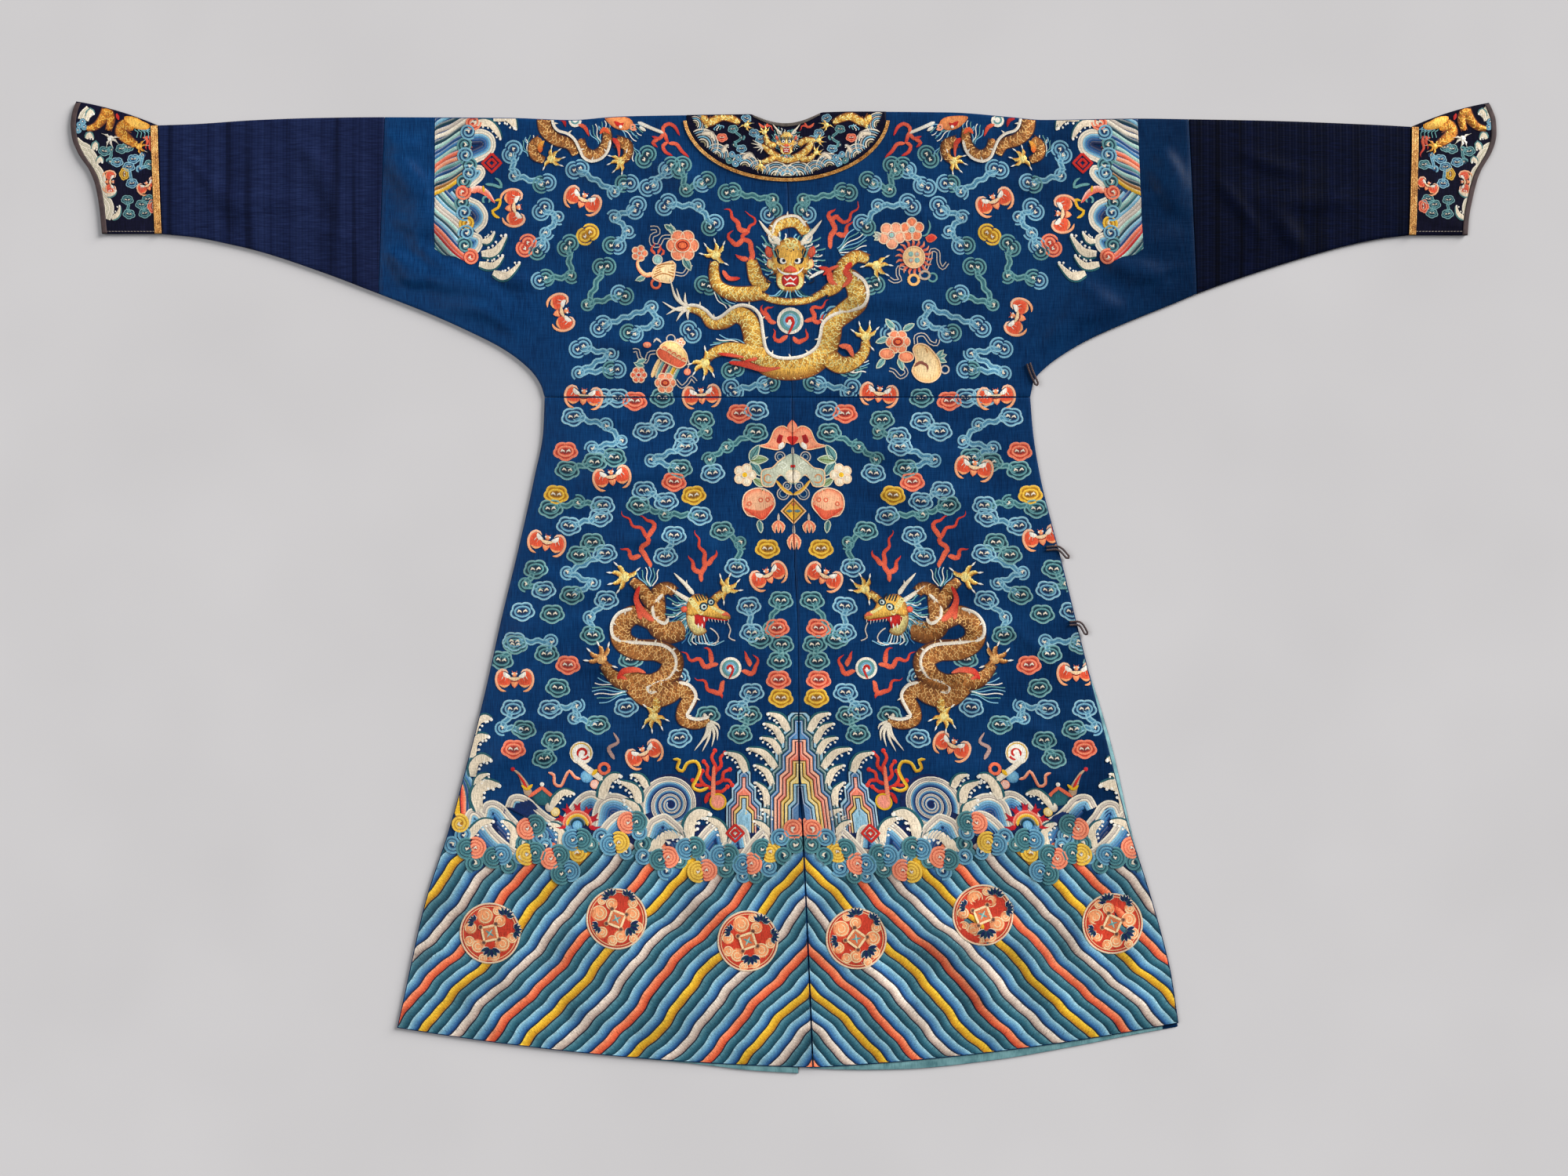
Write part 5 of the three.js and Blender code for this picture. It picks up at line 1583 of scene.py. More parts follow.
def great_dragon(needle):
    """The front-facing dragon in the middle of the back."""
    gold = BRIGHT_GOLD
    for points in (
        [(963, 346), (957, 334), (960, 322), (955, 310), (948, 302), (956, 292), (962, 286), (958, 274),
         (950, 272)],
        [(956, 298), (944, 292), (938, 282), (932, 272), (924, 267)],
        [(950, 306), (938, 312), (930, 306), (934, 294)], [(954, 330), (946, 332), (940, 324)],
        [(1060, 318), (1058, 306), (1064, 296), (1062, 284), (1068, 276), (1074, 286), (1082, 280),
         (1090, 270), (1096, 258)],
        [(1066, 300), (1076, 300), (1082, 290), (1086, 282)],
        [(1062, 288), (1058, 276), (1064, 266)],
    ):
        flame(needle, points, 6.2)
    scaled_body(needle, [(984, 304), (990, 290), (1004, 283), (1018, 285), (1029, 299)],
                [13, 15, 16, 15, 13], gold)
    scaled_body(needle, [(968, 376), (985, 383), (1008, 386), (1032, 383), (1054, 372)], [8, 8, 8, 8, 9],
                gold, 0.5)
    tail = [
        (1070, 354), (1084, 356), (1093, 370), (1093, 386), (1078, 399), (1063, 412), (1059, 430),
        (1052, 449), (1032, 466), (1004, 471), (980, 466), (964, 449), (960, 426), (953, 408), (938, 402),
        (924, 411), (908, 413), (899, 402), (888, 396), (876, 394),
    ]
    widths = [20, 24, 26, 26, 25, 25, 26, 28, 29, 29, 28, 27, 25, 24, 23, 21, 17, 13, 10, 7]
    scaled_body(needle, tail, widths, gold, 0.6)
    spines(needle, [(1087, 348), (1102, 359), (1107, 376), (1101, 391), (1085, 397), (1064, 402),
                    (1050, 413), (1046, 430), (1041, 444), (1024, 455), (1003, 458), (987, 455), (977, 445),
                    (973, 424), (970, 405), (961, 394), (947, 390), (934, 394), (921, 404), (911, 407),
                    (901, 397), (890, 391), (878, 390)], 1)
    spines(needle, [(985, 300), (990, 284), (1004, 277), (1018, 278), (1028, 290)], -1, 3.4)
    for tip in ((859, 364), (866, 374), (875, 378), (852, 388), (856, 400), (866, 407), (878, 406)):
        ahead = np.array(tip, float) - (880, 394)
        bent = crosswise(ahead) * (0.3 if tip[1] < 390 else -0.24)
        needle.stroke([(880, 394), (880, 394) + 0.55 * ahead - 0.6 * bent, tip + 0.25 * ahead + 0.1 * bent],
                      [4, 3.6, 1], CREAM, lift=1.0, crown=0.5)
    leg(needle, [(958, 332), (962, 346), (966, 358), (980, 368)], [12, 17, 18, 14], gold)
    leg(needle, [(972, 374), (950, 376), (930, 374), (915, 364), (911, 348), (912, 334)],
        [18, 19, 18, 15, 13, 10], gold, 1.0)
    paw(needle, 913, 326, -100, gold, 1.0, 1.3)
    needle.stroke([(922, 346), (930, 356), (944, 356)], [5, 6, 4], CORAL, tip=RED, lift=2.0)
    tuft(needle, (912, 372), (940, 388), 6, 12)
    leg(needle, [(1052, 374), (1064, 366), (1072, 352), (1078, 338), (1092, 328), (1108, 332)],
        [13, 19, 20, 17, 15, 11], gold, 1.0)
    paw(needle, 1118, 340, 35, gold, 1.0, 1.3)
    for points, width in (([(1044, 342), (1056, 346), (1060, 360), (1068, 364)], [3, 7, 8, 4]),
                          ([(1086, 336), (1078, 346), (1084, 356), (1074, 368)], [7, 9, 7, 3]),
                          ([(1050, 352), (1060, 344), (1070, 340)], [3, 5, 3])):
        needle.stroke(points, width, RED, tip=CORAL, lift=2.0)
    needle.stroke([(1032, 356), (1042, 350), (1052, 346)], [3, 4, 3], WHITE, lift=1.6)
    tuft(needle, (1070, 322), (1106, 302), 7, 16)
    leg(needle, [(976, 456), (950, 450), (930, 446), (912, 450), (902, 458)], [24, 22, 19, 14, 10], gold,
        1.0)
    paw(needle, 899, 464, 130, gold, 1.05, 1.3)
    for points, width in (([(916, 452), (934, 454), (950, 457)], [3, 5, 2]),
                          ([(930, 463), (952, 466), (974, 472), (996, 470)], [4, 8, 7, 2]),
                          ([(950, 462), (966, 458)], [3, 5])):
        needle.stroke(points, width, RED, tip=CORAL, lift=2.4)
    tuft(needle, (950, 442), (906, 440), 7, 12)
    leg(needle, [(1056, 456), (1072, 466), (1090, 462), (1102, 450), (1104, 436)], [24, 22, 17, 13, 10],
        gold, 1.0)
    paw(needle, 1104, 430, -80, gold, 1.0, 1.3)
    needle.stroke([(1070, 442), (1082, 444), (1088, 456)], [5, 8, 4], CORAL, lift=2.4)
    tuft(needle, (1076, 470), (1110, 462), 6, 12)
    front_face(needle, 1008, 338, gold)
    pearl(needle, 1008, 410, 17)
    for points in ([(990, 412), (980, 408), (978, 396), (986, 390)], [(984, 408), (972, 400), (974, 390)],
                   [(1026, 410), (1038, 408), (1036, 396), (1046, 392), (1058, 384)],
                   [(1036, 410), (1046, 410), (1052, 402)],
                   [(1004, 428), (996, 436), (988, 430), (986, 420)],
                   [(1012, 430), (1020, 438), (1028, 430), (1030, 420)]):
        flame(needle, points, 5.6)


def side_face(needle, x, y, palette):
    """A dragon's head in profile, jaws open to the right."""
    dark, body, bright = palette
    motif = Motif(needle, x, y)
    for k in range(15):
        a = math.radians(128 + k * 10.5)
        root = motif.spot([(-6 + 8 * math.cos(a), 4 - 16 * math.sin(a))])[0]
        reach = 34 + 8 * (k % 3)
        end = motif.spot([(-6 + reach * math.cos(a), 4 - (reach - 4) * math.sin(a + 0.25))])[0]
        tuft(needle, root, end, 2, 5, (LIGHT_BLUE, WHITE, BLUE)[k % 3], 1.4, 0.6)
    for points, width in (([(-5, -19), (-14, -30), (-22, -38), (-30, -46)], [6, 5, 4, 1.5]),
                          ([(-9, -10), (-24, -19), (-40, -30)], [6, 5, 1.5]),
                          ([(-14, -29), (-14, -37)], [3, 1.2])):
        motif.stroke(points, width, CREAM, lift=1.2, crown=0.6)
    jaw = [(-13, 2), (-4, 5), (-4, 16), (1, 23), (9, 23), (12, 28), (6, 33), (-3, 33), (-10, 25), (-14, 14)]
    motif.patch(jaw, dark, bright, 1.0, 0.8, GOLD)
    mouth = [(-6, 5), (6, 8), (15, 11), (10, 17), (9, 24), (1, 24), (-5, 15)]
    motif.patch(mouth, DEEP_RED, RED, 1.4, 0.3)
    head = [(-13, -8), (-6, -18), (5, -19), (13, -15), (22, -11), (28, -1), (36, 3), (42, 8), (40, 14),
            (28, 12), (18, 11), (8, 9), (-2, 7), (-10, 10), (-15, 4)]
    motif.patch(head, dark, body, 1.3, 1.1, GOLD, inner=0.8)
    for k in range(6):
        motif.ring(-8 + k * 2.4, -12 + k * 3.2, 3.4, 1.9, bright, 2.2, 0.2, 60 * k, 400, slot=GOLD,
                   spread=-2)
    motif.stroke([(16, -4), (26, 2), (36, 6)], [5, 4, 4], bright, lift=2.2, crown=0.4, slot=GOLD)
    motif.stroke([(31, 7), (37, 6), (41, 9)], [4, 5, 3], CORAL, lift=2.4, crown=0.4)
    motif.stroke([(12, 10.5), (26, 13), (38, 14.5)], 1.8, RED, lift=2.0)
    for px, py, reach in ((8, 10, 6), (14, 12, 3.4), (18, 12.6, 3.4), (22, 13, 3.4), (26, 13.4, 3.4),
                          (30, 13.8, 3.4), (34, 14.2, 5), (39, 13, 4)):
        motif.stroke([(px, py), (px + 0.8, py + reach)], [3, 1], WHITE, lift=2.3)
    for px, py in ((1, 24), (6, 24)):
        motif.stroke([(px, py), (px, py - 6)], [3, 1.2], WHITE, lift=2.0)
    for eye_x, eye_y, r in ((8, -3, 4.8), (17, -9, 4.0)):
        cx, cy = motif.spot([(eye_x, eye_y)])[0]
        needle.disc(cx, cy, r + 1.2, INK, DEEP_TEAL, 2.3, 0.2, sides=11)
        needle.disc(cx, cy, r * 0.82, LIGHT_TEAL, WHITE, 2.5, 0.2, sides=10)
        needle.disc(cx + 0.5, cy, r * 0.4, INK, INK, 2.8, 0.1, sides=7)
    for k in range(5):
        motif.thread([(1 + k * 3.4, -10 - k * 0.8), (-3 + k * 3.2, -18 - k * 0.6)], 1.6,
                     (INK, DEEP_TEAL)[k % 2], 2.4)
    motif.disc(-17, 0, 4.2, RED, CORAL, 1.5, 0.4, sides=8)
    for points in ([(16, 24), (22, 28), (27, 36), (22, 46)], [(38, 17), (42, 26), (40, 36), (48, 40)]):
        motif.thread(points, 1.5, GREY_CREAM, 0.9)
    for k in range(7):
        motif.thread([(-8 + k * 3, 31), (-12 + k * 5, 40 + k), (-8 + k * 7, 46 - k)], 1.4,
                     (LIGHT_BLUE, WHITE)[k % 2], 0.9)


def running_dragon(needle):
    """The dragon on the left of the skirt, that turns back towards a pearl."""
    brown, bright = BROWN_GOLD, BRIGHT_GOLD
    scaled_body(needle, [(874, 802), (852, 806), (838, 794), (838, 774), (840, 756), (852, 750),
                         (862, 756)], [24, 28, 28, 24, 20, 16, 12], brown, 0.5)
    coil = [
        (838, 796), (812, 784), (794, 796), (794, 816), (812, 828), (840, 830), (858, 842), (852, 862),
        (834, 872), (812, 868), (798, 858),
    ]
    scaled_body(needle, coil, [20, 23, 25, 26, 26, 26, 27, 27, 27, 22, 16], brown, 0.7)
    spines(needle, [(807, 776), (790, 782), (781, 796), (783, 812), (797, 818), (820, 820), (846, 823),
                    (860, 834), (862, 850), (853, 864), (838, 870), (827, 876), (829, 884), (838, 882)], -1)
    spines(needle, [(846, 758), (834, 772), (836, 788), (848, 795), (853, 788)], -1)
    spines(needle, [(866, 870), (880, 874), (888, 887), (881, 904), (877, 913), (890, 917), (905, 914)], -1)
    scaled_body(needle, [(806, 872), (828, 888), (852, 886), (868, 878), (880, 890), (872, 906), (872, 918),
                         (888, 924), (906, 919)], [24, 28, 27, 22, 20, 18, 15, 11, 8], brown, 0.9)
    for tip in ((886, 957), (896, 958), (908, 952), (915, 944), (918, 930), (898, 944)):
        middle = ((tip[0] + 908) / 2 + 3, (tip[1] + 918) / 2)
        needle.stroke([(904, 919), middle, tip], [4, 3.4, 1], CREAM, lift=1.2, crown=0.5)
    leg(needle, [(842, 776), (828, 764), (818, 750), (806, 740)], [22, 18, 14, 10], brown, 1.0)
    paw(needle, 797, 736, 190, bright, 1.1, 1.3)
    for points, width in (([(816, 748), (812, 764), (820, 780), (834, 792)], [4, 7, 9, 6]),
                          ([(812, 770), (818, 790)], [4, 7])):
        needle.stroke(points, width, RED, tip=CORAL, lift=2.2)
    tuft(needle, (830, 748), (826, 722), 6, 14)
    leg(needle, [(906, 772), (914, 762), (922, 756)], [10, 9, 8], bright, 1.0)
    paw(needle, 927, 751, -40, bright, 1.0, 1.3)
    leg(needle, [(808, 868), (792, 868), (778, 858), (770, 846)], [26, 20, 14, 10], brown, 1.0)
    paw(needle, 768, 840, -110, brown, 1.1, 1.3)
    for points, width in (([(788, 866), (796, 856), (812, 854), (824, 858)], [4, 8, 7, 3]),
                          ([(790, 862), (800, 866)], [5, 4])):
        needle.stroke(points, width, RED, tip=CORAL, lift=2.2)
    tuft(needle, (800, 880), (754, 878), 8, 18)
    leg(needle, [(836, 888), (838, 900), (836, 908)], [15, 11, 8], bright, 1.1)
    paw(needle, 834, 914, 90, bright, 1.0, 1.4)
    tuft(needle, (852, 862), (852, 892), 6, 14)
    side_face(needle, 890, 777, bright)
    pearl(needle, 932, 852, 14)
    for points in ([(916, 846), (902, 850), (892, 842), (880, 840), (870, 830)],
                   [(906, 846), (908, 834), (898, 826)],
                   [(924, 868), (916, 884), (906, 880), (896, 868), (886, 864)], [(914, 882), (922, 890)],
                   [(946, 856), (958, 858), (966, 848), (962, 834)], [(956, 850), (954, 838), (948, 832)]):
        flame(needle, points, 6)
    for points in ([(830, 724), (826, 712), (818, 702), (826, 692), (824, 680), (812, 672), (802, 664),
                    (793, 652)], [(824, 686), (834, 676), (830, 664), (816, 660)],
                   [(818, 710), (806, 710), (800, 702), (792, 698)],
                   [(894, 742), (896, 728), (900, 716), (896, 702), (890, 688), (888, 676)],
                   [(900, 720), (908, 716), (914, 702)], [(894, 732), (884, 722), (880, 708)]):
        flame(needle, points, 6)


# Flowers and emblems
def flower(needle, x, y, r, petals=5, colour=PALE_CORAL, core=CORAL, turn=0):
    """A blossom of round petals, each with a pale edge, about a core."""
    for k in range(petals):
        a = math.radians(turn + 360 * k / petals)
        px, py = x + r * 0.6 * math.cos(a), y + r * 0.6 * math.sin(a)
        needle.disc(px, py, r * 0.42, mix(colour, core, 0.6), colour, 0.4, 0.4, sides=10)
        needle.ring(px, py, r * 0.42, 1.5, PALE_OUTLINE, 0.7, 0.1)
    needle.disc(x, y, r * 0.26, core, core, 0.85, 0.3, sides=9)
    needle.ring(x, y, r * 0.28, 1.3, CREAM, 1.1, 0.1)


def peony(needle, x, y, r):
    """A full flower: six petals and a red heart with an orange eye."""
    flower(needle, x, y, r, 6, light(250, 150, 108), light(226, 80, 52))
    needle.disc(x, y, r * 0.5, light(220, 70, 46), light(246, 120, 70), 1.0, 0.4, sides=12, squash=0.86)
    needle.ring(x, y, r * 0.5, 1.5, PALE_OUTLINE, 1.3, 0.1, squash=0.86)
    needle.ring(x, y, r * 0.3, 1.4, DEEP_RED, 1.5, 0.1, squash=0.8)


def hollow_ribbon(needle, points, width):
    """A ribbon worked in two pale outlines."""
    line = smooth_line(points, 3.5)
    for side in (-1, 1):
        needle.thread(line + normals(line) * side * width / 2, 1.3, GREY_CREAM, 0.5, exact=True)


def leaf(needle, x, y, turn, size=1.0, colour=TEAL):
    """A leaf with a pale edge and a vein, turned about its stalk."""
    spot = Spot(x, y, turn, size)
    outline = [(0, 0), (7, -5.5), (15, -5), (23, 0), (15, 4), (7, 5)]
    needle.patch(spot(outline), colour, mix(colour, MINT, 0.4), 0.35, 0.35)
    needle.thread(spot(outline), 1.4, light(204, 214, 190), 0.65, closed=True)
    needle.thread(spot([(1, 0), (19, 0)]), 1.1, mix(colour, INK, 0.4), 0.8)


def peach(needle, x, y, r, turn=0):
    """A peach, pale above and red below, with a cleft foot."""
    spot = Spot(x, y, turn, r / 22)
    outline = [(-18, 0), (-14, -13), (-4, -18), (8, -17), (18, -8), (19, 5), (10, 14), (2, 19), (-6, 14),
               (-14, 11)]
    needle.patch(spot(outline), light(238, 116, 80), light(252, 194, 150), 0.5, 0.7)
    needle.patch(spot([(-17, 2), (-6, 6), (6, 8), (17, 4), (10, 14), (2, 19), (-6, 14)]),
                 light(222, 62, 44), light(240, 110, 76), 0.95, 0.3)
    needle.thread(spot(outline), 1.5, light(252, 214, 176), 0.95, closed=True)
    for px, py in ((-10, -2), (4, -4), (12, -3)):
        needle.ring(*spot([(px, py)])[0], 2.4, 1.4, CORAL, 1.35, 0.1)


def middle_emblem(needle):
    """Half of the hanging emblem on the middle seam; it is mirrored for the other half."""
    wing = [(1012, 553), (1005, 547), (1000, 544), (993, 545), (987, 550), (984, 558), (979, 566),
            (969, 569), (980, 572), (992, 574), (1000, 570), (1002, 562), (1012, 568)]
    needle.patch(wing, CORAL, light(252, 170, 130), 0.5, 0.5)
    needle.patch([(1012, 536), (1005, 542), (1004, 550), (1012, 553)], CORAL, PALE_CORAL, 0.7, 0.4)
    needle.patch([(1012, 557), (1003, 558), (1006, 564), (1012, 568)], RED, RED, 0.9, 0.2)
    needle.patch([(994, 554), (999, 556), (996, 566), (990, 564)], RED, DEEP_RED, 0.95, 0.2)
    needle.patch([(993, 568), (999, 564), (1000, 570), (994, 574)], CREAM, WHITE, 0.95, 0.2)
    needle.thread(wing[1:-1], 1.4, OUTLINE, 0.85)
    needle.stroke([(1011, 570), (1011, 581)], [3, 4], GREY_CREAM, lift=0.6)
    for x, y, r in ((995, 583, 6.4), (1004, 620, 5), (999, 630, 7.6)):
        needle.ring(x, y, r, 1.5, GREY_CREAM, 0.45, 0.1)
        needle.ring(x, y, r - 3, 1.3, light(140, 160, 170), 0.45, 0.1)
    chime = [(1012, 581), (1001, 583), (992, 590), (985, 597), (973, 600), (971, 610), (974, 620),
             (986, 620), (990, 611), (996, 606), (1003, 610), (1006, 616), (1012, 617)]
    needle.patch(chime, light(164, 178, 158), light(214, 216, 190), 0.6, 0.5)
    needle.patch([(1012, 600), (1003, 602), (1002, 609), (1006, 614), (1012, 616)], light(240, 214, 170),
                 CREAM, 1.0, 0.3)
    needle.ring(980, 610, 6.5, 1.7, light(236, 150, 90), 1.0, 0.15, 40, 320, spread=-3)
    needle.thread([(992, 594), (998, 590), (1004, 594), (999, 598), (996, 595)], 1.3, light(240, 244, 224),
                  1.1)
    needle.disc(1010, 595, 2.0, RED, RED, 1.1, 0.1, sides=7)
    needle.thread(chime[1:-1], 1.6, OUTLINE, 0.95)
    needle.stroke([(990, 613), (997, 622), (1004, 628), (1012, 631)], [3, 4, 4.6, 5], YELLOW, lift=0.9,
                  sides=(OUTLINE, light(200, 140, 60)))
    needle.patch([(1013, 636), (996.5, 652), (1013, 668)], light(232, 150, 70), YELLOW, 0.7, 0.3,
                 smoothed=False)
    for inset, colour, width in ((0, OUTLINE, 1.8), (3, INK, 1.4)):
        needle.thread([(1013, 636 + inset), (996.5 + inset, 652), (1013, 668 - inset)], width, colour, 1.05,
                      exact=True)
    needle.stroke([(1011, 652), (1003, 652)], [3.4, 4.4, 2.4], light(96, 130, 140), lift=1.2)
    needle.stroke([(1011, 645), (1010, 641)], [3, 3], CORAL, lift=1.2)
    for x, top, drop in ((993, 655, 25), (1012.5, 669, 32)):
        needle.stroke([(x, top), (x, top + drop * 0.4)], [2.4, 4], GREY_CREAM, lift=0.7)
        for reach in (-6, 0, 6):
            needle.stroke([(x, top + drop * 0.36), (x + reach, top + drop * 0.66),
                           (x + reach * 0.7, top + drop)], [3, 6, 2.5], VERMILION, tip=CORAL, lift=0.8,
                          sides=(OUTLINE, OUTLINE))
    leaf(needle, 975, 620, 215, 0.8, LEAF)
    peach(needle, 967, 643, 24, -10)
    leaf(needle, 972, 624, 70, 0.9, LEAF)
    leaf(needle, 968, 632, 150, 0.7)
    leaf(needle, 968, 664, 80, 0.7)
    leaf(needle, 976, 640, 0, 0.5, GREY_CREAM)
    for x, y, turn, colour in ((957, 588, -60, TEAL), (957, 588, -5, LEAF), (957, 590, 50, TEAL)):
        leaf(needle, x, y, turn, 1.0, colour)
    flower(needle, 950, 606, 14, 5, CREAM, YELLOW)


def side_emblems(needle):
    """The flowers and precious things beside the great dragon."""
    leaf(needle, 862, 296, -150, 0.7)
    leaf(needle, 872, 330, 60, 0.8)
    leaf(needle, 858, 300, -100, 0.6, LIGHT_TEAL)
    peony(needle, 871, 314, 20)
    hollow_ribbon(needle, [(856, 303), (846, 304), (840, 314), (832, 312), (832, 302), (840, 298),
                           (838, 292), (830, 292)], 4.6)
    hollow_ribbon(needle, [(862, 350), (872, 351), (878, 343), (882, 338)], 4)
    shell = [(832, 352), (836, 342), (846, 337), (858, 334), (862, 338), (858, 360), (846, 361), (836, 358)]
    needle.patch(shell, STRAW, light(250, 220, 168), 0.6, 0.6)
    for k in range(5):
        needle.thread([(834 + k * 1.2, 355 - k * 3.6), (846, 350 - k * 3.0), (860, 354 - k * 4.2)], 1.5,
                      light(186, 120, 62), 1.15)
    needle.thread(shell, 1.6, OUTLINE, 1.0, closed=True)
    needle.stroke([(834, 350), (824, 352), (815, 343), (814, 334), (821, 332)], [6, 6, 5, 4, 3],
                  light(250, 206, 146), lift=0.7, sides=(OUTLINE, CORAL))
    flower(needle, 816, 324, 10, 5, light(250, 140, 100), CORAL)
    leaf(needle, 824, 354, 160, 0.6, LIGHT_TEAL)
    needle.ring(837, 363, 5.6, 3, CORAL, 0.6, 0.3)
    needle.disc(839, 332, 6, light(120, 150, 156), MINT, 0.7, 0.4)
    needle.ring(839, 332, 6, 1.3, CREAM, 1.0, 0.1)
    for points in ([(836, 326), (831, 320), (836, 314), (834, 310)], [(840, 325), (842, 318), (839, 312)],
                   [(843, 326), (847, 321), (844, 315)]):
        flame(needle, points, 3.4)
    # The wheel and the blossoms on the right
    flower(needle, 1137, 301, 17, 5, light(252, 174, 136), CORAL, 15)
    flower(needle, 1163, 294, 15, 5, light(246, 140, 96), light(222, 84, 56), -20)
    for x, y in ((1137, 301), (1163, 294)):
        needle.disc(x, y, 3.6, light(120, 150, 150), MINT, 1.2, 0.2, sides=8)
    for turn in (150, 180, 210):
        leaf(needle, 1124, 302, turn, 0.45, GREY_CREAM)
    needle.stroke([(1175, 302), (1182, 300), (1186, 290), (1184, 282)], [2, 2.4, 2.4, 1.6], LIGHT_TEAL,
                  lift=0.5)
    needle.patch([(1180, 304), (1188, 299), (1195, 304), (1188, 310), (1182, 309)], CORAL, RED, 0.6, 0.4)
    centre = np.array((1165.5, 329.0))
    for turn in range(0, 360, 20):
        out = heading(turn)
        hook = crosswise(out) * 3
        needle.stroke([centre + out * 13, centre + out * 19 + hook, centre + out * 24 + hook * 0.3],
                      [4, 3.4, 1.2], RED, tip=PALE_CORAL, lift=0.5, crown=0.3)
    needle.disc(*centre, 14, light(244, 184, 120), light(250, 214, 160), 0.8, 0.4, sides=16)
    needle.ring(*centre, 13.6, 1.8, OUTLINE, 1.2, 0.1)
    for k in range(4):
        needle.disc(*(centre + 5.6 * heading(45 + 90 * k)), 3.4, (LIGHT_TEAL, CORAL)[k % 2], MINT, 1.3, 0.2,
                    sides=8)
    hollow_ribbon(needle, [(1156, 344), (1146, 342), (1145, 352), (1148, 358), (1140, 360), (1134, 356)], 4)
    hollow_ribbon(needle, [(1180, 346), (1186, 330), (1188, 320), (1196, 322), (1197, 336), (1202, 343),
                           (1208, 336)], 4)
    needle.ring(1165, 358, 6.4, 3.6, light(244, 184, 110), 0.6, 0.3)
    needle.ring(1179, 352, 6.4, 3, light(190, 170, 150), 0.6, 0.2, squash=0.8)
    needle.ring(1189, 355, 5.4, 2.4, LIGHT_TEAL, 0.5, 0.2)
    # The canopy with its streamers
    for k, colour in enumerate((STRAW, LIGHT_TEAL, DEEP_RED, LIGHT_TEAL, YELLOW, LIGHT_TEAL)):
        needle.stroke([(842 + k * 5, 458 + k * 2), (836 + k * 5, 470 + k * 2), (832 + k * 5.4, 482 + k)],
                      [4.4, 5, 5], colour, lift=0.5, sides=(OUTLINE, mix(colour, INK, 0.3)))
    skirt = [(838, 449), (846, 444), (860, 452), (876, 462), (868, 470), (856, 466), (842, 458)]
    needle.patch(skirt, VERMILION, CORAL, 0.8, 0.4)
    crown = [(842, 444), (848, 438), (856, 436), (866, 440), (876, 452), (876, 462), (862, 456), (850, 448)]
    needle.patch(crown, light(244, 190, 110), light(250, 216, 150), 1.0, 0.5)
    for outline in (skirt, crown):
        needle.thread(outline, 1.5, OUTLINE, 1.35, closed=True)
    for k in range(5):
        needle.ring(848 + k * 6, 446 + k * 3.6, 2.6, 1.5, CORAL, 1.5, 0.1, 180, 200)
    needle.ring(856, 433, 5.4, 1.6, GREY_CREAM, 0.6, 0.15)
    flower(needle, 868, 438, 6, 5, PALE_CORAL, RED)
    needle.stroke([(844, 438), (838, 433), (834, 438)], [3, 3, 2], GREY_CREAM, lift=0.6)
    needle.disc(826, 441, 5.5, CORAL, PALE_CORAL, 0.6, 0.4, sides=9, squash=0.7)
    needle.stroke([(876, 456), (879, 464), (877, 472)], [2, 2, 2], GREY_CREAM, lift=0.6)
    needle.disc(877, 475, 4.6, CORAL, PALE_CORAL, 0.6, 0.4, sides=9)
    hollow_ribbon(needle, [(837, 450), (828, 452), (824, 462), (816, 456), (814, 448), (808, 448)], 4)
    leaf(needle, 812, 464, -20, 0.6, LIGHT_TEAL)
    leaf(needle, 822, 468, 200, 0.6, LIGHT_TEAL)
    flower(needle, 815, 479, 10, 6, CORAL, RED)
    peony(needle, 849, 489, 13)
    hollow_ribbon(needle, [(862, 486), (870, 494), (878, 488), (882, 482), (888, 488)], 4)
    # The peony and the vessel on the lower right
    for x, y, turn in ((1132, 432, 160), (1140, 420, -130), (1152, 422, -30), (1128, 458, 130),
                       (1146, 458, 70)):
        leaf(needle, x, y, turn, 0.7, LIGHT_TEAL)
    for x, y in ((1131, 452), (1155.5, 456)):
        needle.disc(x, y, 9.5, VERMILION, light(252, 160, 116), 0.5, 0.5, sides=11, squash=0.7)
        needle.ring(x, y, 9.5, 1.5, OUTLINE, 0.9, 0.1, squash=0.7)
    peony(needle, 1145, 437, 15)
    vessel = [(1164, 446), (1170, 440), (1180, 441), (1190, 450), (1198, 462), (1199, 478), (1188, 488),
              (1172, 486), (1163, 474), (1168, 460)]
    needle.patch(vessel, light(244, 190, 120), light(250, 222, 170), 0.6, 0.7)
    needle.thread(vessel, 1.6, OUTLINE, 1.2, closed=True)
    needle.stroke([(1166, 468), (1174, 463), (1182, 468), (1182, 476)], [3, 4, 4, 3], light(150, 84, 70),
                  lift=1.35)
    needle.ring(1176, 450, 6, 1.2, light(190, 120, 60), 1.35, 0.1, -60, 150)
    for turn in (-50, -20, 20):
        leaf(needle, 1194, 458, turn, 0.6, LIGHT_TEAL)
    hollow_ribbon(needle, [(1168, 440), (1168, 430), (1178, 428), (1186, 438), (1194, 440), (1196, 434)], 4)
    needle.ring(1205, 472, 5, 2, GREY_CREAM, 0.5, 0.15)
    hollow_ribbon(needle, [(1150, 466), (1156, 476), (1148, 482), (1140, 474), (1134, 472)], 4)


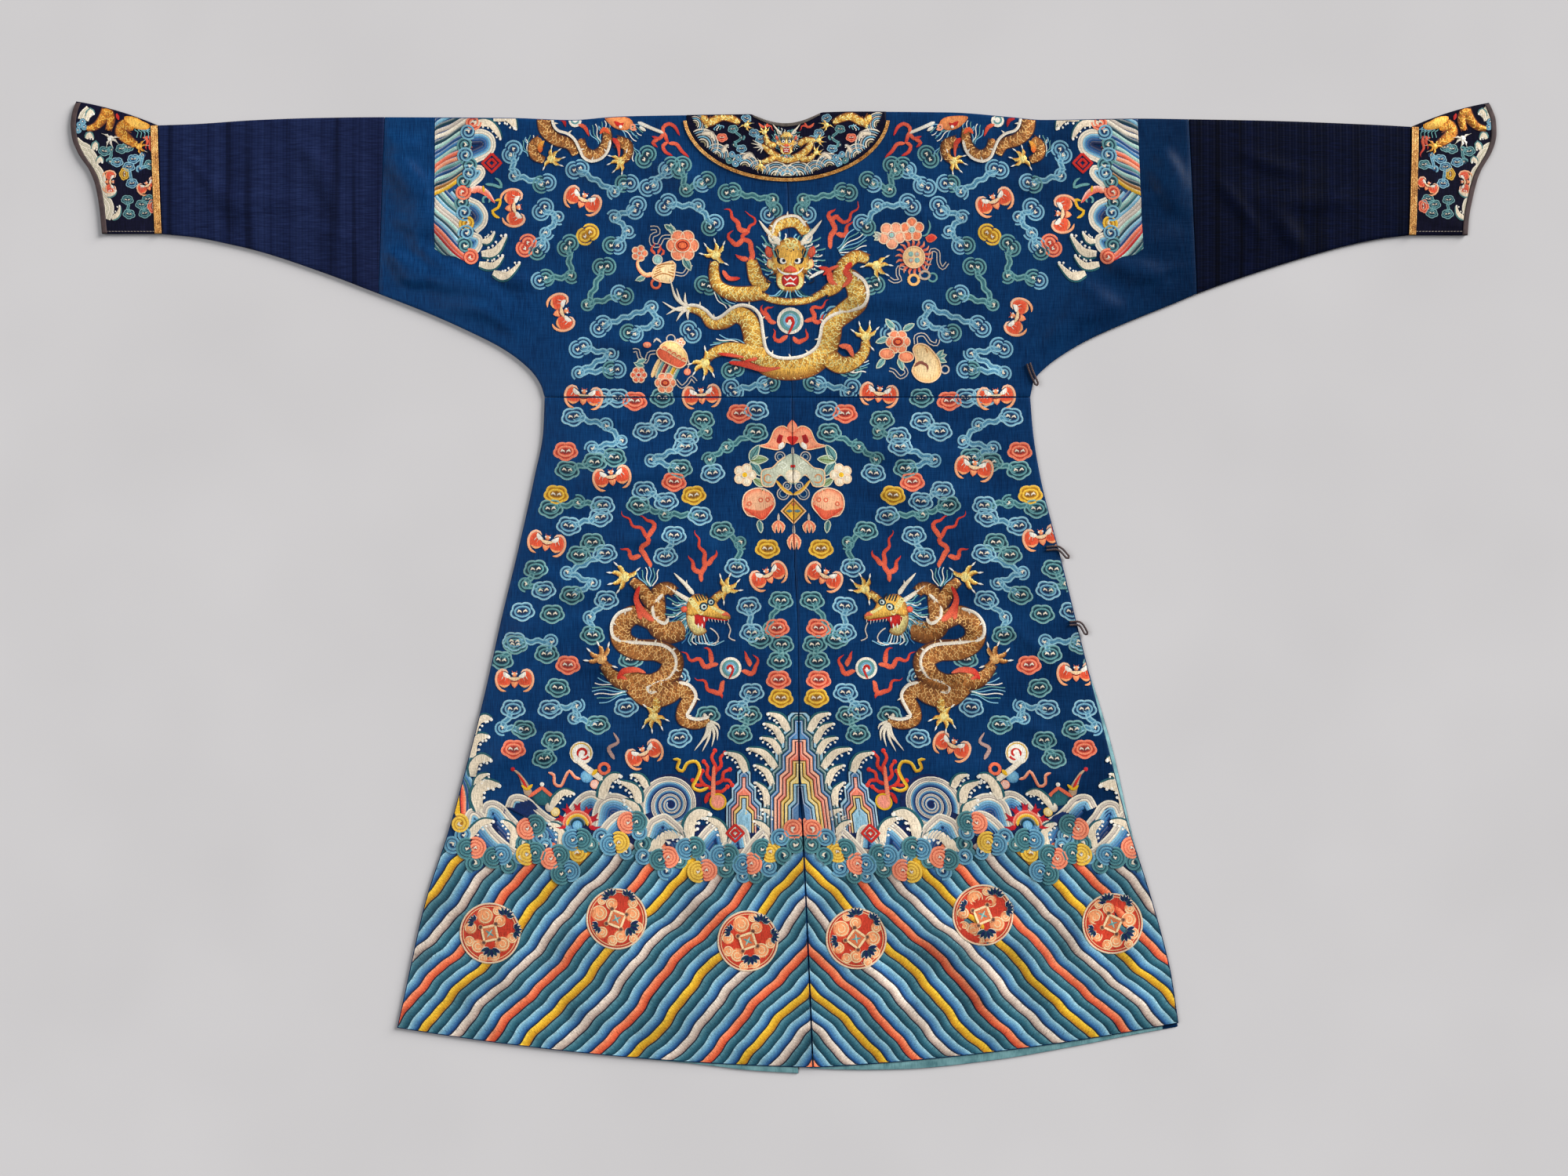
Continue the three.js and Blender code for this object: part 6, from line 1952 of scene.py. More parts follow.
# Shoulders, collar and cuffs
SHOULDER_BANDS = {
    "rising": [
        (142, 6, LIGHT_BLUE), (148, 6, BLUE), (154, 6, DEEP_BLUE), (160, 6, LIGHT_BLUE),
        (166, 6, DEEP_TEAL), (172, 6, GREY_CREAM), (178, 6, CREAM), (184, 6, DEEP_TEAL),
        (189.5, 5.5, MINT), (195, 5.5, DEEP_BLUE), (200.5, 6, BLUE), (206, 5.5, MINT),
        (212, 6.5, CORAL), (218, 6, PALE_CORAL), (223.5, 5.5, LIGHT_TEAL), (228.5, 5, DEEP_BLUE),
        (233.5, 5.5, MINT), (238.5, 5, DEEP_TEAL), (243, 5, light(170, 110, 40)),
        (248, 6.5, YELLOW),
    ],
    "falling": [
        (220, 6, DEEP_TEAL), (226, 6, LIGHT_BLUE), (232, 6, DEEP_BLUE), (238, 6, MINT),
        (244, 6, TEAL), (250, 6, LIGHT_BLUE), (256, 7, GREY_CREAM), (262, 6, GREY_CREAM),
        (268, 6, MINT), (273.5, 6, DEEP_TEAL), (279, 6, LIGHT_BLUE), (284.5, 6, DEEP_BLUE),
        (291, 7.5, CORAL), (297.5, 6.5, RED), (303, 6, MINT), (308.5, 6, DEEP_TEAL), (314, 6, TEAL),
        (320, 6, LIGHT_TEAL),
    ],
}
SHOULDER_HEADS = [
    ("coral", 604, 157), ("blue", 598, 169), ("teal", 594, 186), ("blue", 595, 199), ("teal", 600, 212),
    ("blue", 599, 222), ("teal", 592, 232), ("coral", 591, 246), ("teal", 590, 259), ("blue", 593, 272),
    ("yellow", 597, 286), ("blue", 596, 298), ("teal", 594, 314), ("coral", 601, 329),
]
SHOULDER_EDGE = 555.6
SHOULDER_END = 602
SHOULDER_TOP = 146
SHOULDER_SLOPES = {"falling": 0.97, "rising": -0.56}
SHOULDER_MEETING = 251
SHOULDER_FOOT = [(555, 318), (566, 326), (583, 329), (602, 338)]


def ruyi(needle, family, x, y, size):
    """One round head of a ruyi row."""
    rise = 0.6
    outer, inner, deep = CLOUDS[family]
    needle.disc(x, y, 10.8 * size, deep, lift=rise - 0.1, crown=0.1, sides=10)
    needle.ring(x, y, 10 * size, 3.5 * size, mix(outer, inner, 0.35), rise, 0.3, 0, 600, spread=-7 * size,
                sides=(mix(inner, deep, 0.35), outer))
    needle.disc(x, y, 2.2 * size, CREAM, WHITE, rise + 0.25, 0.35, sides=7)


def shoulder_cut(pixels):
    """Keeps the slanting bands between the sleeve seam and the border's lower edge."""
    x = np.maximum(pixels[:, 0], SHOULDER_EDGE)
    return np.column_stack([x, np.minimum(pixels[:, 1], np.interp(x, *np.array(SHOULDER_FOOT).T))])


def shoulder(needle):
    """The wave border on the upper sleeve: slanting bands, a row of heads, water and foam."""
    needle.cut = shoulder_cut
    for y in range(149, 340, 6):
        needle.stroke([(553, y), (SHOULDER_END, y)], 7, DEEP_BLUE, lift=0.1, crown=0.02, step=6)
    x = np.linspace(SHOULDER_EDGE - 6, SHOULDER_END, 15)
    inward = x - SHOULDER_EDGE
    meeting = SHOULDER_MEETING + SHOULDER_SLOPES["rising"] * inward
    for part, share, lift, top in (("falling", 0.74, 0.3, meeting), ("rising", 0.86, 0.36, SHOULDER_TOP)):
        for y, width, colour in SHOULDER_BANDS[part]:
            sway = 1.4 * np.sin(inward / 7 + y * 0.1)
            line = np.stack([x, y + SHOULDER_SLOPES[part] * inward + sway], -1)
            line = line[line[:, 1] > top]
            if len(line) > 2:
                needle.stroke(line, width * share, colour, crown=0.3, cap=False, exact=True,
                              sides=shaded(colour, 0.45, 0.4), lift=lift)
    needle.cut = None
    thin = [(3.2, CREAM), (3.2, CREAM), (2.8, LIGHT_BLUE), (3.0, BLUE), (3.4, DEEP_BLUE), (4, NAVY)]
    for points in ([(602, 166), (618, 166), (630, 174), (633, 188), (626, 200), (604, 211)],
                   [(606, 212), (615, 212), (620, 220), (616, 230), (602, 242)],
                   [(600, 252), (614, 259), (623, 273), (621, 288), (610, 299)],
                   [(602, 296), (614, 301), (617, 311), (612, 322), (602, 328)]):
        parallel_bands(needle, points, thin, 0.4)
    for points, width in (([(604, 158), (622, 157), (634, 166), (640, 178)], 9),
                          ([(630, 152), (648, 152), (658, 164)], 10),
                          ([(638, 149), (654, 150), (660, 166)], 7)):
        claw(needle, points, width, 1, 0.7)
    for points, width in (([(616, 309), (624, 308), (632, 298)], 8),
                          ([(615, 325), (632, 322), (647, 302)], 11),
                          ([(612, 338), (630, 340), (643, 328)], 10),
                          ([(630, 349), (646, 354), (664, 337)], 10)):
        claw(needle, points, width, -1, 0.7)
    for i, (family, x, y) in enumerate(SHOULDER_HEADS):
        scroll(needle, x, y, family, i * 47 % 360, 10.2, 0.85 + 0.2 * (i % 2))
    needle.stroke([(602, 246), (610, 242), (621, 247), (632, 260)], [7, 9, 7, 2], PALE_CORAL,
                  tip=light(214, 60, 50), sides=(light(236, 104, 84), light(255, 206, 190)), lift=0.8,
                  crown=0.4)
    needle.stroke([(617, 238), (618, 246)], [3.6, 3.6], YELLOW, lift=1.3)
    needle.stroke([(632, 257), (639, 256), (636, 266), (629, 270), (632, 276), (638, 279)], 3.6, YELLOW,
                  lift=0.7)
    needle.stroke([(620, 236), (630, 237), (640, 240), (638, 232), (632, 228)], [3.6, 3.6, 3.6, 3.2, 2.4],
                  LIGHT_TEAL, lift=0.7)
    needle.ring(621, 256, 4.4, 2.8, LIGHT_TEAL, 0.7, 0.2, 120, 290)
    lozenge(needle, 628, 209, 12, RED, 0.9)


def shoulder_dragon(needle):
    """The dragon that comes over the shoulder from the front."""
    brown, bright = BROWN_GOLD, BRIGHT_GOLD
    for root, tip in (((676, 200), (668, 178)), ((677, 190), (678, 172)), ((766, 184), (756, 158)),
                      ((776, 176), (768, 154)), ((792, 164), (816, 180)), ((800, 160), (822, 172)),
                      ((806, 186), (812, 208))):
        tuft(needle, root, tip, 4, 7, width=1.1, lift=0.5)
    scaled_body(needle, [(694, 148), (697, 167), (710, 179), (727, 185), (735, 199)], [18, 17, 15.5, 14, 8],
                brown, 0.5)
    scaled_body(needle, [(741, 178), (745, 193), (757, 200), (769, 194), (775, 180), (774, 164)],
                [9, 13, 14.5, 14, 12, 9], brown, 0.7)
    spines(needle, [(704, 148), (707, 161), (713, 168), (725, 172), (734, 180), (740, 192), (745, 202),
                    (755, 207), (768, 203), (776, 193), (779, 180)], -1, 3.6, 1.9)
    leg(needle, [(692, 180), (682, 187), (683, 199), (695, 206)], [15, 14, 12, 8], brown, 0.9)
    needle.stroke([(690, 196), (690, 187), (695, 181)], [6, 7, 3], light(236, 90, 40),
                  tip=light(250, 186, 70), lift=2.2)
    paw(needle, 704, 204, -12, bright, 0.86, 1.3)
    leg(needle, [(785, 181), (800, 186), (801, 199), (793, 207)], [15, 14, 11, 8], brown, 0.9)
    needle.stroke([(782, 178), (788, 184), (790, 194), (790, 202)], [7, 6, 3.4, 2], RED, tip=CORAL,
                  lift=2.2)
    paw(needle, 792, 207, 160, bright, 0.86, 1.3)
    needle.patch([(772, 150), (798, 150), (808, 158), (800, 167), (784, 164)], light(206, 112, 58),
                 light(240, 150, 90), 1.0, 0.5)
    needle.stroke([(766, 172), (771, 166), (778, 172)], [4, 6, 3], light(238, 96, 52), lift=2.0)
    needle.stroke([(784, 156), (791, 161), (796, 158)], [4, 6, 3], RED, lift=1.7)
    needle.disc(792, 163, 2.2, WHITE, WHITE, 2.0, 0.2, sides=7)
    needle.ring(808, 163, 4.4, 2.6, PALE_CORAL, 1.4, 0.2, 30, 420, spread=-3)
    needle.stroke([(712, 152), (719, 154), (722, 163)], [5, 5, 2], RED, tip=DEEP_RED, lift=0.7)
    needle.stroke([(738, 160), (746, 163), (752, 175)], [5, 5, 1.6], CORAL, tip=RED, lift=0.7)
    needle.disc(734, 155, 8.4, CREAM, WHITE, 0.6, 0.3)
    needle.ring(734, 154, 4.6, 2.2, LIGHT_TEAL, 0.95, 0.1, 0, 320)
    for branch in ([(814, 157), (830, 164), (847, 171)], [(816, 163), (824, 168)]):
        needle.stroke(branch, [5, 4.2, 4], WHITE, tip=CREAM, lift=0.7, crown=0.3)
    for branch in ([(847, 172), (846, 164), (853, 159), (861, 163), (867, 174)],
                   [(848, 170), (850, 178), (853, 184)], [(853, 182), (846, 187), (849, 195), (858, 200)],
                   [(853, 184), (863, 185), (870, 194), (879, 202)], [(847, 171), (841, 178), (832, 175)],
                   [(841, 178), (833, 183), (839, 189)]):
        needle.stroke(branch, [4.6, 4.8, 4.4, 2.4], CORAL, tip=light(196, 30, 40), lift=0.6, crown=0.35)


# How far the embroidery keeps inside the collar's and the cuffs' edges, in millimetres
COLLAR_INSET = {"ends": 3, "rim": 1, "depth": 2.2, "low": 2.5, "top": 1.2}
CUFF_INSET = {"foot": 2, "tip_y": 706, "braid": 0.6, "cord": 1.2, "top": 1.4}


def collar_bounds(x, y):
    """Keeps the collar's stitches on its band."""
    middle_x, middle_y = NECK_CENTRE
    reach = np.clip((middle_y - y) / (COLLAR["back_depth"] - COLLAR_INSET["depth"]), 0, 0.999)
    half = (COLLAR["half_width"] - COLLAR_INSET["ends"]) * np.sqrt(1 - reach**2)
    x = np.clip(x, middle_x - half, middle_x + half)
    across = (x - middle_x) / (COLLAR["half_width"] - COLLAR_INSET["rim"])
    depth = COLLAR["back_depth"] - COLLAR_INSET["low"]
    low = middle_y - depth * np.sqrt(np.maximum(1 - across**2, 0))
    return x, np.clip(y, low, top_at(x) - COLLAR_INSET["top"])


def on_collar(x, y):
    """The height of the collar's upper side."""
    return surface(x, y) + LAYER_GAP + BAND


def small_water(needle, x, y, r, turn):
    """Pale arcs of water in a fan."""
    colours = (CREAM, light(120, 160, 180), GREY_CREAM, LIGHT_BLUE, CREAM, light(150, 140, 110))
    for k, colour in enumerate(colours):
        needle.ring(x, y, r * (1 - 0.16 * k), r * 0.1, colour, 0.3, 0.2, turn - 80, 160)


def collar_half(needle):
    """Half of the collar's pattern; it is mirrored for the other half."""
    for x, y, r, turn in ((886, 160, 15, -30), (896, 186, 20, -45), (914, 200, 15, -55),
                          (950, 214, 17, -80), (968, 220, 14, -75), (990, 226, 18, -90),
                          (1004, 228, 16, -90)):
        small_water(needle, x, y, r, turn)
    for points, side in (([(896, 172), (908, 172), (912, 180)], 1),
                         ([(922, 196), (926, 188), (928, 186)], 1),
                         ([(948, 204), (956, 198), (962, 202)], 1)):
        claw(needle, points, 5.5, side, 0.5, GREY_CREAM, 2)
    for family, x, y in (("blue", 934, 198), ("blue", 942, 202), ("teal", 930, 206), ("blue", 938, 210)):
        ruyi(needle, family, x, y, 0.42)
    for family, heads in (("teal", [(935, 166), (946, 177), (936, 186), (946, 191)]),
                          ("blue", [(962, 171), (970, 179)])):
        cloud_chain(needle, family, heads, 0.42)
    cloud_head(needle, 921, 177, "coral", 0, 0.45)
    cloud_head(needle, 952, 152, "blue", 20, 0.42)
    gold = BRIGHT_GOLD
    scaled_body(needle, [(896, 148), (904, 158), (920, 150), (932, 152), (944, 158)], [8, 9, 10, 9, 6],
                gold, 0.5)
    paw(needle, 952, 161, 20, gold, 0.5, 0.8, CREAM)
    leg(needle, [(910, 152), (904, 160), (900, 163)], [8, 6, 4], gold)
    tuft(needle, (916, 160), (918, 168), 4, 6, width=1.0)
    for points in ([(968, 158), (976, 164), (984, 162), (988, 168)], [(976, 162), (982, 158)]):
        flame(needle, points, 3)


def collar_dragon(needle):
    """What the collar doesn't mirror: its middle dragon."""
    gold = BRIGHT_GOLD
    scaled_body(needle, [(972, 186), (984, 196), (998, 204), (1014, 203), (1028, 194), (1034, 184),
                         (1030, 178)], [4, 7, 9, 9, 9, 8, 7], gold, 0.5)
    for tip in ((958, 184), (961, 190), (966, 194), (970, 197), (960, 180)):
        needle.stroke([(974, 188), tip], [2.4, 0.8], CREAM, lift=0.8)
    leg(needle, [(990, 188), (980, 184), (976, 174)], [8, 7, 5], gold)
    paw(needle, 975, 170, -90, gold, 0.5, 0.9, CREAM)
    leg(needle, [(1018, 186), (1028, 180), (1040, 180)], [8, 7, 5], gold)
    paw(needle, 1044, 180, 10, gold, 0.5, 0.9, CREAM)
    leg(needle, [(990, 202), (980, 206), (972, 209)], [8, 7, 5], gold)
    paw(needle, 970, 213, 110, gold, 0.5, 0.9, CREAM)
    leg(needle, [(1020, 204), (1032, 204), (1038, 198)], [8, 7, 5], gold)
    paw(needle, 1041, 196, -30, gold, 0.5, 0.9, CREAM)
    front_face(needle, 1003, 184, gold, 0.44)
    pearl(needle, 1003, 201, 4.5)


def cuff_bounds(side):
    """Keeps a cuff's stitches between its braid and its piping."""
    sign = SIGN[side]

    def bounds(x, y):
        y = np.clip(y, CUFF_BOTTOM[side] + CUFF_INSET["foot"], CUFF_INSET["tip_y"])
        outer = cuff_edge_at[side](y) - sign * (CUFF_BINDING_WIDTH + CUFF_INSET["braid"])
        seam_top, seam_foot = CUFF_SEAM[side]
        seam = mix(seam_foot, seam_top,
                   (y - CUFF_BOTTOM[side]) / (shoulder_at(seam_top) - CUFF_BOTTOM[side]))
        inner = seam + sign * (2 * PIPING_WIDTH + CUFF_INSET["cord"])
        x = np.clip(x, np.minimum(outer, inner), np.maximum(outer, inner))
        tip_y, tip_x = CUFF_EDGE[side][-1]
        share = np.clip((x - tip_x) / (seam_top - tip_x), 0, 1)
        top = mix(tip_y, shoulder_at(seam_top), share) + CUFF_TOP_BOW * 4 * share * (1 - share)
        return x, np.minimum(y, top - CUFF_INSET["top"])

    return bounds


def cuff_needlework(needle):
    """Clouds, a dragon and water on the left cuff."""
    gold = (light(140, 70, 24), light(228, 146, 40), light(252, 196, 90))
    foam = [(2.6, CREAM), (2.2, light(214, 204, 176))] * 2 + [(2.6, CREAM), (2.2, CREAM)]
    for points in ([(101, 152), (104, 144), (112, 136)], [(101, 176), (108, 182), (116, 186), (122, 198)],
                   [(109, 188), (120, 192), (127, 204), (126, 216)],
                   [(121, 208), (130, 214), (136, 226), (136, 240)], [(131, 230), (138, 238), (139, 250)],
                   [(135, 246), (144, 256), (147, 268), (142, 282)]):
        parallel_bands(needle, points, foam, 0.3)
    for x, y in ((103, 160), (101, 167), (107, 156), (109, 163)):
        ruyi(needle, "blue", x, y, 0.4)
    for points, side in (([(112, 178), (116, 172), (121, 178)], 1),
                         ([(120, 192), (124, 184), (126, 192)], 1),
                         ([(126, 208), (130, 203), (133, 208)], 1),
                         ([(138, 250), (146, 248), (150, 245)], -1),
                         ([(144, 280), (152, 274), (155, 264)], -1),
                         ([(113, 150), (117, 142), (122, 146)], 1)):
        claw(needle, points, 6.5, side, 0.5, LIGHT_TEAL, 3)
    for family, heads in (("teal", [(135, 194), (144, 192), (142, 207), (151, 208)]),
                          ("teal", [(157, 191), (164, 189)]),
                          ("blue", [(172, 204), (184, 199), (180, 216), (193, 211)]),
                          ("blue", [(166, 214), (170, 235)]), ("teal", [(164, 256), (166, 274)]),
                          ("teal", [(182, 262), (186, 273)]), ("teal", [(190, 255)])):
        cloud_chain(needle, family, heads, 0.5)
    cloud_head(needle, 160, 223, "yellow", 90, 0.5)
    cloud_head(needle, 196, 264, "coral", 90, 0.55)
    for x in range(132, 207, 4):
        needle.stroke([(x, 295.8), (x + 2.6, 296.0)], 1.5, GREY_CREAM, lift=0.3)
    bat(needle, 142, 233, 90, 0.6)
    bat(needle, 190, 238, -30, 0.6)
    scaled_body(needle, [(138, 139), (133, 152), (124, 162), (112, 166)], [12, 12, 9, 6], gold, 0.5)
    scaled_body(needle, [(139, 139), (143, 154), (140, 168)], [9, 10, 7], gold, 0.6)
    paw(needle, 143, 178, 70, (GREY_CREAM, CREAM, WHITE), 0.62, 0.9, CREAM)
    scaled_body(needle, [(172, 166), (160, 160), (156, 170), (166, 180), (176, 186)], [10, 13, 14, 12, 7],
                gold, 0.6)
    paw(needle, 179, 188, 30, gold, 0.62, 1.0, CREAM)
    needle.patch([(160, 150), (172, 150), (184, 156), (192, 160), (190, 166), (178, 166), (164, 160)],
                 gold[1], gold[2], 0.8, 0.8, GOLD)
    needle.stroke([(150, 146), (153, 154)], [5, 4], RED, lift=0.8)
    for k in range(5):
        tuft(needle, (176 + k * 4, 164), (184 + k * 5, 176), 2, 5, width=1.0)
    for points in ([(186, 176), (190, 184), (188, 192)], [(192, 176), (194, 188), (196, 202)],
                   [(184, 176), (196, 178)]):
        flame(needle, points, 3.6)


# Where the cloud chains go on the left half of the upper back; the right half mirrors it.
# Each row is a family and its heads, in pixels.
UPPER_CLOUDS = [
    ("blue", [(654, 195), (656, 225), (695, 235)]), ("blue", [(737, 217), (784, 246), (800, 235)]),
    ("teal", [(824, 201)]), ("blue", [(830, 239), (854, 215)]),
    ("teal", [(869, 215), (875, 243), (899, 233)]), ("blue", [(850, 262), (891, 264), (909, 288)]),
    ("teal", [(931, 246), (986, 256), (984, 272)]),
    ("blue", [(693, 268), (713, 278), (697, 298), (688, 318)]), ("coral", [(672, 314)]),
    ("teal", [(725, 314), (729, 353), (693, 357)]), ("yellow", [(750, 300)]),
    ("blue", [(812, 266), (784, 278), (802, 296), (784, 314)]),
    ("teal", [(771, 341), (749, 389), (794, 377)]),
    ("blue", [(767, 417), (832, 393), (838, 413), (806, 426)]),
    ("blue", [(741, 444), (780, 452), (739, 476), (784, 472)]), ("teal", [(901, 365)]),
    ("blue", [(881, 424)]), ("teal", [(935, 472)]), ("blue", [(956, 405)]),
    ("blue", [(935, 498), (980, 490)]),
]
# Clouds on the left half of the skirt, above the waves
SKIRT_CLOUDS = [
    ("blue", [(732, 532), (774, 543), (794, 563), (756, 572), (784, 584)]),
    ("teal", [(759, 590), (724, 600)]), ("coral", [(722, 576)]), ("blue", [(845, 538), (823, 551)]),
    ("teal", [(896, 536), (902, 551), (876, 557)]), ("blue", [(874, 570), (831, 587), (868, 598)]),
    ("coral", [(860, 615)]), ("coral", [(943, 528)]),
    ("teal", [(964, 552), (927, 570), (905, 586), (909, 604)]), ("yellow", [(710, 631)]),
    ("teal", [(703, 649), (738, 641), (769, 645)]), ("blue", [(766, 660), (726, 671)]),
    ("blue", [(822, 626), (850, 640)]), ("teal", [(815, 645), (848, 656), (893, 658)]),
    ("yellow", [(885, 632)]), ("teal", [(756, 692), (739, 708)]),
    ("blue", [(772, 706), (724, 730), (757, 744), (730, 759)]), ("blue", [(860, 683), (849, 710)]),
    ("teal", [(921, 677), (945, 692), (940, 724)]), ("yellow", [(979, 700)]),
    ("teal", [(684, 726), (671, 745), (694, 753)]), ("blue", [(667, 780)]), ("teal", [(705, 783)]),
    ("blue", [(774, 765), (753, 787), (756, 810)]), ("blue", [(657, 818), (704, 818), (698, 834)]),
    ("coral", [(725, 848)]), ("teal", [(712, 877)]),
    ("blue", [(702, 904), (737, 900), (732, 915), (763, 924)]),
    ("blue", [(655, 904), (641, 928), (669, 930)]), ("teal", [(707, 944), (695, 967)]),
    ("coral", [(656, 955)]), ("blue", [(955, 773), (959, 807)]), ("teal", [(996, 766), (970, 815)]),
    ("coral", [(991, 801)]), ("teal", [(997, 822), (994, 843)]), ("coral", [(993, 867)]),
    ("yellow", [(996, 890)]), ("blue", [(959, 883), (941, 905)]), ("teal", [(956, 912), (944, 936)]),
    ("teal", [(805, 841)]), ("blue", [(865, 863)]), ("blue", [(799, 902)]), ("teal", [(903, 912)]),
    ("blue", [(867, 941)]), ("blue", [(767, 508), (788, 508)]), ("coral", [(810, 512)]),
    ("teal", [(845, 508)]), ("teal", [(658, 822), (640, 842)]), ("blue", [(965, 524)]),
]
# The row of small heads between the waves and the stripes: single curls, then curls in pairs
ROW_CURLS = [
    ("yellow", 737, 1087, 11), ("blue", 578, 1076, 11), ("teal", 607, 1100, 11.5), ("blue", 592, 1064, 10),
    ("teal", 649, 1103, 11.5), ("blue", 664, 1092, 10), ("teal", 669, 1074, 11.5), ("blue", 691, 1066, 12),
    ("blue", 697, 1078, 10), ("teal", 754, 1077, 11), ("blue", 768, 1066, 10), ("blue", 815, 1061, 11),
    ("teal", 819, 1076, 11), ("blue", 821, 1091, 11), ("blue", 799, 1086, 9), ("blue", 850, 1110, 10.5),
    ("teal", 867, 1098, 11), ("blue", 896, 1092, 11), ("teal", 925, 1107, 12.5), ("blue", 948, 1116, 9.5),
    ("teal", 963, 1116, 9.5), ("blue", 981, 1105, 12), ("teal", 1000, 1090, 11), ("blue", 996, 1068, 12),
    ("teal", 1014, 1076, 13), ("yellow", 587, 1050, 11.8), ("coral", 1012, 1056, 14),
]
ROW_PAIRS = [
    ("teal", "coral", 602, 1081, 0), ("teal", "blue", 635, 1091, -15), ("coral", "teal", 678.5, 1054, -18),
    ("yellow", "teal", 678, 1088, -5), ("teal", "blue", 722, 1112, -12),
    ("coral", "teal", 708.5, 1092, -18), ("blue", "teal", 736.7, 1070, 0), ("coral", "teal", 807, 1048, 0),
    ("blue", "yellow", 784.5, 1075, -10), ("teal", "coral", 847.4, 1094, -10),
    ("blue", "teal", 881, 1081, -5), ("yellow", "coral", 896, 1110, -5), ("blue", "teal", 924, 1090, 0),
    ("blue", "coral", 953, 1101, 0), ("teal", "yellow", 977.5, 1084, 20),
]
BATS = {
    "upper_left": [(656, 266, 84), (744, 256, 24), (717, 399, 74)],
    "upper_right": [(1268, 258, -24), (1355, 274, -84), (1297, 405, -74)],
    "skirt_left": [(745, 506, 6), (895, 505, -6), (781, 609, -10), (698, 692, 12), (980, 734, -25),
                   (657, 866, 0), (822, 961, -25)],
    "skirt_right": [(1121, 503, 8), (1270, 506, -6), (1242, 597, 10), (1328, 685, -12), (1051, 735, 25),
                    (1372, 858, 0), (1214, 951, 25)],
}
WAIST_ROW = PHOTO_CENTRE[1] - WAIST_Y / PIXEL
STRIPE = {"slant": 48, "pitch": 36.4, "yellow_at": 1281, "top_y": 1074}
# Where along a stripe its line is worked out, and how far it passes the cloth's edges before it is cut
STRIPE_RUN = {"first": -100, "last": 1600, "step": 5.0, "zero": 800}
STRIPE_PAST = {"hem": 8, "seam": 8, "side": 10}
# How far a stripe sways to the side, the length of each wave, and how it shifts from stripe to stripe
STRIPE_SWAYS = [(2.9, 171, 0.009), (1.2, 63, 0.017), (1.6, 318, 0.031), (0.5, 29, 0.05)]
# The first band's middle, upper and lower edge by turns: yellow, white, coral
STRIPE_ACCENTS = [
    (light(228, 172, 40), light(250, 210, 70), light(168, 108, 24)),
    (light(216, 196, 180), light(240, 228, 212), light(136, 112, 106)),
    (light(238, 112, 72), light(255, 160, 116), light(178, 54, 34)),
]
# The bands below it: where and how wide, with the same three colours
STRIPE_BANDS = [
    (6.0, 1.7, INK, INK, INK),
    (12.3, 11.4, light(44, 98, 116), light(92, 142, 152), light(8, 46, 64)),
    (21.8, 7.6, light(112, 166, 194), light(164, 206, 216), light(72, 124, 168)),
    (27.9, 5.4, light(36, 88, 144), light(72, 124, 168), light(6, 28, 76)),
    (30.9, 1.5, INK, INK, INK),
]
SILK_INSET = {"skirt": 1.5, "vent": 0.4, "seam": 2, "upper": 1.3}
ROUNDELS = {
    "left": [(626, 1189), (787, 1171), (954, 1199)],
    "right": [(1092, 1196), (1253, 1166), (1418, 1177)],
}
SKIRT_TOP = WAIST_Y - 1


def hem_row(side):
    """The photograph's row of the hem at a pixel column."""
    return lambda x: PHOTO_CENTRE[1] - hem_at(side, (x - PHOTO_CENTRE[0]) * PIXEL) / PIXEL


def skirt_bounds(side):
    """Keeps a skirt half's stitches inside its edges."""
    sign = SIGN[side]

    def bounds(x, y):
        y = np.clip(y, hem_at(side, x) + SILK_INSET["skirt"], SKIRT_TOP)
        opened = np.where(y < VENT["top_y"], VENT["gap"], SEAM)
        inner = back_middle_at(y) + sign * (opened / 2 + SILK_INSET["vent"])
        outer = side_at[side](y) - sign * SILK_INSET["skirt"]
        x = np.clip(x, np.minimum(inner, outer), np.maximum(inner, outer))
        return x, np.clip(y, hem_at(side, x) + SILK_INSET["skirt"], SKIRT_TOP)

    return bounds


def upper_bounds(x, y):
    """Keeps the upper back's stitches inside its edges."""
    x = np.clip(x, SLEEVE_SEAM["left"][0] + SILK_INSET["seam"],
                SLEEVE_SEAM["right"][0] - SILK_INSET["seam"])
    left, right = UNDERARM["left"][-1][0], UNDERARM["right"][0][0]
    foot = np.where(x > right, underarm_at["right"](x), WAIST_Y)
    foot = np.where(x < left, underarm_at["left"](x), foot)
    return x, np.clip(y, foot + SILK_INSET["upper"], top_at(x) - SILK_INSET["upper"])


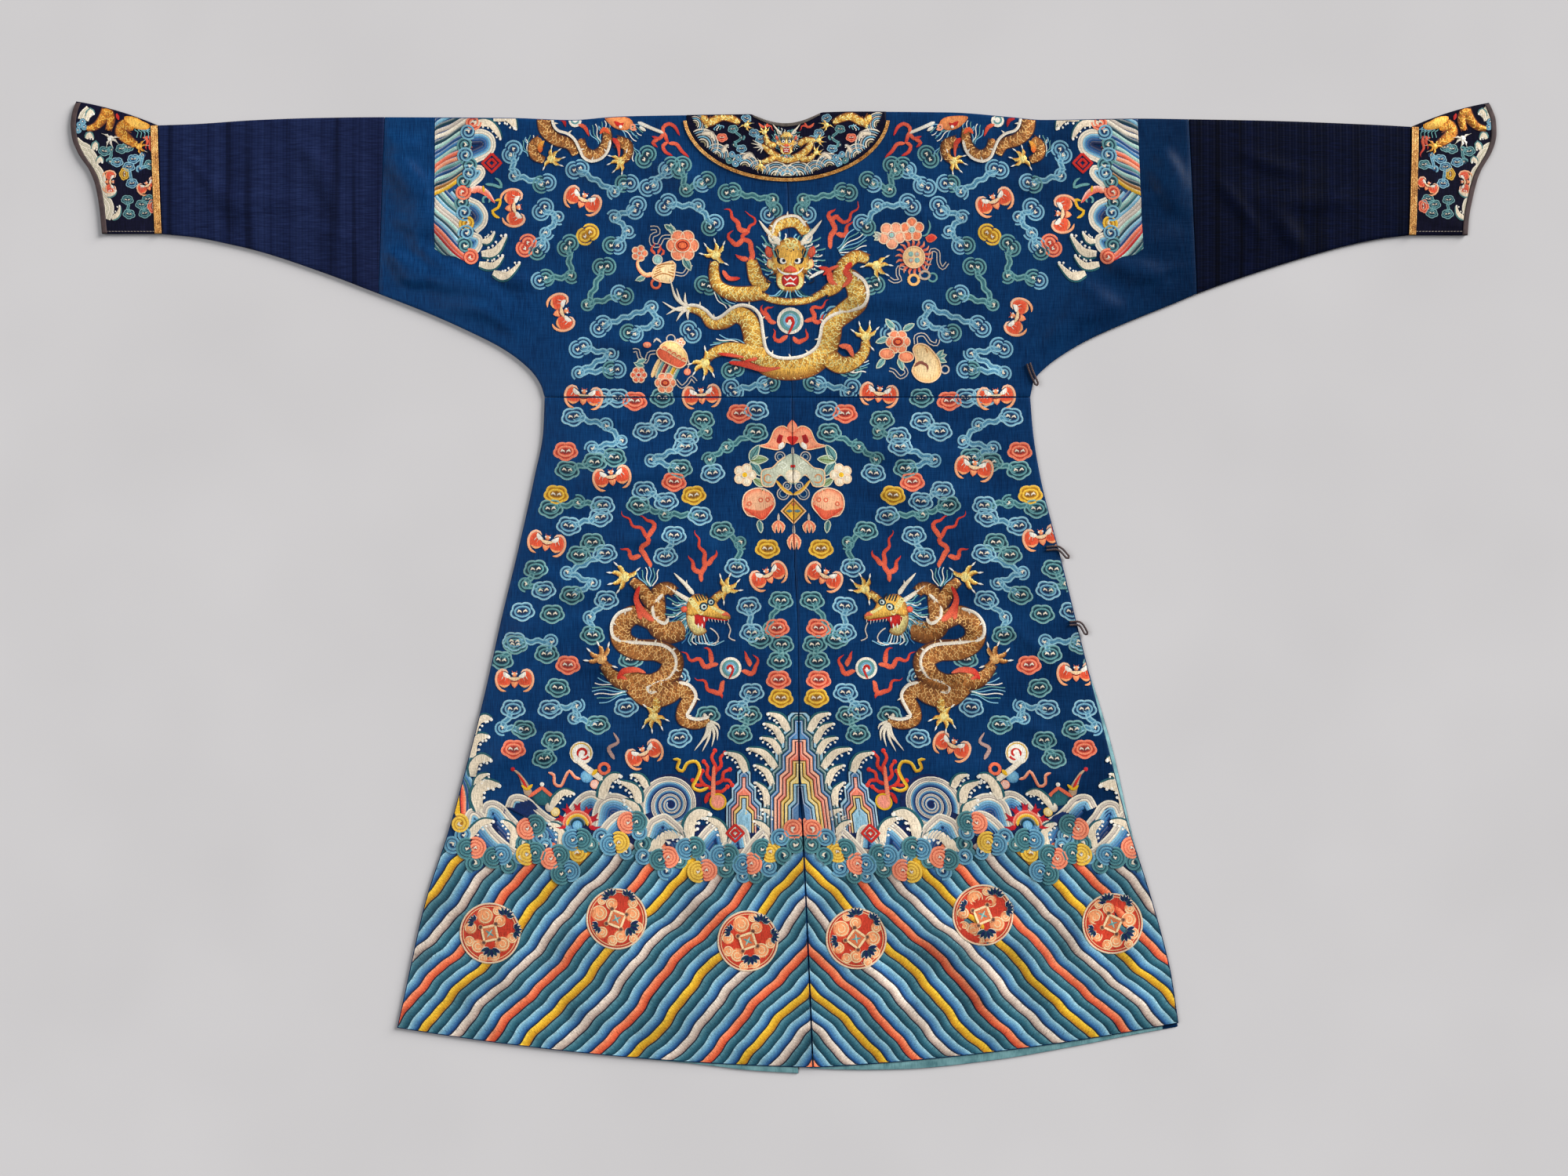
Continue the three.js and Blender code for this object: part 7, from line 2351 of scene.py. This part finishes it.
def stripes(needle, side):
    """Slanting stripes from the ruyi row down to the hem, meeting at the middle in a chevron."""
    slant = math.radians(STRIPE["slant"])
    run = np.array([-math.cos(slant), math.sin(slant)])
    over = np.array([math.sin(slant), math.cos(slant)])
    hem = hem_row(side)
    s = np.arange(STRIPE_RUN["first"], STRIPE_RUN["last"], STRIPE_RUN["step"])
    for k in range(-6, 14):
        start = STRIPE["yellow_at"] + k * STRIPE["pitch"]
        accent = (0, 10.8, *STRIPE_ACCENTS[k % 3])
        for offset, width, centre, upper, lower in (accent, *STRIPE_BANDS):
            c = start + offset
            sway = sum(high * np.sin(s * 2 * np.pi / length + c * shift)
                       for high, length, shift in STRIPE_SWAYS)
            line = over * (c + sway)[:, None] + run * (s[:, None] - STRIPE_RUN["zero"])
            mirrored = line.copy()
            mirrored[:, 0] = 2 * seam_pixel(line[:, 1]) - line[:, 0]
            shown = line if side == "left" else mirrored
            edge = side_at[side]((PHOTO_CENTRE[1] - shown[:, 1]) * PIXEL) / PIXEL + PHOTO_CENTRE[0]
            within = (shown[:, 1] > STRIPE["top_y"]) & (shown[:, 1] < hem(shown[:, 0]) + STRIPE_PAST["hem"])
            within &= line[:, 0] < seam_pixel(line[:, 1]) + STRIPE_PAST["seam"]
            past = STRIPE_PAST["side"]
            within &= (shown[:, 0] > edge - past) if side == "left" else (shown[:, 0] < edge + past)
            if np.count_nonzero(within) < 3:
                continue
            first, last = np.flatnonzero(within)[[0, -1]]
            needle.stroke(line[first:last + 1], width, centre, sides=(upper, lower), lift=0.3, crown=0.4,
                          cap=False, exact=True)


def runs_of(kept):
    """The stretches of 3 or more that say yes in a row of yes and no, as first and past-last places."""
    edges = np.flatnonzero(np.diff(np.r_[False, kept, False].astype(int)))
    return [(a, b) for a, b in zip(edges[::2], edges[1::2]) if b - a >= 3]


def parallel_bands(needle, points, bands, lift=0.4):
    """Bands side by side inward from a curve, each cut off where the curve's other flank is nearer."""
    line = smooth_line(points, 4.0)
    normal = normals(line)
    inward = 0.0
    for width, colour in bands:
        offset = inward + width / 2
        moved = line + normal * offset
        away = np.hypot(*(moved[:, None] - line[None]).T).min(0)
        kept = away > offset - 0.7
        for first, last in runs_of(kept):
            needle.stroke(moved[first:last], width, colour, lift=lift, crown=0.2, cap=False, exact=True,
                          sides=shaded(colour, 0.5, 0.12))
        inward += width


FOAM = light(230, 212, 184)
WAVE_BANDS = [(3.2, CREAM), (3.2, GREY_CREAM), (3.0, CREAM), (3.0, LIGHT_BLUE),
              (3.2, mix(LIGHT_BLUE, BLUE, 0.6)), (3.4, BLUE), (3.6, DEEP_BLUE), (3.8, light(16, 52, 108)),
              (4.0, NAVY)]


def wave(needle, points, lift):
    """A hump of water: bands that follow its crest, over a dark hollow."""
    line = smooth_line(points, 6.0)
    needle.patch(line, NAVY, light(14, 46, 100), lift, 0.03, inner=0.8, smoothed=False)
    parallel_bands(needle, points, WAVE_BANDS, lift + 0.12)


def claw(needle, points, width=10, side=1, lift=0.7, edge=TEAL, hooks=4):
    """Foam: a pale leaf of water with round-ended hooks along its hollow side and a coloured back."""
    line = smooth_line(points, 2.6)
    normal = normals(line) * side
    share = shares_of(line)
    leaf_width = width * np.interp(share, [0, 0.25, 0.55, 0.85, 1], [0.7, 1.0, 0.85, 0.5, 0.3])
    needle.stroke(line - normal * leaf_width[:, None] * 0.52, np.array([0.36, 0.4, 0.3, 0.2]) * width, edge,
                  lift=lift - 0.1, exact=True, sides=shaded(edge, 0.35, 0.3)[::-side])
    half = normal * leaf_width[:, None] / 2
    body = np.vstack([line + half, (line - half)[::-1]])
    needle.patch(body, CREAM, FOAM, lift, 0.25, inner=0.8, smoothed=False)
    needle.thread(line - half, 1.1, mix(edge, INK, 0.4), lift + 0.2, exact=True)
    ahead = np.stack([normal[:, 1], -normal[:, 0]], -1) * side
    for k in range(hooks):
        i = int((k + 1.0) / (hooks + 0.4) * (len(line) - 1))
        root = line[i] + half[i] * 0.8
        end = root + normal[i] * width * 0.34 + ahead[i] * width * 0.16
        needle.stroke([root, end], [0.34 * width, 0.16 * width], CREAM, lift=lift, crown=0.2)
        needle.disc(*end, 0.15 * width, WHITE, WHITE, lift + 0.15, 0.15, sides=6)
    needle.disc(*(line[-1] + half[-1]), 0.2 * width, WHITE, WHITE, lift + 0.15, 0.15, sides=7)


def spiral_water(needle, x, y, r, lift):
    """A whirl: bands that wind in to its eye, each turn smaller than the last."""
    turn = 160
    shares = [(0.07, CREAM), (0.068, GREY_CREAM), (0.066, CREAM), (0.05, LIGHT_BLUE), (0.048, BLUE),
              (0.046, DEEP_BLUE)]
    needle.disc(x, y, r * 0.94, NAVY, NAVY, lift, 0.03, sides=24)
    a = turn + np.arange(0, 1500, 11.0)
    base = r * 0.62 ** ((a - turn) / 360)
    inward = 0.0
    for share, colour in shares:
        line = round_points(x, y, base * (1 - inward - share / 2), np.radians(a))
        width = np.maximum(base * share, 0.4)
        needle.stroke(line, width, colour, lift=lift + 0.12, crown=0.15, exact=True, cap=False,
                      sides=shaded(colour, 0.4, 0.1))
        inward += share


def corners(points, step=4.0):
    """A line that keeps its corners."""
    p = np.asarray(points, float)
    pieces = [p[:1]]
    for a, b in zip(p[:-1], p[1:]):
        count = max(1, round(math.dist(a, b) / step))
        pieces.append(mix(a, b, (np.arange(count) + 1)[:, None] / count))
    return np.vstack(pieces)


def mountain(needle, x, top, foot, profile, colours, width, drop, lift=0.75, halves=(-1, 1)):
    """A rock of stepped bands, one inside another; profile lists its half width from the top down."""
    profile = np.array([*profile, (profile[-1][0], foot - top)], float)
    for k, colour in enumerate(colours):
        inner = profile + (-k * width, k * drop)
        inner = inner[(inner[:, 0] > 0.5) & (inner[:, 1] < foot - top)]
        if len(inner) < 2:
            break
        inner = np.vstack([[(0.0, inner[0, 1])], inner, [(inner[-1, 0], foot - top)]])
        for side in halves:
            line = inner * (side, 1) + (x, top)
            rise = lift + 0.12 * k
            needle.patch(np.vstack([corners(line, 9), [(x, foot)]]), mix(colour, INK, 0.12),
                         mix(colour, WHITE, 0.12), rise, 0.05, inner=0.85, heart=(x, foot), smoothed=False)
            needle.thread(corners(line, 9), 1.2, INK, rise + 0.12, exact=True)
            needle.thread(corners(line + (-side * 1.6, 1.6), 9), 1.5, mix(colour, WHITE, 0.35), rise + 0.12,
                          exact=True)


ROCK = [LIGHT_BLUE, TEAL, BLUE, PALE_CORAL, CORAL, YELLOW, light(246, 214, 120), LIGHT_BLUE, BLUE,
        DEEP_BLUE]
ROCK_PROFILE = [(9, 0), (14, 5), (14, 20), (22, 27), (22, 42), (30, 49), (30, 66), (38, 73), (38, 94),
                (45, 101)]
SMALL_ROCK = [LIGHT_BLUE, BLUE, CORAL, YELLOW, LIGHT_BLUE, CORAL, BLUE]
SMALL_PROFILE = [(4, 0), (9, 5), (9, 18), (16, 25), (16, 38), (23, 45)]


def roundel(needle, x, y):
    """A medallion: red ground, peach scrolls, dark feathered fans, a framed square and a pale rim."""
    r = 38.6
    red, peach = light(206, 62, 40), light(248, 166, 112)
    deep_peach, thread_pale = light(226, 122, 76), light(252, 220, 170)
    needle.disc(x, y, r, light(190, 56, 40), red, 0.85, 0.3, sides=30)
    turn = (x * 3) % 90 - 45
    spot = Spot(x, y, turn)
    for cx, cy, size in ((-17, -15, 11), (21, 3, 10), (-4, 22, 9), (-24, 8, 8), (20, 21, 8), (2, -20, 8),
                         (-16, 23, 7), (27, -10, 7), (-8, -29, 6), (10, 31, 6)):
        px, py = spot([(cx, cy)])[0]
        needle.disc(px, py, size, deep_peach, peach, 1.1, 0.25, sides=11)
        for k in (0, 1):
            needle.ring(px, py, size * (0.92 - 0.42 * k), 1.3, thread_pale, 1.38, 0.08, cx * 9 + 60 * k,
                        300, spread=-size * 0.2)
    fans = ((4, -30, -100, 6, 13), (-25, -1, 176, 5, 11), (12, 16, 62, 6, 14), (25, -20, -28, 6, 12))
    for cx, cy, face, count, reach in fans:
        for k in range(count):
            out = heading(face + (k - (count - 1) / 2) * 24)
            root = np.array((cx, cy)) - 3 * heading(face)
            feather = spot([root + out * 3, root + out * (reach * 0.6), root + out * reach])
            needle.stroke(feather, [3.6, 6.4, 6.6, 3.4], CREAM, lift=1.5, crown=0.1)
            needle.stroke(feather, [2.0, 4.4, 4.4, 1.6], (NAVY, DEEP_TEAL)[k % 2], lift=1.66, crown=0.1,
                          sides=(light(26, 38, 84), INK))
    for size, tint, wide in ((12.5, thread_pale, 3.0), (8.2, deep_peach, 2.4)):
        line = corners(spot([(0, -size), (size, 0), (0, size), (-size, 0), (0, -size)]), 4)
        if size > 10:
            needle.patch(line, red, deep_peach, 1.75, 0.05, smoothed=False)
        needle.stroke(line, wide, tint, lift=1.85, crown=0.15, exact=True, cap=False)
    for across, tint in (((6, 0), LIGHT_TEAL), ((0, 6), MINT)):
        needle.stroke(spot([across, (-across[0], -across[1])]), 2.4, tint, lift=2.0, crown=0.1)
    for cx, cy in ((14, 0), (-14, 0), (0, 14), (0, -14)):
        needle.disc(*spot([(cx, cy)])[0], 3.4, peach, INK, 1.9, 0.1, sides=9)
    needle.ring(x, y, r - 0.9, 2.2, light(236, 206, 172), 1.35, 0.2)
    needle.ring(x, y, r - 4.4, 1.2, light(246, 190, 140), 1.3, 0.1)


def lozenge(needle, x, y, r, colour, lift=1.2):
    """Two lozenges, one inside the other."""
    for size in (r, r * 0.45):
        line = corners([(x, y - size), (x + size, y), (x, y + size), (x - size, y), (x, y - size)], 3)
        needle.stroke(line, 3.4, colour, lift=lift, exact=True, cap=False)


# Humps of water from back to front, and foam as its course, width and the side of its hooks
HUMPS = [
    [(645, 1028), (651, 1015), (663, 1012), (676, 1017), (688, 1028), (700, 1038), (714, 1047),
     (728, 1068)], [(711, 1054), (727, 1028), (739, 1014), (751, 1008), (763, 1010), (777, 1022),
                    (792, 1046)], [(940, 1054), (946, 1043), (957, 1038), (968, 1039), (979, 1045),
                                   (995, 1050), (1010, 1058), (1024, 1070)],
    [(611, 1044), (617, 1025), (630, 1020), (643, 1026), (653, 1038), (664, 1050), (678, 1072)],
    [(753, 1056), (758, 1028), (767, 1016), (781, 1011), (796, 1014), (813, 1026), (832, 1050)],
    [(878, 1084), (892, 1064), (904, 1051), (916, 1045), (928, 1053), (934, 1072)],
    [(590, 1062), (595, 1036), (606, 1030), (617, 1036), (625, 1049), (636, 1063), (655, 1079),
     (670, 1088)], [(760, 1076), (766, 1056), (774, 1045), (785, 1036), (797, 1033), (809, 1039),
                    (820, 1054)], [(911, 1092), (921, 1076), (933, 1058), (944, 1051), (954, 1058),
                                   (959, 1078)],
    [(820, 1064), (827, 1047), (837, 1040), (849, 1037), (861, 1045), (872, 1056), (886, 1080)],
    [(938, 1098), (949, 1081), (962, 1065), (974, 1055), (984, 1062), (991, 1084)],
]
FOAM_CLAWS = [
    ([(604, 940), (606, 926), (618, 914), (628, 916)], 11, 1),
    ([(603, 966), (604, 950), (612, 939), (624, 938)], 12, 1),
    ([(604, 990), (605, 975), (615, 965), (628, 968)], 12, 1),
    ([(607, 1002), (613, 991), (624, 986)], 9, 1),
    ([(612, 1034), (608, 1012), (619, 998), (638, 1000)], 14, 1),
    ([(598, 1068), (608, 1055), (618, 1047), (630, 1046)], 11, 1),
    ([(654, 1080), (657, 1064), (651, 1052), (642, 1046)], 11, -1),
    ([(714, 1082), (718, 1067), (713, 1054), (702, 1049)], 11, -1),
    ([(704, 1028), (711, 1017), (721, 1009), (733, 1011)], 10, 1),
    ([(767, 1018), (773, 1001), (781, 990), (792, 988)], 13, 1),
    ([(826, 1004), (817, 991), (806, 987)], 10, -1), ([(816, 1024), (810, 1006), (791, 996)], 12, -1),
    ([(815, 1044), (811, 1029), (797, 1019)], 11, -1),
    ([(830, 1088), (841, 1072), (855, 1062), (870, 1066)], 15, 1),
    ([(880, 1070), (880, 1050), (890, 1036), (906, 1036)], 15, 1),
    ([(924, 1074), (922, 1058), (913, 1047), (900, 1042)], 11, -1),
    ([(1002, 1050), (990, 1039), (972, 1031)], 11, -1),
    ([(982, 1078), (981, 1062), (973, 1051), (962, 1046)], 9, -1),
    ([(952, 984), (943, 966), (926, 959)], 11, -1), ([(1006, 932), (995, 915), (980, 909)], 11, -1),
    ([(1000, 947), (989, 929), (975, 922)], 10, -1), ([(996, 962), (986, 946), (971, 940)], 10, -1),
    ([(991, 980), (974, 960), (954, 954)], 11, -1), ([(986, 1001), (978, 984), (963, 975)], 10, -1),
    ([(979, 1028), (976, 1009), (964, 997)], 10, -1),
]


SEA = {"top": 1056, "foot": 1112, "pitch": 7, "left": 586, "slope": 0.3, "right": 1030}
ROCK_FROM = 990


def waves(needle):
    """The sea and rocks above the stripes, on one half; the middle seam cuts what crosses it."""
    for y in range(SEA["top"], SEA["foot"], SEA["pitch"]):
        start = SEA["left"] - SEA["slope"] * (y - SEA["top"])
        needle.stroke([(start, y), (SEA["right"], y)], 8, NAVY, lift=0.1, crown=0.02, step=8)
    side_rock(needle)
    treasures(needle)
    spiral_water(needle, 856, 1026, 42, 0.34)
    for i, points in enumerate(HUMPS):
        wave(needle, points, 0.3 + 0.09 * i)
    for points, width, side in FOAM_CLAWS:
        claw(needle, points, width, side, 1.2)
    mountain(needle, 949, 979, 1060, SMALL_PROFILE, SMALL_ROCK, 3.3, 3.4, 0.5)
    mountain(needle, 1018.5, 908, 1068, ROCK_PROFILE, ROCK, 4.5, 2.6, 1.1, (-1,))
    flame_jewel(needle, 737, 1052)
    lozenge(needle, 938, 1062, 11, RED, 1.7)
    for i, (family, x, y, r) in enumerate(ROW_CURLS):
        rise = 2.9 if x > ROCK_FROM else 1.5 + 0.2 * (i % 3)
        scroll(needle, x, y, family, (i * 53) % 360, r, rise, 3.6, 4.2, 0.75)
    for first, second, x, y, turn in ROW_PAIRS:
        scroll_pair(needle, x, y, (first, second), turn, 1.08, 2.1, (11.4, 7.6, 4.0), 3.5, 4.8, 0.75)


def side_rock(needle):
    """The half rock at the side edge: bands of blue and teal with orange and yellow outside."""
    edge = np.array([(600, 930), (596, 950), (600, 966), (594, 982), (603, 998), (607, 1014), (607, 1036)])
    for k, colour in enumerate((LIGHT_BLUE, BLUE, TEAL, DEEP_BLUE, TEAL)):
        line = edge - (3.3 * k, 0)
        needle.stroke(line, 3.6, colour, lift=0.4, crown=0.25, sides=shaded(colour, 0.4, 0.2))
    needle.stroke([(588, 998), (591, 1010), (592, 1040)], [3, 7, 6], CORAL, lift=0.7,
                  sides=(RED, PALE_CORAL))
    needle.stroke([(584, 1010), (584, 1040)], [4, 8], YELLOW, lift=0.8)


def treasures(needle):
    """The small precious things that float over the waves."""
    for branch in ([(910, 1006), (899, 1001), (893, 992), (896, 983)],
                   [(898, 1000), (889, 1001), (884, 995)], [(910, 996), (902, 988), (903, 978), (898, 971)],
                   [(911, 990), (913, 978), (908, 966), (912, 957)],
                   [(912, 984), (920, 976), (919, 966), (925, 960)],
                   [(911, 1000), (921, 995), (923, 985), (931, 981)], [(921, 995), (930, 995), (934, 1001)],
                   [(911, 1009), (921, 1009), (928, 1003)]):
        needle.stroke(branch, [5.6, 4.6, 4.2, 3.6], RED, tip=light(236, 74, 52), lift=0.6, crown=0.5)
        needle.disc(*branch[-1], 3.0, light(232, 66, 50), RED, 0.65, 0.4, sides=8)
    needle.stroke([(910, 1022), (910, 1000), (911, 976)], [6.4, 5.4, 4], PALE_CORAL, tip=CORAL, lift=1.0,
                  crown=0.4)
    needle.disc(916, 1022, 9.4, PALE_CORAL, light(246, 150, 130), 0.8, 0.4)
    needle.ring(916, 1022, 9.8, 2.4, YELLOW, 1.0, 0.2)
    needle.stroke([(900, 1024), (903, 1014), (908, 1010)], [5, 6, 3], RED, lift=0.9)
    needle.stroke([(859, 968), (867, 969), (864, 979), (871, 983), (877, 973), (888, 971), (893, 981),
                   (889, 993), (884, 1003), (893, 1008), (904, 1004)], 4.2, YELLOW, lift=1.3, crown=0.3,
                  sides=(light(190, 130, 20), light(248, 214, 90)))
    needle.stroke([(676, 1014), (670, 1000), (662, 986), (655, 981)], [11, 8.6, 4.4, 2],
                  light(190, 158, 128), lift=0.5, crown=0.4)
    needle.stroke([(673, 1006), (668, 996), (661, 986)], [3.4, 3, 1.4], RED, lift=1.0)
    needle.stroke([(666, 1001), (673, 1006), (680, 1000)], 4, YELLOW, lift=1.1)
    needle.disc(655, 980.5, 2.8, light(190, 30, 60), RED, 0.8, 0.3, sides=8)
    needle.patch([(679, 1016), (692, 1006), (704, 1016), (702, 1028), (684, 1026)], DEEP_TEAL, TEAL, 0.4,
                 0.2, smoothed=False)
    needle.stroke(corners([(675, 1016), (692, 1004), (706, 1016)]), 4.6, CORAL, lift=0.6, exact=True)
    needle.disc(692, 1000, 2.9, CREAM, WHITE, 0.7, 0.3, sides=8)
    needle.disc(702, 1029, 6.2, light(196, 178, 160), CREAM, 0.9, 0.4)
    needle.disc(709, 1035, 6, YELLOW, light(246, 226, 170), 1.0, 0.4)
    needle.stroke([(700, 985), (707, 988), (708, 999), (716, 1002), (722, 990), (727, 983), (734, 991),
                   (741, 993)], 3.8, PALE_CORAL, lift=0.5, sides=(CORAL, light(255, 190, 160)))
    needle.disc(749, 990, 8.4, BLUE, LIGHT_BLUE, 0.4, 0.3)
    needle.disc(742, 960, 15, CREAM, WHITE, 0.5, 0.5, sides=14)
    needle.ring(744, 960, 8.4, 3.4, RED, 0.95, 0.2, 30, 400, spread=-5)
    needle.ring(742, 960, 12.6, 1.3, YELLOW, 0.95, 0.1, 140, 250)
    needle.stroke([(737, 970), (754, 983), (774, 998)], [6, 8, 7], CREAM, lift=0.9, crown=0.4)
    needle.stroke([(756, 988), (762, 981)], [5, 5], YELLOW, lift=1.3)
    needle.ring(771, 980, 6.4, 4.2, CORAL, 0.8, 0.4)
    needle.disc(759, 1000, 6, PALE_CORAL, light(250, 206, 190), 0.7, 0.4)
    needle.stroke([(784, 968), (777, 954), (789, 946), (783, 934)], [5, 5, 4, 2], light(186, 150, 140),
                  lift=0.5)


def flame_jewel(needle, x, y):
    """A jewel in flames."""
    for turn in range(176, 372, 17):
        out = heading(turn)
        bent = crosswise(out) * (3 if turn % 2 else -2)
        root, tip = np.array((x, y)) + out * 15, np.array((x, y)) + out * (27 + turn % 5)
        needle.stroke([root, mix(root, tip, 0.5) + bent, tip], [8, 5, 1], light(212, 34, 40),
                      tip=light(170, 20, 46), lift=1.3)
    for k, (reach, colour) in enumerate(((17, CORAL), (13, YELLOW), (8.6, DEEP_TEAL))):
        needle.ring(x, y, reach, 4.6, colour, 1.45 + 0.05 * k, 0.3, 178, 184,
                    sides=shaded(colour, 0.35, 0.3))
    needle.disc(x, y, 6.6, BLUE, LIGHT_BLUE, 1.5, 0.3)


def chains(needle, table):
    """Rows of cloud heads from a table."""
    for family, heads in table:
        cloud_chain(needle, family, heads)


def bats(needle, place):
    for x, y, turn in BATS[place]:
        bat(needle, x, y, turn)


def upper_ground(needle):
    """The half of the upper back's ground that the other half mirrors."""
    shoulder(needle)
    for family, heads in UPPER_CLOUDS:
        cloud_chain(needle, family, heads, lobed=False)
    chains(needle, [row for row in SKIRT_CLOUDS if row[1][0][1] < WAIST_ROW + 12 and len(row[1]) < 3])
    shoulder_dragon(needle)


def upper_own(needle):
    """What the upper back doesn't mirror: the bats down to the waist seam, and the emblems."""
    for x, y, turn in sum(BATS.values(), []):
        if y < WAIST_ROW + 20:
            bat(needle, x, y, turn)
    side_emblems(needle)


def skirt_ground(needle):
    chains(needle, SKIRT_CLOUDS)
    middle_emblem(needle)


def roundels(needle, side):
    for x, y in ROUNDELS[side]:
        roundel(needle, x, y)


def embroider(name, bounds, halves, work, own=None, height=surface):
    """One piece of needlework: work on each half that it covers, then what isn't mirrored."""
    needle = Needlework(name, bounds, height)
    for half in halves:
        needle.mirrored = half == "right"
        work(needle)
    needle.mirrored = False
    if own is not None:
        own(needle)
    return needle.finish()


def side_silks(side):
    """The skirt's ground, dragon, sea and stripes on one side, and the cuff."""
    skirt = skirt_bounds(side)
    works = {
        "skirt": (skirt, [side], skirt_ground, lambda needle: bats(needle, f"skirt_{side}")),
        "dragon": (skirt, [side], running_dragon), "sea": (skirt, [side], waves),
        "stripes": (skirt, [side], lambda needle: stripes(needle, side),
                    lambda needle: roundels(needle, side)),
        "cuff": (cuff_bounds(side), [side], cuff_needlework),
    }
    return {f"{part}_{side}": embroider(f"silk_{part}_{side}", *work) for part, work in works.items()}


SILK = {
    "upper": embroider("silk_upper", upper_bounds, SIDES, upper_ground, upper_own),
    "great": embroider("silk_great_dragon", upper_bounds, ["left"], great_dragon),
    **side_silks("left"),
    **side_silks("right"),
    "collar": embroider("silk_collar", collar_bounds, SIDES, collar_half, collar_dragon, on_collar),
}
ON_SHEETS = {
    "back_upper_left": [SILK["upper"], SILK["great"]],
    "collar_back": [SILK["collar"], PIECES["collar_piping"], PIECES["neck_binding"]],
}
for side in SIDES:
    parts = ("skirt", "dragon", "sea", "stripes")
    ON_SHEETS[f"back_skirt_{side}"] = [SILK[f"{part}_{side}"] for part in parts]
    edges = (PIECES[f"cuff_binding_{side}"], PIECES[f"cuff_piping_{side}"])
    ON_SHEETS[f"cuff_back_{side}"] = [SILK[f"cuff_{side}"], *edges]


# What each sheet of cloth rests on
RESTS_ON = {
    "back_upper_left": ["front_upper_left"],
    "back_upper_right": ["front_shoulder_right", "front_inner_flap"],
    "back_skirt_left": ["front_skirt_left"],
    "back_skirt_right": ["front_inner_flap"],
    "sleeve_back_left": ["sleeve_front_left"],
    "sleeve_back_right": ["sleeve_front_right"],
    "cuff_back_left": ["cuff_front_left"],
    "cuff_back_right": ["cuff_front_right"],
    "collar_back": ["back_upper_left", "back_upper_right"],
    "front_upper_left": [],
    "front_skirt_left": [],
    "front_overlap_upper": [],
    "front_overlap_skirt": [],
    "front_shoulder_right": [],
    "front_inner_flap": ["front_overlap_upper", "front_overlap_skirt"],
    "collar_front": [],
    "sleeve_front_left": [],
    "sleeve_front_right": [],
    "cuff_front_left": [],
    "cuff_front_right": [],
    "hem_lining_left": ["front_skirt_left"],
    "hem_lining_right": ["front_overlap_skirt"],
    "side_lining": ["front_overlap_skirt"],
}
for node, below in RESTS_ON.items():
    declare(node, ON_SHEETS.get(node, ()))


# Camera and lights
# The floor's reach in millimetres, and in metres how far it lies below the robe
FLOOR_REACH = 6000
FLOOR_DROP = 0.0005
LENS = {"focal": 50, "sensor": 36}
# In metres, as the photograph's middle lies half a pixel right of and below the frame's
AIM = 0.0006
ROOM = {"colour": (0.93, 0.95, 1.0, 1), "strength": 0.12}


def make_stage():
    """A pale paper floor."""
    far = FLOOR_REACH
    floor = new_object("floor", [(-far, -far, 0), (far, -far, 0), (far, far, 0), (-far, far, 0)],
                       [np.array([(0, 1, 2, 3)])], [])
    paper = Looks("paper")
    paper.set(Roughness=0.9, Specular_IOR_Level=0.2)
    grain = paper.noise(paper.place(), 3.0, 2.0)
    colour = paper.ramp(grain, [(0.3, light(205, 203, 204)), (0.7, light(210, 208, 209))])
    floor.data.materials.append(paper.finish(colour))
    floor.location.z = -FLOOR_DROP


def make_sun(name, towards, strength, spread, warmth):
    """A far, soft lamp in a direction from the robe; spread is how wide it looks, in degrees."""
    lamp = bpy.data.lights.new(name, "SUN")
    lamp.angle = math.radians(spread)
    lamp.energy = strength
    lamp.color = warmth
    made = bpy.data.objects.new(name, lamp)
    made.location = towards
    flat = math.hypot(towards[0], towards[1])
    turn = math.atan2(-towards[1], -towards[0]) - math.pi / 2
    made.rotation_euler = (math.atan2(flat, towards[2]), 0, turn)
    bpy.context.scene.collection.objects.link(made)


def make_camera():
    """Straight down, with the whole photograph's frame."""
    frame_width = PHOTO_WIDTH * PIXEL * MM
    camera = bpy.data.cameras.new("camera")
    camera.sensor_width = LENS["sensor"]
    camera.lens = LENS["focal"]
    made = bpy.data.objects.new("camera", camera)
    made.location = (AIM, -AIM, frame_width * camera.lens / camera.sensor_width)
    bpy.context.scene.collection.objects.link(made)
    bpy.context.scene.camera = made


make_stage()
make_camera()
make_sun("key", towards=(1.0, 0.7, 0.55), strength=4.75, spread=34, warmth=(1.0, 0.985, 0.965))
make_sun("fill", towards=(-1.0, 0.1, 1.25), strength=1.05, spread=40, warmth=(0.97, 0.985, 1.0))
world = bpy.data.worlds.new("room")
world.use_nodes = True
glow = world.node_tree.nodes["Background"].inputs
glow["Color"].default_value = ROOM["colour"]
glow["Strength"].default_value = ROOM["strength"]
bpy.context.scene.world = world
bpy.context.scene.view_settings.view_transform = "Standard"
